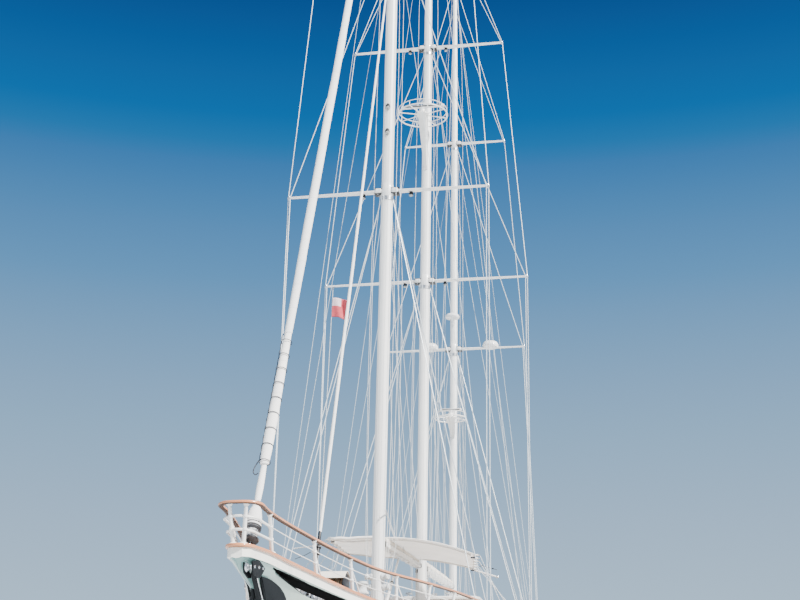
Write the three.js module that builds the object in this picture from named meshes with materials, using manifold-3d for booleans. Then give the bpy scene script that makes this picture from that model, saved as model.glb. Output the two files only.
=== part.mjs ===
// A three-masted sailing yacht afloat, as a model at half size.
// Every number here is in metres of the real yacht; the whole group is scaled at the end.
// +X points to the bow, +Y to port, +Z up, and the origin lies amidships on the waterline.
import * as THREE from 'three';
import { mergeVertices } from 'three/addons/utils/BufferGeometryUtils.js';
import Module from 'manifold-3d';

const wasm = await Module();
wasm.setup();

// Driving dimensions
const MODEL_SCALE = 0.5;
const MILLIMETRES = 1000 * MODEL_SCALE;   // model millimetres to one real metre
const GAP = 0.0008;                       // kept between neighbours that don't move
const RUNNING = 0.0018;                   // round a pin or shaft that turns in its bore
const DEG = Math.PI / 180;

const BULWARK = 0.13;                     // thickness of the bulwark
const BAND = 0.26;                        // white strake under the cap, above the knuckle
const CAMBER = 0.12;                      // rise of the deck at the centreline
const CAMBER_HALF = 5;                    // half-breadth of a deck with the full camber
const CAP = { width: 0.25, height: 0.08, inset: 0.065 };
const REBATE = 0.005;                     // the bulwark reaches this far round the underside of its cap
const TOP_RAIL = { width: 0.13, height: 0.075 };
const KEEL_BOTTOM = -4.5;

// Hull stations from bow to stern: place, half-breadth and height of the cap, bottom of the hull,
// fullness of the section (0 is a V, 1 a U) and depth of the deck below the cap
const HULL = table(['x', 'breadth', 'cap', 'bottom', 'full', 'well'], [
  [26.80, 0.13, 4.68, 4.40, 0.30, 0.25],
  [26.62, 0.27, 4.69, 4.30, 0.30, 0.25],
  [26.25, 0.33, 4.69, 4.10, 0.30, 0.25],
  [25.93, 0.38, 4.69, 4.01, 0.28, 0.27],
  [24.43, 0.59, 4.62, 3.66, 0.24, 0.42],
  [22.43, 1.02, 4.46, 2.60, 0.20, 0.58],
  [20.90, 1.40, 4.32, 1.30, 0.22, 0.60],
  [19.00, 1.92, 4.20, -0.20, 0.30, 0.60],
  [16.70, 2.66, 4.10, -1.35, 0.45, 0.60],
  [13.50, 3.48, 4.04, -2.00, 0.62, 0.60],
  [9.70, 4.14, 4.01, -2.30, 0.80, 0.60],
  [5.00, 4.64, 3.98, -2.45, 0.92, 0.60],
  [0.00, 4.93, 3.98, -2.50, 1.00, 0.60],
  [-6.00, 4.91, 3.99, -2.45, 1.00, 0.60],
  [-12.00, 4.63, 4.02, -2.05, 0.95, 0.60],
  [-17.00, 4.22, 4.08, -1.30, 0.85, 0.60],
  [-21.00, 3.78, 4.14, -0.35, 0.75, 0.60],
  [-24.20, 3.25, 4.20, 0.55, 0.70, 0.60],
  [-25.20, 3.05, 4.22, 0.90, 0.70, 0.60],
]);
const BOW_DECK_END = 26.20;               // the deck stops short of the nose
const STERN = -25.20;

// Plan and height of the teak top rail, from the nose to the stern
const RAIL = table(['x', 'breadth', 'height'], [
  [26.93, 0.00, 5.64],
  [26.88, 0.28, 5.64],
  [26.68, 0.45, 5.62],
  [25.93, 0.50, 5.55],
  [24.43, 0.70, 5.44],
  [22.43, 1.06, 5.30],
  [20.90, 1.40, 5.19],
  [19.00, 1.90, 5.09],
  [16.70, 2.72, 5.05],
  [13.50, 3.53, 5.03],
  [9.70, 4.16, 4.96],
  [5.00, 4.66, 4.88],
  [0.00, 4.95, 4.86],
  [-6.00, 4.93, 4.87],
  [-12.00, 4.65, 4.90],
  [-17.00, 4.24, 4.96],
  [-21.00, 3.80, 5.02],
  [-24.20, 3.27, 5.08],
  [-25.10, 3.02, 5.10],
  [-25.26, 2.60, 5.10],
  [-25.26, 0.00, 5.10],
]);
const POSTS = [25.95, 23.2, 20.95, 18.2, 16.2, 14.3, 12.5, 10.1, 7.7, 5.3, 2.9, 0.5, -1.9, -4.3, -6.7,
  -9.1, -11.5, -13.9, -16.3, -18.7, -21.1, -23.3, -24.9];
const POST_RADIUS = 0.05;
const LEAN = { from: 16.7, slope: 0.07 };    // the posts lean forwards more and more towards the bow
const MID_RAILS = [0.36, 0.68];           // heights of the two mid rails between cap and top rail
const MID_RAIL = 0.035;

// Long dark slot in the bulwark at each side of the bow: place and height
const SLOT = table(['x', 'height'], [[25.2, 0.02], [22.9, 0.27], [19.9, 0.29]]);

// Masts: place at MAST_DATUM, rake, foot and head radius, top, and half-lengths of the spreaders
const MAST_DATUM = 3.5;
const TAPER_START = 30;
const MASTS = [
  { name: 'fore', x: 9.69, rake: 3.7, foot: 0.235, head: 0.13, top: 48.2, lower: 4.11, upper: 3.30 },
  { name: 'main', x: -0.64, rake: 4.3, foot: 0.235, head: 0.13, top: 48.2, lower: 4.93, upper: 3.91 },
  { name: 'mizzen', x: -11.60, rake: 4.9, foot: 0.205, head: 0.12, top: 47.6, lower: 3.98, upper: 3.03 },
];
const LOWER_SPREADER = 21.7;
const UPPER_SPREADER = 35.3;
const MASTHEAD = 47.2;                    // height of the stays at the masthead
const WIRE = 0.022;                       // radius of the standing rigging
const TURNBUCKLE = { radius: 0.042, length: 0.6 };

// Booms: mast, lowest point at the mast, rise to the end, place of the end, depth with the sail on it
const BOOMS = [
  { mast: 0, height: 7.30, rise: 0.38, end: 0.10, depth: 0.40, width: 0.34 },
  { mast: 1, height: 7.75, rise: 0.35, end: -11.15, depth: 0.46, width: 0.36 },
  { mast: 2, height: 7.70, rise: 0.40, end: -22.20, depth: 0.46, width: 0.36 },
];

// Deckhouse between the mainmast and the mizzen
const HOUSE = { front: -2.2, back: -10.3, half: 2.25, top: 6.55, wall: 0.12, sill: 5.05, head: 6.15 };
const WINDOWS = {
  corner: 0.12,
  front: { length: 1.2, places: [-1.45, 0, 1.45] },
  side: { length: 1.25, places: [-4.75, -6.3, -7.85, -9.35] },
  back: { length: 1.0, places: [-1.2, 1.2] },
};
const DOOR = { front: -2.85, back: -3.75, bottom: 3.72, top: 5.95, inset: 0.015, thick: 0.06, play: 0.012 };
const DOOR_LIGHT = { border: 0.2, bottom: 5.0, top: 5.75 };
const HINGE = { heights: [4.1, 5.6], half: 0.12, knuckle: 0.028, pin: 0.012, ear: 0.03, play: 0.004 };
const CONSOLE = { front: -2.45, back: -3.1, half: 1.3, rise: [1.05, 0.85] };
const SETTEE = { front: -5.0, back: -9.9, inner: 1.3, outer: 2.05, across: -9.3, height: 0.48 };

// Gear on the deck
const HATCH = { x: 13.6, half: 0.55, wall: 0.08, height: 0.28, lid: 0.07, overhang: 0.03 };
const SKYLIGHT = {
  x: 5.2, length: 2.4, half: 0.85, eave: 0.38, slope: 22, ridge: 0.06, border: 0.15, lid: 0.05,
  overhang: 0.03,
};
const SIDE_DECK = 0.1;                    // gear at the deck's side stands this much below its edge line
const WINDLASS = { x: 20.6, base: [0.4, 0.5, 0.32], shaft: 0.55, barrel: { radius: 0.28, half: 0.32 } };
const DRUM = { radius: 0.2, inner: 0.3, outer: 0.78 };
const CAPSTAN = { back: 0.15, foot: 0.5, top: 1.0, radii: [0.16, 0.13] };
const RAFT = { x: -19.6, y: 2.9, half: 0.75, radius: 0.34, height: 0.62, cradles: [-0.4, 0.4] };
const CRADLE = { half: 0.05, inner: 2.65, outer: 3.15, height: 0.5 };
const COCKPIT = {
  front: -13.6, back: -17, inner: 1.5, outer: 2.1, across: -14.2, middle: -15.5, height: 0.5,
};
const HELM = { x: -18.2, waist: 1, top: 1.3, radii: [0.26, 0.16, 0.2], hub: 1.15, shaft: 0.05, reach: 0.26 };
const WHEEL = { back: 0.34, radius: 0.62, rim: 0.035, spoke: 0.022, boss: 0.09, bossEnd: 0.42 };

// Colours, roughness and metalness
const FINISH = {
  white: [0xf0efea, 0.3, 0],
  hull: [0xe9ebe6, 0.25, 0],
  teak: [0xb9835c, 0.6, 0],
  lead: [0x4a4c50, 0.6, 0.1],
  bronze: [0xa37a45, 0.35, 0.9],
  dark: [0x1c1d20, 0.5, 0.2],
  steel: [0xc5c8ca, 0.25, 0.9],
  cloth: [0xe6ddcc, 0.9, 0],
  glass: [0x27323a, 0.08, 0],
  leather: [0xcfc3ad, 0.7, 0],
  red: [0xb23a44, 0.8, 0],
};

const yacht = new THREE.Group();

function table(columns, rows) {
  return rows.map((row) => Object.fromEntries(columns.map((name, i) => [name, row[i]])));
}

// Smooth value of a table's column at x, with no overshoot between its rows
function fair(rows, x, column) {
  const last = rows.length - 1;
  if (x >= rows[0].x) return rows[0][column];
  if (x <= rows[last].x) return rows[last][column];
  const i = rows.findIndex((row) => row.x < x) - 1;
  const step = (k) => (rows[k + 1][column] - rows[k][column]) / (rows[k + 1].x - rows[k].x);
  const slope = (k) => {
    if (k === 0) return step(0);
    if (k === last) return step(last - 1);
    const before = step(k - 1);
    const after = step(k);
    return before * after <= 0 ? 0 : (2 * before * after) / (before + after);
  };
  const span = rows[i + 1].x - rows[i].x;
  const t = (x - rows[i].x) / span;
  const start = rows[i][column] * (1 + 2 * t) * (1 - t) ** 2 + span * slope(i) * t * (1 - t) ** 2;
  const end = rows[i + 1][column] * t * t * (3 - 2 * t) - span * slope(i + 1) * t * t * (1 - t);
  return start + end;
}

function mirrored(values) {
  return values.map(([x, y, z]) => [x, -y, z]);
}

// Closed solid from a geometry, its faces turned outwards
function solid(geometry) {
  geometry.deleteAttribute('normal');
  geometry.deleteAttribute('uv');
  const merged = mergeVertices(geometry, 1e-5);
  const points = merged.attributes.position;
  const corners = Uint32Array.from(merged.index.array);
  const [a, b, c] = [new THREE.Vector3(), new THREE.Vector3(), new THREE.Vector3()];
  let volume = 0;
  for (let i = 0; i < corners.length; i += 3) {
    a.fromBufferAttribute(points, corners[i]);
    b.fromBufferAttribute(points, corners[i + 1]);
    c.fromBufferAttribute(points, corners[i + 2]);
    volume += a.dot(b.cross(c));
  }
  if (volume < 0) {
    for (let i = 0; i < corners.length; i += 3) {
      [corners[i], corners[i + 1]] = [corners[i + 1], corners[i]];
    }
  }
  const mesh = new wasm.Mesh({ numProp: 3, vertProperties: points.array, triVerts: corners });
  return new wasm.Manifold(mesh);
}

function geometryOf(body) {
  const mesh = body.getMesh();
  const geometry = new THREE.BufferGeometry();
  geometry.setAttribute('position', new THREE.BufferAttribute(mesh.vertProperties, 3));
  geometry.setIndex(new THREE.BufferAttribute(mesh.triVerts, 1));
  return geometry;
}

// Named mesh in the yacht; a moving piece is placed at its pivot
function piece(name, body, finish, pivot = [0, 0, 0]) {
  const geometry = geometryOf(body.translate(pivot.map((value) => -value)));
  geometry.computeVertexNormals();
  const [color, roughness, metalness] = FINISH[finish];
  const mesh = new THREE.Mesh(geometry, new THREE.MeshStandardMaterial({ color, roughness, metalness }));
  mesh.name = name;
  mesh.position.set(...pivot);
  yacht.add(mesh);
  return mesh;
}

// Solid through rings of points that have the same number of points each
function loft(rings) {
  const count = rings[0].length;
  const points = rings.flat();
  const faces = [];
  for (let r = 0; r + 1 < rings.length; r++) {
    for (let i = 0; i < count; i++) {
      const j = (i + 1) % count;
      const [a, b] = [r * count, (r + 1) * count];
      faces.push(a + i, a + j, b + j, a + i, b + j, b + i);
    }
  }
  for (const [ring, start, turned] of [[rings[0], 0, true], [rings.at(-1), points.length - count, false]]) {
    const middle = points.length;
    points.push([0, 1, 2].map((axis) => ring.reduce((sum, point) => sum + point[axis], 0) / count));
    for (let i = 0; i < count; i++) {
      const edge = [start + i, start + ((i + 1) % count)];
      faces.push(...(turned ? edge.reverse() : edge), middle);
    }
  }
  const geometry = new THREE.BufferGeometry();
  geometry.setAttribute('position', new THREE.Float32BufferAttribute(points.flat(), 3));
  geometry.setIndex(faces);
  return solid(geometry);
}

function block([x0, x1], [y0, y1], [z0, z1]) {
  const box = new THREE.BoxGeometry(Math.abs(x1 - x0), Math.abs(y1 - y0), Math.abs(z1 - z0));
  return solid(box.translate((x0 + x1) / 2, (y0 + y1) / 2, (z0 + z1) / 2));
}

// Round bar from a to b, with a radius at each end
function rod(a, b, startRadius, endRadius = startRadius, sides = 8) {
  const from = new THREE.Vector3(...a);
  const along = new THREE.Vector3(...b).sub(from);
  const bar = new THREE.CylinderGeometry(endRadius, startRadius, along.length(), sides);
  if (sides === 4) bar.rotateY(Math.PI / 4);
  const direction = along.clone().normalize();
  const turn = new THREE.Quaternion().setFromUnitVectors(new THREE.Vector3(0, 1, 0), direction);
  bar.applyQuaternion(turn);
  const middle = from.addScaledVector(along, 0.5);
  return solid(bar.translate(middle.x, middle.y, middle.z));
}

// Shape turned about an upright axis through the point at; the profile is a list of radius and height
function turned(profile, at, sides = 12) {
  const outline = profile.map(([radius, height]) => new THREE.Vector2(radius, height));
  const lathe = new THREE.LatheGeometry(outline, sides).rotateX(Math.PI / 2);
  return solid(lathe.translate(...at));
}

function join(first, ...others) {
  return others.reduce((sum, other) => sum.add(other), first);
}

function cut(body, ...others) {
  return others.reduce((rest, other) => rest.subtract(other), body);
}

// Part of a body that lies on one side of the centreline
function sideOf(body, side) {
  return body.subtract(block([-40, 40], side > 0 ? [-20, GAP] : [-GAP, 20], [-20, 60]));
}

function roundedRectangle(width, height, radius) {
  const shape = new THREE.Shape();
  const [x, y] = [width / 2, height / 2];
  shape.moveTo(-x + radius, -y).lineTo(x - radius, -y);
  shape.absarc(x - radius, -y + radius, radius, -Math.PI / 2, 0);
  shape.absarc(x - radius, y - radius, radius, 0, Math.PI / 2);
  shape.absarc(-x + radius, y - radius, radius, Math.PI / 2, Math.PI);
  shape.absarc(-x + radius, -y + radius, radius, Math.PI, 1.5 * Math.PI);
  return shape;
}

// Upright prism of a plan outline
function upright(shape, [bottom, top], bevel = 0) {
  const options = { depth: top - bottom - 2 * bevel, curveSegments: 4, bevelEnabled: bevel > 0 };
  Object.assign(options, { bevelSize: bevel, bevelThickness: bevel, bevelSegments: 1, bevelOffset: -bevel });
  return solid(new THREE.ExtrudeGeometry(shape, options).translate(0, 0, bottom + bevel));
}

// Bar of rectangular or rounded section along a path, its sides kept upright
function barAlong(path, width, height, chamfer = 0) {
  const rings = path.map((point, i) => {
    const before = path[Math.max(i - 1, 0)];
    const after = path[Math.min(i + 1, path.length - 1)];
    const length = Math.hypot(after[0] - before[0], after[1] - before[1]);
    const side = [-(after[1] - before[1]) / length, (after[0] - before[0]) / length];
    const [w, h] = [width / 2, height / 2];
    const section = chamfer > 0
      ? [[-w, -h + chamfer], [-w, h - chamfer], [-w + chamfer, h], [w - chamfer, h],
        [w, h - chamfer], [w, -h + chamfer], [w - chamfer, -h], [-w + chamfer, -h]]
      : [[-w, -h], [-w, h], [w, h], [w, -h]];
    return section.map(([out, up]) => [point[0] + side[0] * out, point[1] + side[1] * out, point[2] + up]);
  });
  return loft(rings);
}

// Half-breadth of a hull section at height z
function halfBreadth(x, z) {
  const breadth = fair(HULL, x, 'breadth');
  const knuckle = fair(HULL, x, 'cap') - BAND;
  const bottom = fair(HULL, x, 'bottom');
  if (z >= knuckle) return breadth;
  const t = Math.max(0, (z - bottom) / (knuckle - bottom));
  const full = fair(HULL, x, 'full');
  const round = (1 - (1 - t) ** 2.6) ** (1 / 2.2);
  return (breadth - 0.03) * ((1 - full) * t ** 1.15 + full * round);
}

const HULL_LEVELS = [0, 0.015, 0.06, 0.14, 0.25, 0.4, 0.58, 0.78, 1];
const HULL_PLACES = [26.8, 26.6, 26.25, 25.6, 24.9, 24.2, 23.4, 22.6, 21.7, 20.6, 19.4, 18, 16.2, 13.8,
  10.8, 7.5, 4, 0, -4, -8, -12, -15.5, -18.5, -21.2, -23.6, STERN];

// Value of a hull column at x on the straight lines between the hull's sections
function hullLine(x, column) {
  const i = Math.min(Math.max(HULL_PLACES.findIndex((place) => place <= x), 1), HULL_PLACES.length - 1);
  const [front, back] = [HULL_PLACES[i - 1], HULL_PLACES[i]];
  const t = Math.min(Math.max((front - x) / (front - back), 0), 1);
  return fair(HULL, front, column) * (1 - t) + fair(HULL, back, column) * t;
}

function deckHeight(x) {
  return hullLine(x, 'cap') - hullLine(x, 'well');
}

// Hull from keel to cap, with no deck well; grow moves its skin outwards
function hullBody(grow = 0) {
  const rings = HULL_PLACES.map((x, i) => {
    const shift = grow * (i === 0 ? 1 : i === HULL_PLACES.length - 1 ? -1 : 0);
    const top = fair(HULL, x, 'cap') - CAP.height / 2 + REBATE;
    const knuckle = fair(HULL, x, 'cap') - BAND;
    const bottom = fair(HULL, x, 'bottom');
    const side = HULL_LEVELS.slice(1).map((level) => {
      const z = bottom + level * (knuckle - bottom);
      return [x + shift, halfBreadth(x, z) + grow, z];
    });
    side.push([x + shift, fair(HULL, x, 'breadth') + grow, top + grow]);
    return [[x + shift, 0, bottom - grow], ...side, ...mirrored(side).reverse()];
  });
  return loft(rings);
}

// Space above the deck, inside the bulwarks
function deckWell() {
  const places = [BOW_DECK_END, ...HULL_PLACES.filter((x) => x < BOW_DECK_END && x > STERN), STERN + BULWARK];
  return loft(places.map((x) => {
    const deck = deckHeight(x);
    const top = fair(HULL, x, 'cap') + 0.5;
    const inner = Math.min(halfBreadth(x, deck), fair(HULL, x, 'breadth')) - BULWARK;
    const outer = fair(HULL, x, 'breadth') - BULWARK;
    const crown = deck + CAMBER * inner / CAMBER_HALF;
    return [[x, outer, top], [x, inner, deck], [x, 0, crown], [x, -inner, deck], [x, -outer, top]];
  }));
}

// Everything below the deck, raised by one gap: it trims what stands on the deck
function belowDeck() {
  const places = [BOW_DECK_END, ...HULL_PLACES.filter((x) => x < BOW_DECK_END)];
  return loft(places.map((x) => {
    const deck = deckHeight(x) + GAP;
    const inner = Math.min(halfBreadth(x, deck), fair(HULL, x, 'breadth')) - BULWARK;
    const outer = 6;
    const crown = deck + CAMBER * inner / CAMBER_HALF;
    return [[x, -outer, -1], [x, -outer, deck], [x, -inner, deck], [x, 0, crown],
      [x, inner, deck], [x, outer, deck], [x, outer, -1]];
  }));
}

function buildHull() {
  const slots = [1, -1].map((side) => loft(SLOT.map(({ x, height }) => {
    const top = fair(HULL, x, 'cap') - BAND - 0.015;
    const [inner, outer] = [side * 0.3, side * (fair(HULL, x, 'breadth') + 0.3)];
    return [[x, inner, top], [x, outer, top], [x, outer, top - height], [x, inner, top - height]];
  })));
  const boreRadius = RUDDER.stock + RUNNING;
  const rudderBore = rod([RUDDER.x, 0, -3], [RUDDER.x, 0, 0.4], boreRadius, boreRadius, 24);
  piece('hull', cut(hullBody(), deckWell(), ...slots, rudderBore, ...grownCaps()), 'hull');
}

const RUDDER = { x: -18.4, stock: 0.11, top: -1.62, bottom: -4.1, front: 0.35, back: 1.55, half: 0.13 };
const SKEG_GAP = 0.05;
const SHAFT = { height: -3.05, start: -10.0, strut: -12.0, barrel: 0.14, propeller: -12.75, radius: 0.07 };
const BLADE = {
  outline: [[-0.08, 0.1], [0.08, 0.1], [0.2, 0.42], [0.15, 0.68], [0, 0.76], [-0.15, 0.68], [-0.2, 0.42]],
  thick: 0.05, pitch: 0.6, boss: [0.17, 0.09],
};

// Fin or blade: sections across the chord at two heights, each with front, back and half-thickness
function foil(sections) {
  return loft(sections.map(({ z, front, back, half }) => {
    const chord = front - back;
    const at = (part, width) => [front - chord * part, half * width];
    const side = [at(0.06, 0.55), at(0.3, 1), at(0.7, 0.6)];
    const otherSide = side.map(([x, y]) => [x, -y]).reverse();
    const outline = [[front, 0], ...side, [back, 0.03 * half], [back, -0.03 * half], ...otherSide];
    return outline.map(([x, y]) => [x, y, z]);
  }));
}

function buildUnderwater() {
  const skin = hullBody(GAP);
  const ballast = foil([
    { z: -1.9, front: 10.5, back: -9.2, half: 0.75 },
    { z: -3.6, front: 8.2, back: -9.8, half: 0.42 },
    { z: -4.0, front: 7.4, back: -9.9, half: 0.5 },
    { z: KEEL_BOTTOM, front: 6.4, back: -9.4, half: 0.34 },
  ]);
  piece('ballast_keel', cut(ballast, skin), 'lead');

  const skegBack = RUDDER.x + RUDDER.front + SKEG_GAP;
  const skeg = foil([
    { z: -0.9, front: -14.6, back: skegBack, half: 0.2 },
    { z: -4.0, front: -16.4, back: skegBack, half: 0.13 },
  ]);
  piece('rudder_skeg', cut(skeg, skin), 'lead');

  const [leading, trailing] = [RUDDER.x + RUDDER.front, RUDDER.x - RUDDER.back];
  const blade = foil([
    { z: RUDDER.top, front: leading, back: trailing, half: RUDDER.half },
    { z: RUDDER.bottom, front: leading, back: trailing + 0.35, half: RUDDER.half * 0.8 },
  ]);
  const stock = rod([RUDDER.x, 0, RUDDER.bottom + 0.4], [RUDDER.x, 0, 0.38], RUDDER.stock, RUDDER.stock, 24);
  piece('rudder', join(blade, stock), 'lead', [RUDDER.x, 0, RUDDER.top]);

  const onShaft = (x) => [x, 0, SHAFT.height];
  const { strut, barrel: thick } = SHAFT;
  const barrel = rod(onShaft(strut + 0.28), onShaft(strut - 0.28), thick, thick, 16);
  const arm = foil([
    { z: -1.5, front: strut + 0.3, back: strut - 0.3, half: 0.07 },
    { z: SHAFT.height, front: strut + 0.2, back: strut - 0.2, half: 0.07 },
  ]);
  const boreRadius = SHAFT.radius + RUNNING;
  const bore = rod(onShaft(strut + 1), onShaft(strut - 1), boreRadius, boreRadius, 20);
  piece('shaft_strut', cut(join(arm, barrel), skin, bore), 'bronze');

  const shaft = rod(onShaft(SHAFT.start), onShaft(SHAFT.propeller - 0.3), SHAFT.radius, SHAFT.radius, 20);
  const hub = rod(onShaft(SHAFT.propeller + 0.22), onShaft(SHAFT.propeller - 0.42), ...BLADE.boss, 16);
  const blades = [0, 1, 2, 3].map((i) => {
    const outline = new THREE.Shape(BLADE.outline.map(([x, y]) => new THREE.Vector2(x, y)));
    const bladeShape = new THREE.ExtrudeGeometry(outline, { depth: BLADE.thick, bevelEnabled: false });
    bladeShape.translate(0, 0, -BLADE.thick / 2).rotateY(Math.PI / 2 - BLADE.pitch);
    bladeShape.rotateX((i * Math.PI) / 2);
    return solid(bladeShape.translate(...onShaft(SHAFT.propeller)));
  });
  piece('propeller', join(shaft, hub, ...blades), 'bronze', onShaft(SHAFT.propeller));
}

function capPath() {
  const places = HULL_PLACES.slice(1, -1);
  const side = places.map((x) => [x, hullLine(x, 'breadth') - CAP.inset, hullLine(x, 'cap')]);
  const nose = HULL[0].cap;
  const transom = hullLine(STERN, 'cap');
  const quarter = [[-25.0, 2.9, hullLine(-25, 'cap')], [-25.12, 2.65, transom], [-25.14, GAP, transom]];
  return [[26.78, GAP, nose], [26.75, 0.12, nose], ...side, ...quarter];
}

// Both teak caps, one gap larger all round
function grownCaps() {
  return [capPath(), mirrored(capPath())].map((path) => barAlong(path, CAP.width + 2 * GAP, CAP.height));
}

function railPath() {
  const [nose, last] = [RAIL[0], RAIL.at(-1)];
  const side = RAIL.slice(1, -1).flatMap((row, i) => {
    const next = RAIL[i + 2];
    const long = row.x - next.x > 1.2 && i > 1;
    const x = (row.x + next.x) / 2;
    const between = long ? [[x, fair(RAIL, x, 'breadth'), fair(RAIL, x, 'height')]] : [];
    return [[row.x, row.breadth, row.height], ...between];
  });
  return [[nose.x, GAP, nose.height], ...side, [last.x, GAP, last.height]];
}

// Point on the railing's surface at x, part of the way from the cap to the top rail
function railingPoint(x, part) {
  const foot = [x, hullLine(x, 'breadth') - CAP.inset, hullLine(x, 'cap')];
  const head = [x, fair(RAIL, x, 'breadth'), fair(RAIL, x, 'height')];
  return foot.map((value, axis) => value + (head[axis] - value) * part);
}

function buildRails() {
  for (const [name, side] of [['port', 1], ['starboard', -1]]) {
    const flip = (path) => (side > 0 ? path : mirrored(path));
    const cap = barAlong(flip(capPath()), CAP.width, CAP.height - 2 * GAP);
    const rail = barAlong(flip(railPath()), TOP_RAIL.width, TOP_RAIL.height, 0.02);
    piece(`cap_rail_${name}`, sideOf(cap, side), 'teak');
    piece(`top_rail_${name}`, sideOf(rail, side), 'teak');

    const posts = POSTS.map((x) => {
      const lean = LEAN.slope * Math.max(x - LEAN.from, 0);
      const [foot, head] = flip([railingPoint(x - lean, 0), railingPoint(x, 1)]);
      return rod(foot, head, POST_RADIUS, POST_RADIUS, 4);
    });
    const sternPost = [[-25.14, 1.2, fair(HULL, STERN, 'cap')], [-25.26, 1.2, RAIL.at(-1).height]];
    const bowPost = [[26.7, 0.12, HULL[0].cap], [26.9, 0.2, RAIL[0].height]];
    posts.push(...[sternPost, bowPost].map((ends) => rod(...flip(ends), POST_RADIUS, POST_RADIUS, 4)));
    const bars = MID_RAILS.map((part) => {
      const along = [26.6, 26.35, ...POSTS].map((x) => railingPoint(x, part));
      const height = (start, end) => start + (end - start) * part;
      const front = height(HULL[0].cap, RAIL[0].height);
      const nose = [[26.84, GAP, front], [26.8, 0.18, front]];
      const end = height(fair(HULL, STERN, 'cap'), RAIL.at(-1).height);
      const stern = [[-25.12, 2.85, end], [-25.2, 2.6, end], [-25.2, GAP, end]];
      return barAlong(flip([...nose, ...along, ...stern]), MID_RAIL, MID_RAIL);
    });
    const grownCap = barAlong(flip(capPath()), CAP.width + 2 * GAP, CAP.height);
    const grownRail = barAlong(flip(railPath()), TOP_RAIL.width + 2 * GAP, TOP_RAIL.height + 2 * GAP, 0.02);
    piece(`railing_${name}`, sideOf(cut(join(...posts, ...bars), grownCap, grownRail), side), 'white');
  }
}

// Place of a mast's axis at height z
function mastX(mast, z) {
  return mast.x - (z - MAST_DATUM) * Math.tan(mast.rake * DEG);
}

function mastRadius(mast, z) {
  const t = Math.max(0, (z - TAPER_START) / (mast.top - TAPER_START));
  return mast.foot + (mast.head - mast.foot) * t;
}

function circleAt(x, y, z, radius, sides = 16) {
  return Array.from({ length: sides }, (_, i) => {
    const angle = (i / sides) * 2 * Math.PI;
    return [x + radius * Math.cos(angle), y + radius * Math.sin(angle), z];
  });
}

// Mast tube alone; grow widens it
function mastTube(mast, grow = 0, from = 3.2, to = mast.top) {
  const heights = [from, ...[30, 36, 42].filter((z) => z > from && z < to), to];
  return loft(heights.map((z) => circleAt(mastX(mast, z), 0, z, mastRadius(mast, z) + grow)));
}

const SPREADER = { root: [0.19, 0.07], tip: [0.1, 0.045] };   // half-chord and half-thickness

// Pair of spreaders across a mast at one height
function spreader(mast, z, half, grow = 0) {
  const x = mastX(mast, z);
  const section = [[1, 0], [0.5, 1], [-0.5, 1], [-1, 0], [-0.5, -1], [0.5, -1]];
  const stations = [[-half, ...SPREADER.tip], [0, ...SPREADER.root], [half, ...SPREADER.tip]];
  return loft(stations.map(([y, chord, thick]) => section.map(([a, b]) => [
    x + a * (chord + grow), y + Math.sign(y) * grow, z + b * (thick + grow)])));
}

// Steep wire through the points, with its turnbuckle at the foot
function wire(points) {
  const screw = [1, 1.04].map((stretch) => points[0].map((value, axis) =>
    value + (points[1][axis] - value) * (TURNBUCKLE.length * stretch) / (points[1][2] - points[0][2])));
  const rings = [[points[0], TURNBUCKLE.radius], [screw[0], TURNBUCKLE.radius], [screw[1], WIRE],
    ...points.slice(1).map((point) => [point, WIRE])];
  return loft(rings.map(([point, radius]) => circleAt(...point, radius, 6)));
}

const GOOSENECK = { reach: 0.2, pin: 0.045, barrel: 0.09, half: 0.13, plate: 0.05, sparGap: 0.16 };

function goosenecks(mast, boom) {
  const z = boom.height + boom.depth * 0.35;
  const wall = mastX(mast, z) - mastRadius(mast, z);
  const x = wall - GOOSENECK.reach;
  const plates = [1, -1].map((side) => {
    const inner = z + side * (GOOSENECK.half + 2 * GAP);
    return block([x - 0.07, wall + 0.1], [-0.07, 0.07], [inner, inner + side * GOOSENECK.plate]);
  });
  const reach = GOOSENECK.half + GOOSENECK.plate;
  const pin = rod([x, 0, z - reach], [x, 0, z + reach], GOOSENECK.pin, GOOSENECK.pin, 16);
  return { x, z, start: x - GOOSENECK.sparGap, lugs: join(...plates, pin) };
}

const BACKSTAY_FOOT = -24.6;
const CHAINPLATES = { inset: 0.16, cap: -0.25, forward: 0.95, aft: -0.8 };

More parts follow.
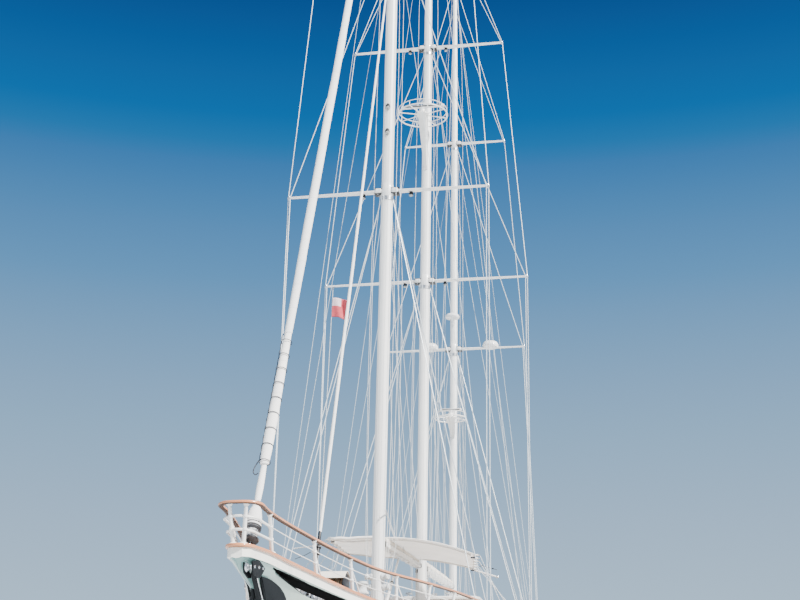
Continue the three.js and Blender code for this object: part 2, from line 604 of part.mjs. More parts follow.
function rigging(mast, backstayWires) {
  const plate = (offset) => {
    const x = mast.x + offset;
    return [x, hullLine(x, 'breadth') - CHAINPLATES.inset, hullLine(x, 'cap')];
  };
  const at = (z, y = 0) => [mastX(mast, z), y, z];
  const capWires = [1, -1].map((side) => {
    const points = [plate(CHAINPLATES.cap), at(LOWER_SPREADER, mast.lower + 0.02 + WIRE),
      at(UPPER_SPREADER, mast.upper + 0.02 + WIRE), at(MASTHEAD, mastRadius(mast, MASTHEAD) + WIRE)];
    return wire(side > 0 ? points : mirrored(points));
  });
  const lowerTop = LOWER_SPREADER - 0.35;
  const lowerWires = [1, -1].flatMap((side) => ['forward', 'aft'].map((row) => {
    const points = [plate(CHAINPLATES[row]), at(lowerTop, mast.foot + WIRE)];
    return wire(side > 0 ? points : mirrored(points));
  }));
  const collar = (z, height) => loft([z - height / 2, z + height / 2].map((level) =>
    circleAt(mastX(mast, level), 0, level, mastRadius(mast, level) + 0.035)));
  const bare = mastTube(mast, GAP);
  const levels = [[LOWER_SPREADER, mast.lower], [UPPER_SPREADER, mast.upper]];
  const spreaders = levels.map(([z, half]) => spreader(mast, z, half, GAP));
  const rails = grownCaps();
  const aloft = join(collar(MASTHEAD, 0.22), ...capWires, ...backstayWires);
  const upperWires = cut(aloft, bare, ...spreaders, ...rails);
  if (mast.name === 'fore') {
    piece('fore_cap_shroud_port', sideOf(upperWires, 1), 'steel');
    piece('fore_cap_shroud_starboard', sideOf(upperWires, -1), 'steel');
  } else {
    piece(`${mast.name}_cap_shrouds`, upperWires, 'steel');
  }
  const lowers = join(collar(lowerTop, 0.16), ...lowerWires);
  piece(`${mast.name}_lower_shrouds`, cut(lowers, bare, ...rails), 'steel');
}

// Wires from the mizzen's head to the quarters
function backstays(mizzen) {
  const behind = mastX(mizzen, MASTHEAD) - mastRadius(mizzen, MASTHEAD) - WIRE;
  return [1, -1].map((side) => {
    const y = hullLine(BACKSTAY_FOOT, 'breadth') - CHAINPLATES.inset;
    return wire([[BACKSTAY_FOOT, side * y, hullLine(BACKSTAY_FOOT, 'cap')], [behind, side * 0.04, MASTHEAD]]);
  });
}

// Aerial domes of the mizzen: one on each lower spreader and one on a bracket above them
function aerialDomes(mizzen) {
  const shape = [[0, 0], [0.8, 0], [1, 0.3], [1, 0.5], [0.75, 0.85], [0.35, 1], [0, 1]];
  const profile = (radius, height) => shape.map(([out, up]) => [out * radius, up * height]);
  const onSpreaders = DOME.spreader.map((y) => {
    const seat = [mastX(mizzen, LOWER_SPREADER), y, LOWER_SPREADER];
    return turned(profile(0.45, 0.4), seat);
  });
  const z = DOME.high;
  const x = mastX(mizzen, z) + mizzen.foot + 0.42;
  const stalk = block([mastX(mizzen, z), x + 0.05], [-0.05, 0.05], [z - 0.1, z]);
  const post = rod([x, 0, z - 0.1], [x, 0, z + 0.2], 0.07, 0.07, 8);
  return [...onSpreaders, stalk, post, turned(profile(0.4, 0.3), [x, 0, z + 0.18])];
}

const WINCH = { height: 1.35, reach: 0.34, radii: [0.13, 0.11] };

function buildMasts(below) {
  MASTS.forEach((mast, index) => {
    const foot = deckHeight(mast.x);
    const collar = loft([foot - 0.2, foot + 0.22].map((z) =>
      circleAt(mastX(mast, z), 0, z, mast.foot + 0.09)));
    const winches = [1, -1].map((side) => {
      const z = foot + WINCH.height;
      const wall = mastRadius(mast, z);
      const ends = [-0.05, WINCH.reach].map((out) => [mastX(mast, z) + 0.02, side * (wall + out), z]);
      return rod(...ends, ...WINCH.radii, 10);
    });
    const headX = mastX(mast, mast.top);
    const truckRadius = mast.head + 0.05;
    const truck = rod([headX, 0, mast.top - 0.05], [headX, 0, mast.top + 0.07], truckRadius, truckRadius, 16);
    const body = join(mastTube(mast), collar, ...winches, truck, spreader(mast, LOWER_SPREADER, mast.lower),
      spreader(mast, UPPER_SPREADER, mast.upper), goosenecks(mast, BOOMS[index]).lugs,
      ...(mast.name === 'mizzen' ? aerialDomes(mast) : []));
    piece(`${mast.name}_mast`, cut(body, below), 'white');
    rigging(mast, mast.name === 'mizzen' ? backstays(mast) : []);
  });
}

// Height of the underside of a boom's spar at x
function boomHeight(boom, start, x) {
  return boom.height + boom.rise * (start - x) / (start - boom.end);
}

function buildBooms() {
  BOOMS.forEach((boom) => {
    const mast = MASTS[boom.mast];
    const { x, z, start } = goosenecks(mast, boom);
    const section = (px, bottom, height, width, round) => {
      const [w, h] = [width / 2, height];
      const corner = Math.min(round, h / 2, w);
      return [[-w, corner], [-w, h - corner], [-w + corner, h], [w - corner, h], [w, h - corner], [w, corner],
        [w - corner, 0], [-w + corner, 0]].map(([y, up]) => [px, y, bottom + up]);
    };
    const spar = boom.depth * 0.5;
    const beam = loft([start, boom.end].map((px) =>
      section(px, boomHeight(boom, start, px), spar, boom.width, 0.05)));
    const [low, high] = [z - GOOSENECK.half, z + GOOSENECK.half];
    const barrel = rod([x, 0, low], [x, 0, high], GOOSENECK.barrel, GOOSENECK.barrel, 12);
    const tongue = block([x, start - 0.1], [-0.05, 0.05], [boom.height + 0.03, z + GOOSENECK.half - 0.02]);
    const boreRadius = GOOSENECK.pin + RUNNING;
    const pinHole = rod([x, 0, z - 0.5], [x, 0, z + 0.5], boreRadius, boreRadius, 16);
    const pivot = [x, 0, z];
    piece(`${mast.name}_boom`, cut(join(beam, barrel, tongue), pinHole), 'white', pivot);

    const [from, to] = [start - 0.12, boom.end + 0.5];
    const sizes = [[from, 0.86], [from - 1, 1], [(from + to) / 2, 0.9], [to, 0.6]];
    const cover = loft(sizes.map(([px, size]) => {
      const bottom = boomHeight(boom, start, px) + spar + GAP;
      return section(px, bottom, (boom.depth - spar) * size, boom.width * 0.96, 0.09);
    }));
    piece(`${mast.name}_sail_cover`, cover, 'cloth', pivot);
  });
}

// Headsails: tack, heights of the drum, its cone and the sail's foot, head, and radii of sail and drum
const HEADSAILS = [
  { name: 'jib', tack: [25.96, 4.5], drum: 5.1, foot: 5.55, head: MASTHEAD, sail: 0.135, reel: 0.2 },
  { name: 'staysail', tack: [19.7, 3.7], drum: 5.7, foot: 6.05, head: 34.8, sail: 0.05, reel: 0.09 },
];
const STEM = 0.045;

// Furled headsail, its drum and its stay, along a line from the tack to the foremast
function headstay({ name, tack, drum: drumHeight, foot, head, sail: sailRadius, reel }, below, skin) {
  const from = [tack[0], 0, tack[1]];
  const top = mastX(MASTS[0], head);
  const along = (z) => [from[0] + ((top - from[0]) * (z - from[2])) / (head - from[2]), 0, z];
  const upper = along(foot + 5.2);
  const sail = join(
    rod(along(foot), upper, sailRadius * 0.8, sailRadius, 10),
    rod(upper, along(head - 1.4), sailRadius, sailRadius * 0.7, 10),
    rod(along(head - 1.5), along(head), WIRE, WIRE, 6),
  );
  piece(`${name}_furled`, cut(sail, mastTube(MASTS[0], GAP, 25)), 'cloth');
  const stem = rod(from, along(foot - 2 * GAP), STEM, STEM, 8);
  const drum = rod(along(drumHeight - 0.14), along(drumHeight + 0.14), reel, reel, 12);
  const cone = rod(along(drumHeight + 0.1), along(foot - 2 * GAP), reel * 0.8, sailRadius * 0.8, 12);
  const fork = block([from[0] - 0.16, from[0] + 0.16], [-0.07, 0.07], [from[2] - 0.6, from[2] + 0.2]);
  piece(`${name}_furler`, cut(join(stem, drum, cone, fork), below, skin), 'steel');
}

function buildStays(below) {
  const noseTop = block([BOW_DECK_END - GAP, 26.9], [-1, 1], [3, HULL[0].cap - CAP.height / 2 + GAP]);
  for (const sail of HEADSAILS) headstay(sail, below, noseTop);

  const high = MASTHEAD + 0.35;
  const triatics = [['fore_main', 0, 1, high], ['main_mizzen', 1, 2, high - 0.5]];
  for (const [name, front, back, end] of triatics) {
    const stay = rod([mastX(MASTS[front], high), 0, high], [mastX(MASTS[back], high), 0, end], WIRE, WIRE, 6);
    const masts = [front, back].map((i) => mastTube(MASTS[i], GAP, 40));
    piece(`triatic_stay_${name}`, cut(stay, ...masts), 'steel');
  }
}

const RADARS = [
  { mast: MASTS[1], height: 30.75, reach: 1.35, ring: 1.25, drop: 2.9, bar: 2.2 },
  { mast: MASTS[2], height: 17.7, reach: 1.05, ring: 0.85, drop: 1.3, bar: 1.2 },
];
const DOME = { high: 23.2, spreader: [-1.35, 2.1] };

// Bracket on the front of a mast, with a round platform and its guard ring
function radarPlatform({ mast, height: z, reach, ring, drop }) {
  const x = mastX(mast, z) + mastRadius(mast, z) + reach;
  const plate = rod([x, 0, z - 0.42], [x, 0, z - 0.36], 0.3, 0.3, 12);
  const back = mastX(mast, z - drop) + mastRadius(mast, z - drop);
  const sections = [[z - 0.4, x - 0.25, x + 0.25, 0.22], [z - drop, back - 0.1, back + 0.08, 0.1]];
  const fairing = loft(sections.map(([level, a, b, half]) =>
    [[a, -half, level], [b, -half, level], [b, half, level], [a, half, level]]));
  const arm = block([mastX(mast, z), x], [-0.09, 0.09], [z - 0.52, z - 0.38]);
  const tube = new THREE.TorusGeometry(ring, 0.03, 5, 16).translate(x, 0, z - 0.45);
  const spokes = [0, 1, 2].map((i) => {
    const angle = (i * 2 * Math.PI) / 3;
    const end = [x + ring * Math.cos(angle), ring * Math.sin(angle), z - 0.45];
    return rod([x, 0, z - 0.45], end, 0.025, 0.025, 6);
  });
  const gearbox = rod([x, 0, z - 0.37], [x, 0, z - 0.14], 0.2, 0.14, 12);
  const platform = join(plate, fairing, arm, gearbox, solid(tube), ...spokes);
  return { x, body: cut(platform, mastTube(mast, GAP, 10)) };
}

function buildMastGear() {
  for (const radar of RADARS) {
    const { mast, height: z, bar } = radar;
    const { x, body } = radarPlatform(radar);
    piece(`radar_bracket_${mast.name}`, body, 'white');
    const turning = z - 0.14 + GAP;
    const scanner = join(rod([x, 0, turning], [x, 0, turning + 0.1], 0.07, 0.07, 10),
      block([x - 0.06, x + 0.06], [-bar / 2, bar / 2], [turning + 0.08, turning + 0.2]));
    piece(`radar_scanner_${mast.name}`, scanner, 'white', [x, 0, turning]);
  }
}

// Awning over the fore boom: its ends, and at each side the half-breadth and drop of both ends and
// how far the after edge runs forwards towards the side
const AWNING = {
  front: 8.05, back: -0.35, flat: 0.04, thick: 0.03,
  port: { halves: [3.45, 2.5], drops: [0.78, 0.5], hem: 0 },
  starboard: { halves: [2.2, 2.6], drops: [0.06, 0.02], hem: 2.6 },
};

function buildAwning() {
  const boom = BOOMS[0];
  const { start } = goosenecks(MASTS[0], boom);
  const ridge = (px) => boomHeight(boom, start, px) + boom.depth + AWNING.thick + 2 * GAP;
  const rings = [-1, -0.75, -0.5, -0.25, -AWNING.flat, AWNING.flat, 0.25, 0.5, 0.75, 1].map((part) => {
    const { halves, drops, hem } = part > 0 ? AWNING.port : AWNING.starboard;
    const fall = (Math.abs(part) - AWNING.flat) ** 1.5;
    const ends = [AWNING.front, AWNING.back + hem * Math.abs(part)];
    const corner = (end, down) =>
      [ends[end], part * halves[end], ridge(ends[end]) - drops[end] * fall - down];
    return [corner(0, 0), corner(1, 0), corner(1, AWNING.thick), corner(0, AWNING.thick)];
  });
  piece('awning', loft(rings), 'cloth');
}

// Rounded hole through a wall that faces along x or y
function windowHole(length, [x, y], facing) {
  const shape = roundedRectangle(length, HOUSE.head - HOUSE.sill, WINDOWS.corner);
  const hole = new THREE.ExtrudeGeometry(shape, { depth: 1, bevelEnabled: false, curveSegments: 1 });
  hole.translate(0, 0, -0.5).rotateX(Math.PI / 2);
  if (facing === 'x') hole.rotateZ(Math.PI / 2);
  return solid(hole.translate(x, y, (HOUSE.head + HOUSE.sill) / 2));
}

// Places of a side door's hinge pin in plan
function hingePin(side) {
  return [DOOR.front - DOOR.play / 2, side * (HOUSE.half + HINGE.knuckle + 0.002)];
}

function doorHinges(side) {
  const [x, y] = hingePin(side);
  return HINGE.heights.map((z) => {
    const ears = [z - HINGE.half, z + HINGE.half].map((end) => block([x - 0.02, x + 0.06],
      [side * (HOUSE.half - 0.005), y + side * HINGE.knuckle], [end, end + Math.sign(end - z) * HINGE.ear]));
    const pin = rod([x, y, z - HINGE.half - 0.01], [x, y, z + HINGE.half + 0.01], HINGE.pin, HINGE.pin, 12);
    return join(pin, ...ears);
  });
}

function buildDoor(name, side) {
  const [x, y] = hingePin(side);
  const across = [DOOR.inset + DOOR.thick, DOOR.inset].map((inset) => side * (HOUSE.half - inset));
  const leaf = block([DOOR.front - DOOR.play, DOOR.back + DOOR.play], across,
    [DOOR.bottom + DOOR.play, DOOR.top - DOOR.play]);
  const light = block([DOOR.front - DOOR_LIGHT.border, DOOR.back + DOOR_LIGHT.border], [-5, 5],
    [DOOR_LIGHT.bottom, DOOR_LIGHT.top]);
  const boreRadius = HINGE.pin + RUNNING / 2;
  const knuckles = HINGE.heights.map((z) => {
    const [low, high] = [z - HINGE.half + HINGE.play, z + HINGE.half - HINGE.play];
    const tab = block([x - 0.07, x - 0.007], [side * (HOUSE.half - 0.03), y + side * 0.008], [low, high]);
    const bore = rod([x, y, low - 1], [x, y, high + 1], boreRadius, boreRadius, 12);
    return cut(join(rod([x, y, low], [x, y, high], HINGE.knuckle, HINGE.knuckle, 12), tab), bore);
  });
  piece(`door_${name}`, join(cut(leaf, light), ...knuckles), 'white', [x, y, DOOR.bottom]);
}

function buildDeckhouse(below) {
  const { front, back, half, top, wall, sill, head } = HOUSE;
  const middle = (front + back) / 2;
  const plan = (inset) => roundedRectangle(front - back - 2 * inset, 2 * (half - inset), 0.45 - inset * 0.9);
  const prism = (inset, heights) => upright(plan(inset), heights).translate([middle, 0, 0]);
  const holes = [
    ...WINDOWS.front.places.map((y) => windowHole(WINDOWS.front.length, [front, y], 'x')),
    ...WINDOWS.back.places.map((y) => windowHole(WINDOWS.back.length, [back, y], 'x')),
    ...[1, -1].flatMap((side) => WINDOWS.side.places.map((x) =>
      windowHole(WINDOWS.side.length, [x, side * half], 'y'))),
    ...[1, -1].map((side) => block([DOOR.front, DOOR.back], [side * (half - 0.4), side * (half + 0.4)],
      [DOOR.bottom, DOOR.top])),
  ];
  const shell = cut(prism(0, [3, top - GAP]), prism(wall, [2.9, top + 1]), below, ...holes);
  piece('deckhouse_walls', join(shell, ...doorHinges(1), ...doorHinges(-1)), 'white');

  const rim = upright(roundedRectangle(front - back + 0.6, 2 * half + 0.4, 0.5), [top, top + 0.22], 0.05);
  piece('deckhouse_roof', rim.translate([middle, 0, 0]), 'white');

  const doorways = [1, -1].map((side) => block([DOOR.front + 0.05, DOOR.back - 0.05],
    [side * (half - 0.6), side * (half + 0.4)], [3, DOOR.top + 0.05]));
  const glassOut = prism(wall + GAP, [sill - 0.1, head + 0.1]);
  const glassIn = prism(wall + GAP + 0.02, [sill - 0.2, head + 0.2]);
  piece('deckhouse_glass', cut(glassOut, glassIn, ...doorways), 'glass');
  buildDoor('port', 1);
  buildDoor('starboard', -1);
}

function buildSaloon(below) {
  const width = CONSOLE.half;
  const console = loft([CONSOLE.front, CONSOLE.back].map((x, i) => {
    const [bottom, top] = [-0.2, CONSOLE.rise[i]].map((up) => deckHeight(x) + up);
    return [[x, -width, bottom], [x, -width, top], [x, width, top], [x, width, bottom]];
  }));
  piece('wheelhouse_console', cut(console, below), 'dark');

  const { front, back, inner, outer, across, height } = SETTEE;
  const seat = deckHeight(-7) + CAMBER + height;
  const long = [front, back];
  const benches = [[long, [inner, outer]], [long, [-outer, -inner]], [[across, back], [-outer, outer]]];
  piece('saloon_settee', cut(join(...benches.map(([x, y]) => block(x, y, [3, seat]))), below), 'leather');
}

function buildHatch(below) {
  const { x, half, wall, height, lid, overhang } = HATCH;
  const deck = deckHeight(x) + CAMBER;
  const coaming = cut(block([x - half, x + half], [-half, half], [3, deck + height]),
    block([x - half + wall, x + half - wall], [-half + wall, half - wall], [2.9, 9]));
  piece('fore_hatch_coaming', cut(coaming, below), 'white');
  const bottom = deck + height + GAP;
  const reach = half + overhang;
  const cover = block([x - reach, x + reach], [-reach, reach], [bottom, bottom + lid]);
  piece('fore_hatch_lid', cover, 'white', [x + reach, 0, bottom]);
}

function buildSkylight(below) {
  const { x, length, half, ridge, lid, overhang } = SKYLIGHT;
  const tilt = SKYLIGHT.slope * DEG;
  const deck = deckHeight(x) + CAMBER;
  const eave = deck + SKYLIGHT.eave;
  const top = eave + (half - ridge) * Math.tan(tilt);
  const [x0, x1] = [x - length / 2, x + length / 2];
  const gable = [[-half, 3], [-half, eave], [-ridge, top], [ridge, top], [half, eave], [half, 3]];
  const shell = loft([x0, x1].map((px) => gable.map(([y, z]) => [px, y, z])));
  const lights = [1, -1].map((side) => block([x0 + SKYLIGHT.border, x1 - SKYLIGHT.border],
    [side * (ridge + 0.1), side * (half - 0.12)], [deck + 0.05, top + 1]));
  piece('skylight', cut(shell, below, ...lights), 'teak');
  for (const [name, side] of [['port', 1], ['starboard', -1]]) {
    const hinge = [x, side * (ridge + 0.01), top - 0.01 * Math.tan(tilt)];
    const reach = (half - ridge) / Math.cos(tilt) + 2 * overhang;
    const flap = new THREE.BoxGeometry(length + 2 * overhang, reach - 0.01, lid)
      .translate(0, (side * (reach + 0.01)) / 2, lid / 2 + GAP).rotateX(-side * tilt);
    piece(`skylight_lid_${name}`, solid(flap.translate(...hinge)), 'glass', hinge);
  }
}

function buildWindlass(below) {
  const { x, base, barrel } = WINDLASS;
  const deck = deckHeight(x) - SIDE_DECK;
  const shaft = deck + WINDLASS.shaft;
  const across = (radius, from, to) => rod([x, from, shaft], [x, to, shaft], radius, radius, 12);
  const drums = [1, -1].map((side) => across(DRUM.radius, side * DRUM.inner, side * DRUM.outer));
  const middle = across(barrel.radius, -barrel.half, barrel.half);
  const bed = block([x - base[0], x + base[0]], [-base[1], base[1]], [2, deck + base[2]]);
  const back = x - CAPSTAN.back;
  const capstan = rod([back, 0, deck + CAPSTAN.foot], [back, 0, deck + CAPSTAN.top], ...CAPSTAN.radii, 12);
  piece('windlass', cut(join(bed, middle, ...drums, capstan), below), 'steel');
}

function buildLifeRafts(below) {
  const { x, y, half, radius, height } = RAFT;
  const deck = deckHeight(x) - SIDE_DECK;
  for (const [name, side] of [['port', 1], ['starboard', -1]]) {
    const [behind, ahead] = [-half, half].map((reach) => [x + reach, side * y, deck + height]);
    const can = rod(behind, ahead, radius, radius, 16);
    const cradles = RAFT.cradles.map((dx) => block([x + dx - CRADLE.half, x + dx + CRADLE.half],
      [side * CRADLE.inner, side * CRADLE.outer], [2.5, deck + CRADLE.height]));
    piece(`life_raft_${name}`, cut(join(can, ...cradles), below), 'white');
  }
}

function buildCockpit(below) {
  const { front, back, inner, outer, across, middle, height } = COCKPIT;
  const top = deckHeight(middle) - SIDE_DECK + CAMBER + height;
  const long = [front, back];
  const benches = [[long, [inner, outer]], [long, [-outer, -inner]], [[front, across], [-outer, outer]]];
  piece('cockpit_seat', cut(join(...benches.map(([x, y]) => block(x, y, [2.5, top]))), below), 'teak');

  const { x, waist, radii, shaft, reach } = HELM;
  const deck = deckHeight(x) + CAMBER;
  const hub = deck + HELM.hub;
  const levels = [2.5, deck + waist, deck + HELM.top];
  const column = loft(levels.map((z, i) => circleAt(x, 0, z, radii[i], 12)));
  const axle = rod([x, 0, hub], [x - reach, 0, hub], shaft, shaft, 10);
  piece('helm_pedestal', cut(join(column, axle), below), 'white');

  const plane = x - WHEEL.back;
  const rim = new THREE.TorusGeometry(WHEEL.radius, WHEEL.rim, 5, 16).rotateY(Math.PI / 2);
  const spokes = [0, 1, 2, 3, 4, 5, 6, 7].map((i) => {
    const angle = (i * Math.PI) / 4 + Math.PI / 8;
    const end = [plane, WHEEL.radius * Math.cos(angle), hub + WHEEL.radius * Math.sin(angle)];
    return rod([plane, 0, hub], end, WHEEL.spoke, WHEEL.spoke, 6);
  });
  const boss = rod([x - reach - GAP, 0, hub], [x - WHEEL.bossEnd, 0, hub], WHEEL.boss, WHEEL.boss, 12);
  piece('steering_wheel', join(boss, solid(rim.translate(plane, 0, hub)), ...spokes), 'teak', [plane, 0, hub]);
}

const ANCHOR = {
  head: [26.2, 0.22, 4.15], crown: [24.75, 0.08, 3.42], bar: [-0.2, 0.55], plate: [0.1, 0.34], blade: 0.03,
  middle: 0.13,
};

// Anchor stowed on the port side of the stem: its head plate, its shank and its two flukes, the inner
// one drawn up against the forefoot
function buildAnchor(skin) {
  const { head, crown, bar, plate, blade, middle } = ANCHOR;
  const outline = [
    [26.62, 4.36], [26.1, 4.47], [25.45, 4.38], [25.7, 4.2], [25.9, 4.06], [26.2, 4.0], [26.56, 4.1],
  ];
  const headPlate = loft(plate.map((y) => outline.map(([x, z]) => [x, y, z])));
  const shank = rod(head, crown, 0.07, 0.09, 8);
  const crossbar = rod([crown[0], bar[0], crown[2]], [crown[0], bar[1], crown[2]], 0.075, 0.075, 8);
  const flukes = [1, -1].map((side) => loft([-blade, blade].map((out) => [
    [25.6, 0.24, 4.13], [24.5, 0.42, 4.0], [24.1, 0.46, 3.78], [24.5, 0.46, 3.4], [24.85, 0.24, 3.38],
  ].map(([x, y, z]) => [x, middle + side * (y - middle + out), z]))));
  piece('anchor', cut(join(headPlate, shank, crossbar, ...flukes), skin), 'dark');
}

const FLAG = { inset: 0.35, forward: 1.2, top: 0.5, bottom: 1.5, fly: 0.95, droop: 0.35, thick: 0.005 };
const FLAG_LINE = 0.012;

// Small flag under the mainmast's lower spreader, and the line that it hangs from
function buildFlag(rails) {
  const main = MASTS[1];
  const spreaderX = mastX(main, LOWER_SPREADER);
  const top = [spreaderX, FLAG.inset - main.lower, LOWER_SPREADER];
  const foot = [spreaderX + FLAG.forward, CHAINPLATES.inset - hullLine(0, 'breadth'), hullLine(0, 'cap')];
  const line = rod(foot, top, FLAG_LINE, FLAG_LINE, 6);
  piece('flag_halyard', cut(line, spreader(main, LOWER_SPREADER, main.lower, GAP), ...rails), 'white');
  const start = LOWER_SPREADER - 0.12;
  const at = (drop) => [0, 1, 2].map((axis) => {
    const from = axis === 2 ? start : top[axis];
    return from + ((foot[axis] - from) * drop) / (start - foot[2]);
  });
  const { thick, fly, droop } = FLAG;
  const edge = [[-thick, 0, 0], [thick, 0, 0], [thick, fly, -droop], [-thick, fly, -droop]];
  const sheet = loft([at(FLAG.top), at(FLAG.bottom)].map((hoist) =>
    edge.map((corner) => corner.map((value, axis) => hoist[axis] + value))));
  piece('courtesy_flag', cut(sheet, rod(foot, top, FLAG_LINE + GAP, FLAG_LINE + GAP, 6)), 'red');
}

const below = belowDeck();
const skin = hullBody(GAP);
buildHull();
buildUnderwater();
buildRails();
buildMasts(below);
buildBooms();
buildStays(below);
buildMastGear();
buildAwning();
buildDeckhouse(below);
buildSaloon(below);
buildHatch(below);
buildSkylight(below);
buildWindlass(below);
buildLifeRafts(below);
buildCockpit(below);
buildAnchor(skin);
buildFlag(grownCaps());

yacht.scale.setScalar(MILLIMETRES);

export default yacht;
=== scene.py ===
# %% [markdown]
# A three-masted sailing yacht at anchor, seen from close under the port bow.
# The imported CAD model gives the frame: where every mast, boom and hatch is, and what moves with what.
# Everything here is modelled in metres of the real yacht and brought to the model's half size at the end.

# %% Load the frame
import math
import bmesh
import bpy
from mathutils import Matrix, Vector, noise


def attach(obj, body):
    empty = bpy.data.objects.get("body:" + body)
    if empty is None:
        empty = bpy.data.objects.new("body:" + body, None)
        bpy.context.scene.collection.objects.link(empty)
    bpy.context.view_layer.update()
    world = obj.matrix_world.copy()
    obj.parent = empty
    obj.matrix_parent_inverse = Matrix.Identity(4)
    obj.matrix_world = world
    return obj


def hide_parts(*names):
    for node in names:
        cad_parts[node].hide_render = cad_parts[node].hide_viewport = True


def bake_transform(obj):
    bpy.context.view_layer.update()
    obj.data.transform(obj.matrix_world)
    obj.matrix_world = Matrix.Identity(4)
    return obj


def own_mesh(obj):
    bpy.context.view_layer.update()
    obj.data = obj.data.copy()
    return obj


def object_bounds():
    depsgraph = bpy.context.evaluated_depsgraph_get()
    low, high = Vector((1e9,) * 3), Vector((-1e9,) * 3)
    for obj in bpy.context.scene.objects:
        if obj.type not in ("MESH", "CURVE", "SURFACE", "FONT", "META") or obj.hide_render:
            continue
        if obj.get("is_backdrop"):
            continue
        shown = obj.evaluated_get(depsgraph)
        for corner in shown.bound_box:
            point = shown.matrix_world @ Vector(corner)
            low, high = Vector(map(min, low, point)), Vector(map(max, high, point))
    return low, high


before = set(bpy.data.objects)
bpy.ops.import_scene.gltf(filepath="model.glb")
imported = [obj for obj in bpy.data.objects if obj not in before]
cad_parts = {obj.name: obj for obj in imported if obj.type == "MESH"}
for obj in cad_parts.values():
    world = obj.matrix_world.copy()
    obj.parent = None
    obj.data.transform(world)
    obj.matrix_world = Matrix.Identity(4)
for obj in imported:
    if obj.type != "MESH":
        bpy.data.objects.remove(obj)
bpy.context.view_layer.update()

MODEL_SCALE = 0.5
X_AXIS, Y_AXIS, UP = Vector((1, 0, 0)), Vector((0, 1, 0)), Vector((0, 0, 1))

# %% [markdown]
# The camera comes first. It stands on the water ahead of the bow, a little to port, and looks up
# at the rig, so the masts lean together slightly, as they do in any picture taken from a dinghy.

# %% Camera
CAMERA_PLACE = Vector((26.96, 4.151, 0.25))
CAMERA_BEARING = math.radians(9.674)
CAMERA_RISE = math.radians(19.70)
CAMERA_ROLL = math.radians(-0.443)
SENSOR_WIDTH = 36
FOCAL_PIXELS = 1240.077
IMAGE_WIDTH = 800


def camera_matrix():
    look = Vector((-math.cos(CAMERA_BEARING) * math.cos(CAMERA_RISE),
                   -math.sin(CAMERA_BEARING) * math.cos(CAMERA_RISE), math.sin(CAMERA_RISE)))
    right = Vector((-math.sin(CAMERA_BEARING), math.cos(CAMERA_BEARING), 0))
    above = right.cross(look)
    turned_right = right * math.cos(CAMERA_ROLL) - above * math.sin(CAMERA_ROLL)
    turned_up = right * math.sin(CAMERA_ROLL) + above * math.cos(CAMERA_ROLL)
    axes = Matrix((turned_right, turned_up, -look)).transposed()
    return Matrix.Translation(CAMERA_PLACE) @ axes.to_4x4()


lens = bpy.data.cameras.new("camera")
lens.sensor_width = SENSOR_WIDTH
lens.lens = FOCAL_PIXELS / IMAGE_WIDTH * SENSOR_WIDTH
lens.clip_end = 500
camera = bpy.data.objects.new("camera", lens)
camera.matrix_world = camera_matrix()
bpy.context.scene.collection.objects.link(camera)
bpy.context.scene.camera = camera
print("camera lens", round(lens.lens, 2), "mm")

# %% [markdown]
# A finish is a Principled shader with a few patterns in front of it. Writing the patterns as sums is
# easier to read than a list of nodes, so a small class wraps a socket and turns + - * / into Math nodes.

# %% Shader sums
class Signal:
    """One output of a shader node, which can stand in a sum."""

    def __init__(self, finish, socket):
        self.finish = finish
        self.socket = socket

    def math(self, operation, *values):
        return self.finish.node("ShaderNodeMath", {"operation": operation}, dict(enumerate(values)))

    def __add__(self, other):
        return self.math("ADD", self, other)

    def __sub__(self, other):
        return self.math("SUBTRACT", self, other)

    def __rsub__(self, other):
        return self.math("SUBTRACT", other, self)

    def __mul__(self, other):
        return self.math("MULTIPLY", self, other)

    def __truediv__(self, other):
        return self.math("DIVIDE", self, other)

    __radd__ = __add__
    __rmul__ = __mul__

    def fraction(self):
        return self.math("FRACT", self)

    def whole(self):
        return self.math("FLOOR", self)

    def wave(self):
        return self.math("SINE", self)

    def above(self, limit):
        return self.math("GREATER_THAN", self, limit)

    def below(self, limit):
        return self.math("LESS_THAN", self, limit)

    def ramp(self, low, high):
        """0 below low and 1 above high, with a soft step between them."""
        settings = {"interpolation_type": "SMOOTHSTEP"}
        return self.finish.node("ShaderNodeMapRange", settings,
                                {"Value": self, "From Min": low, "From Max": high})


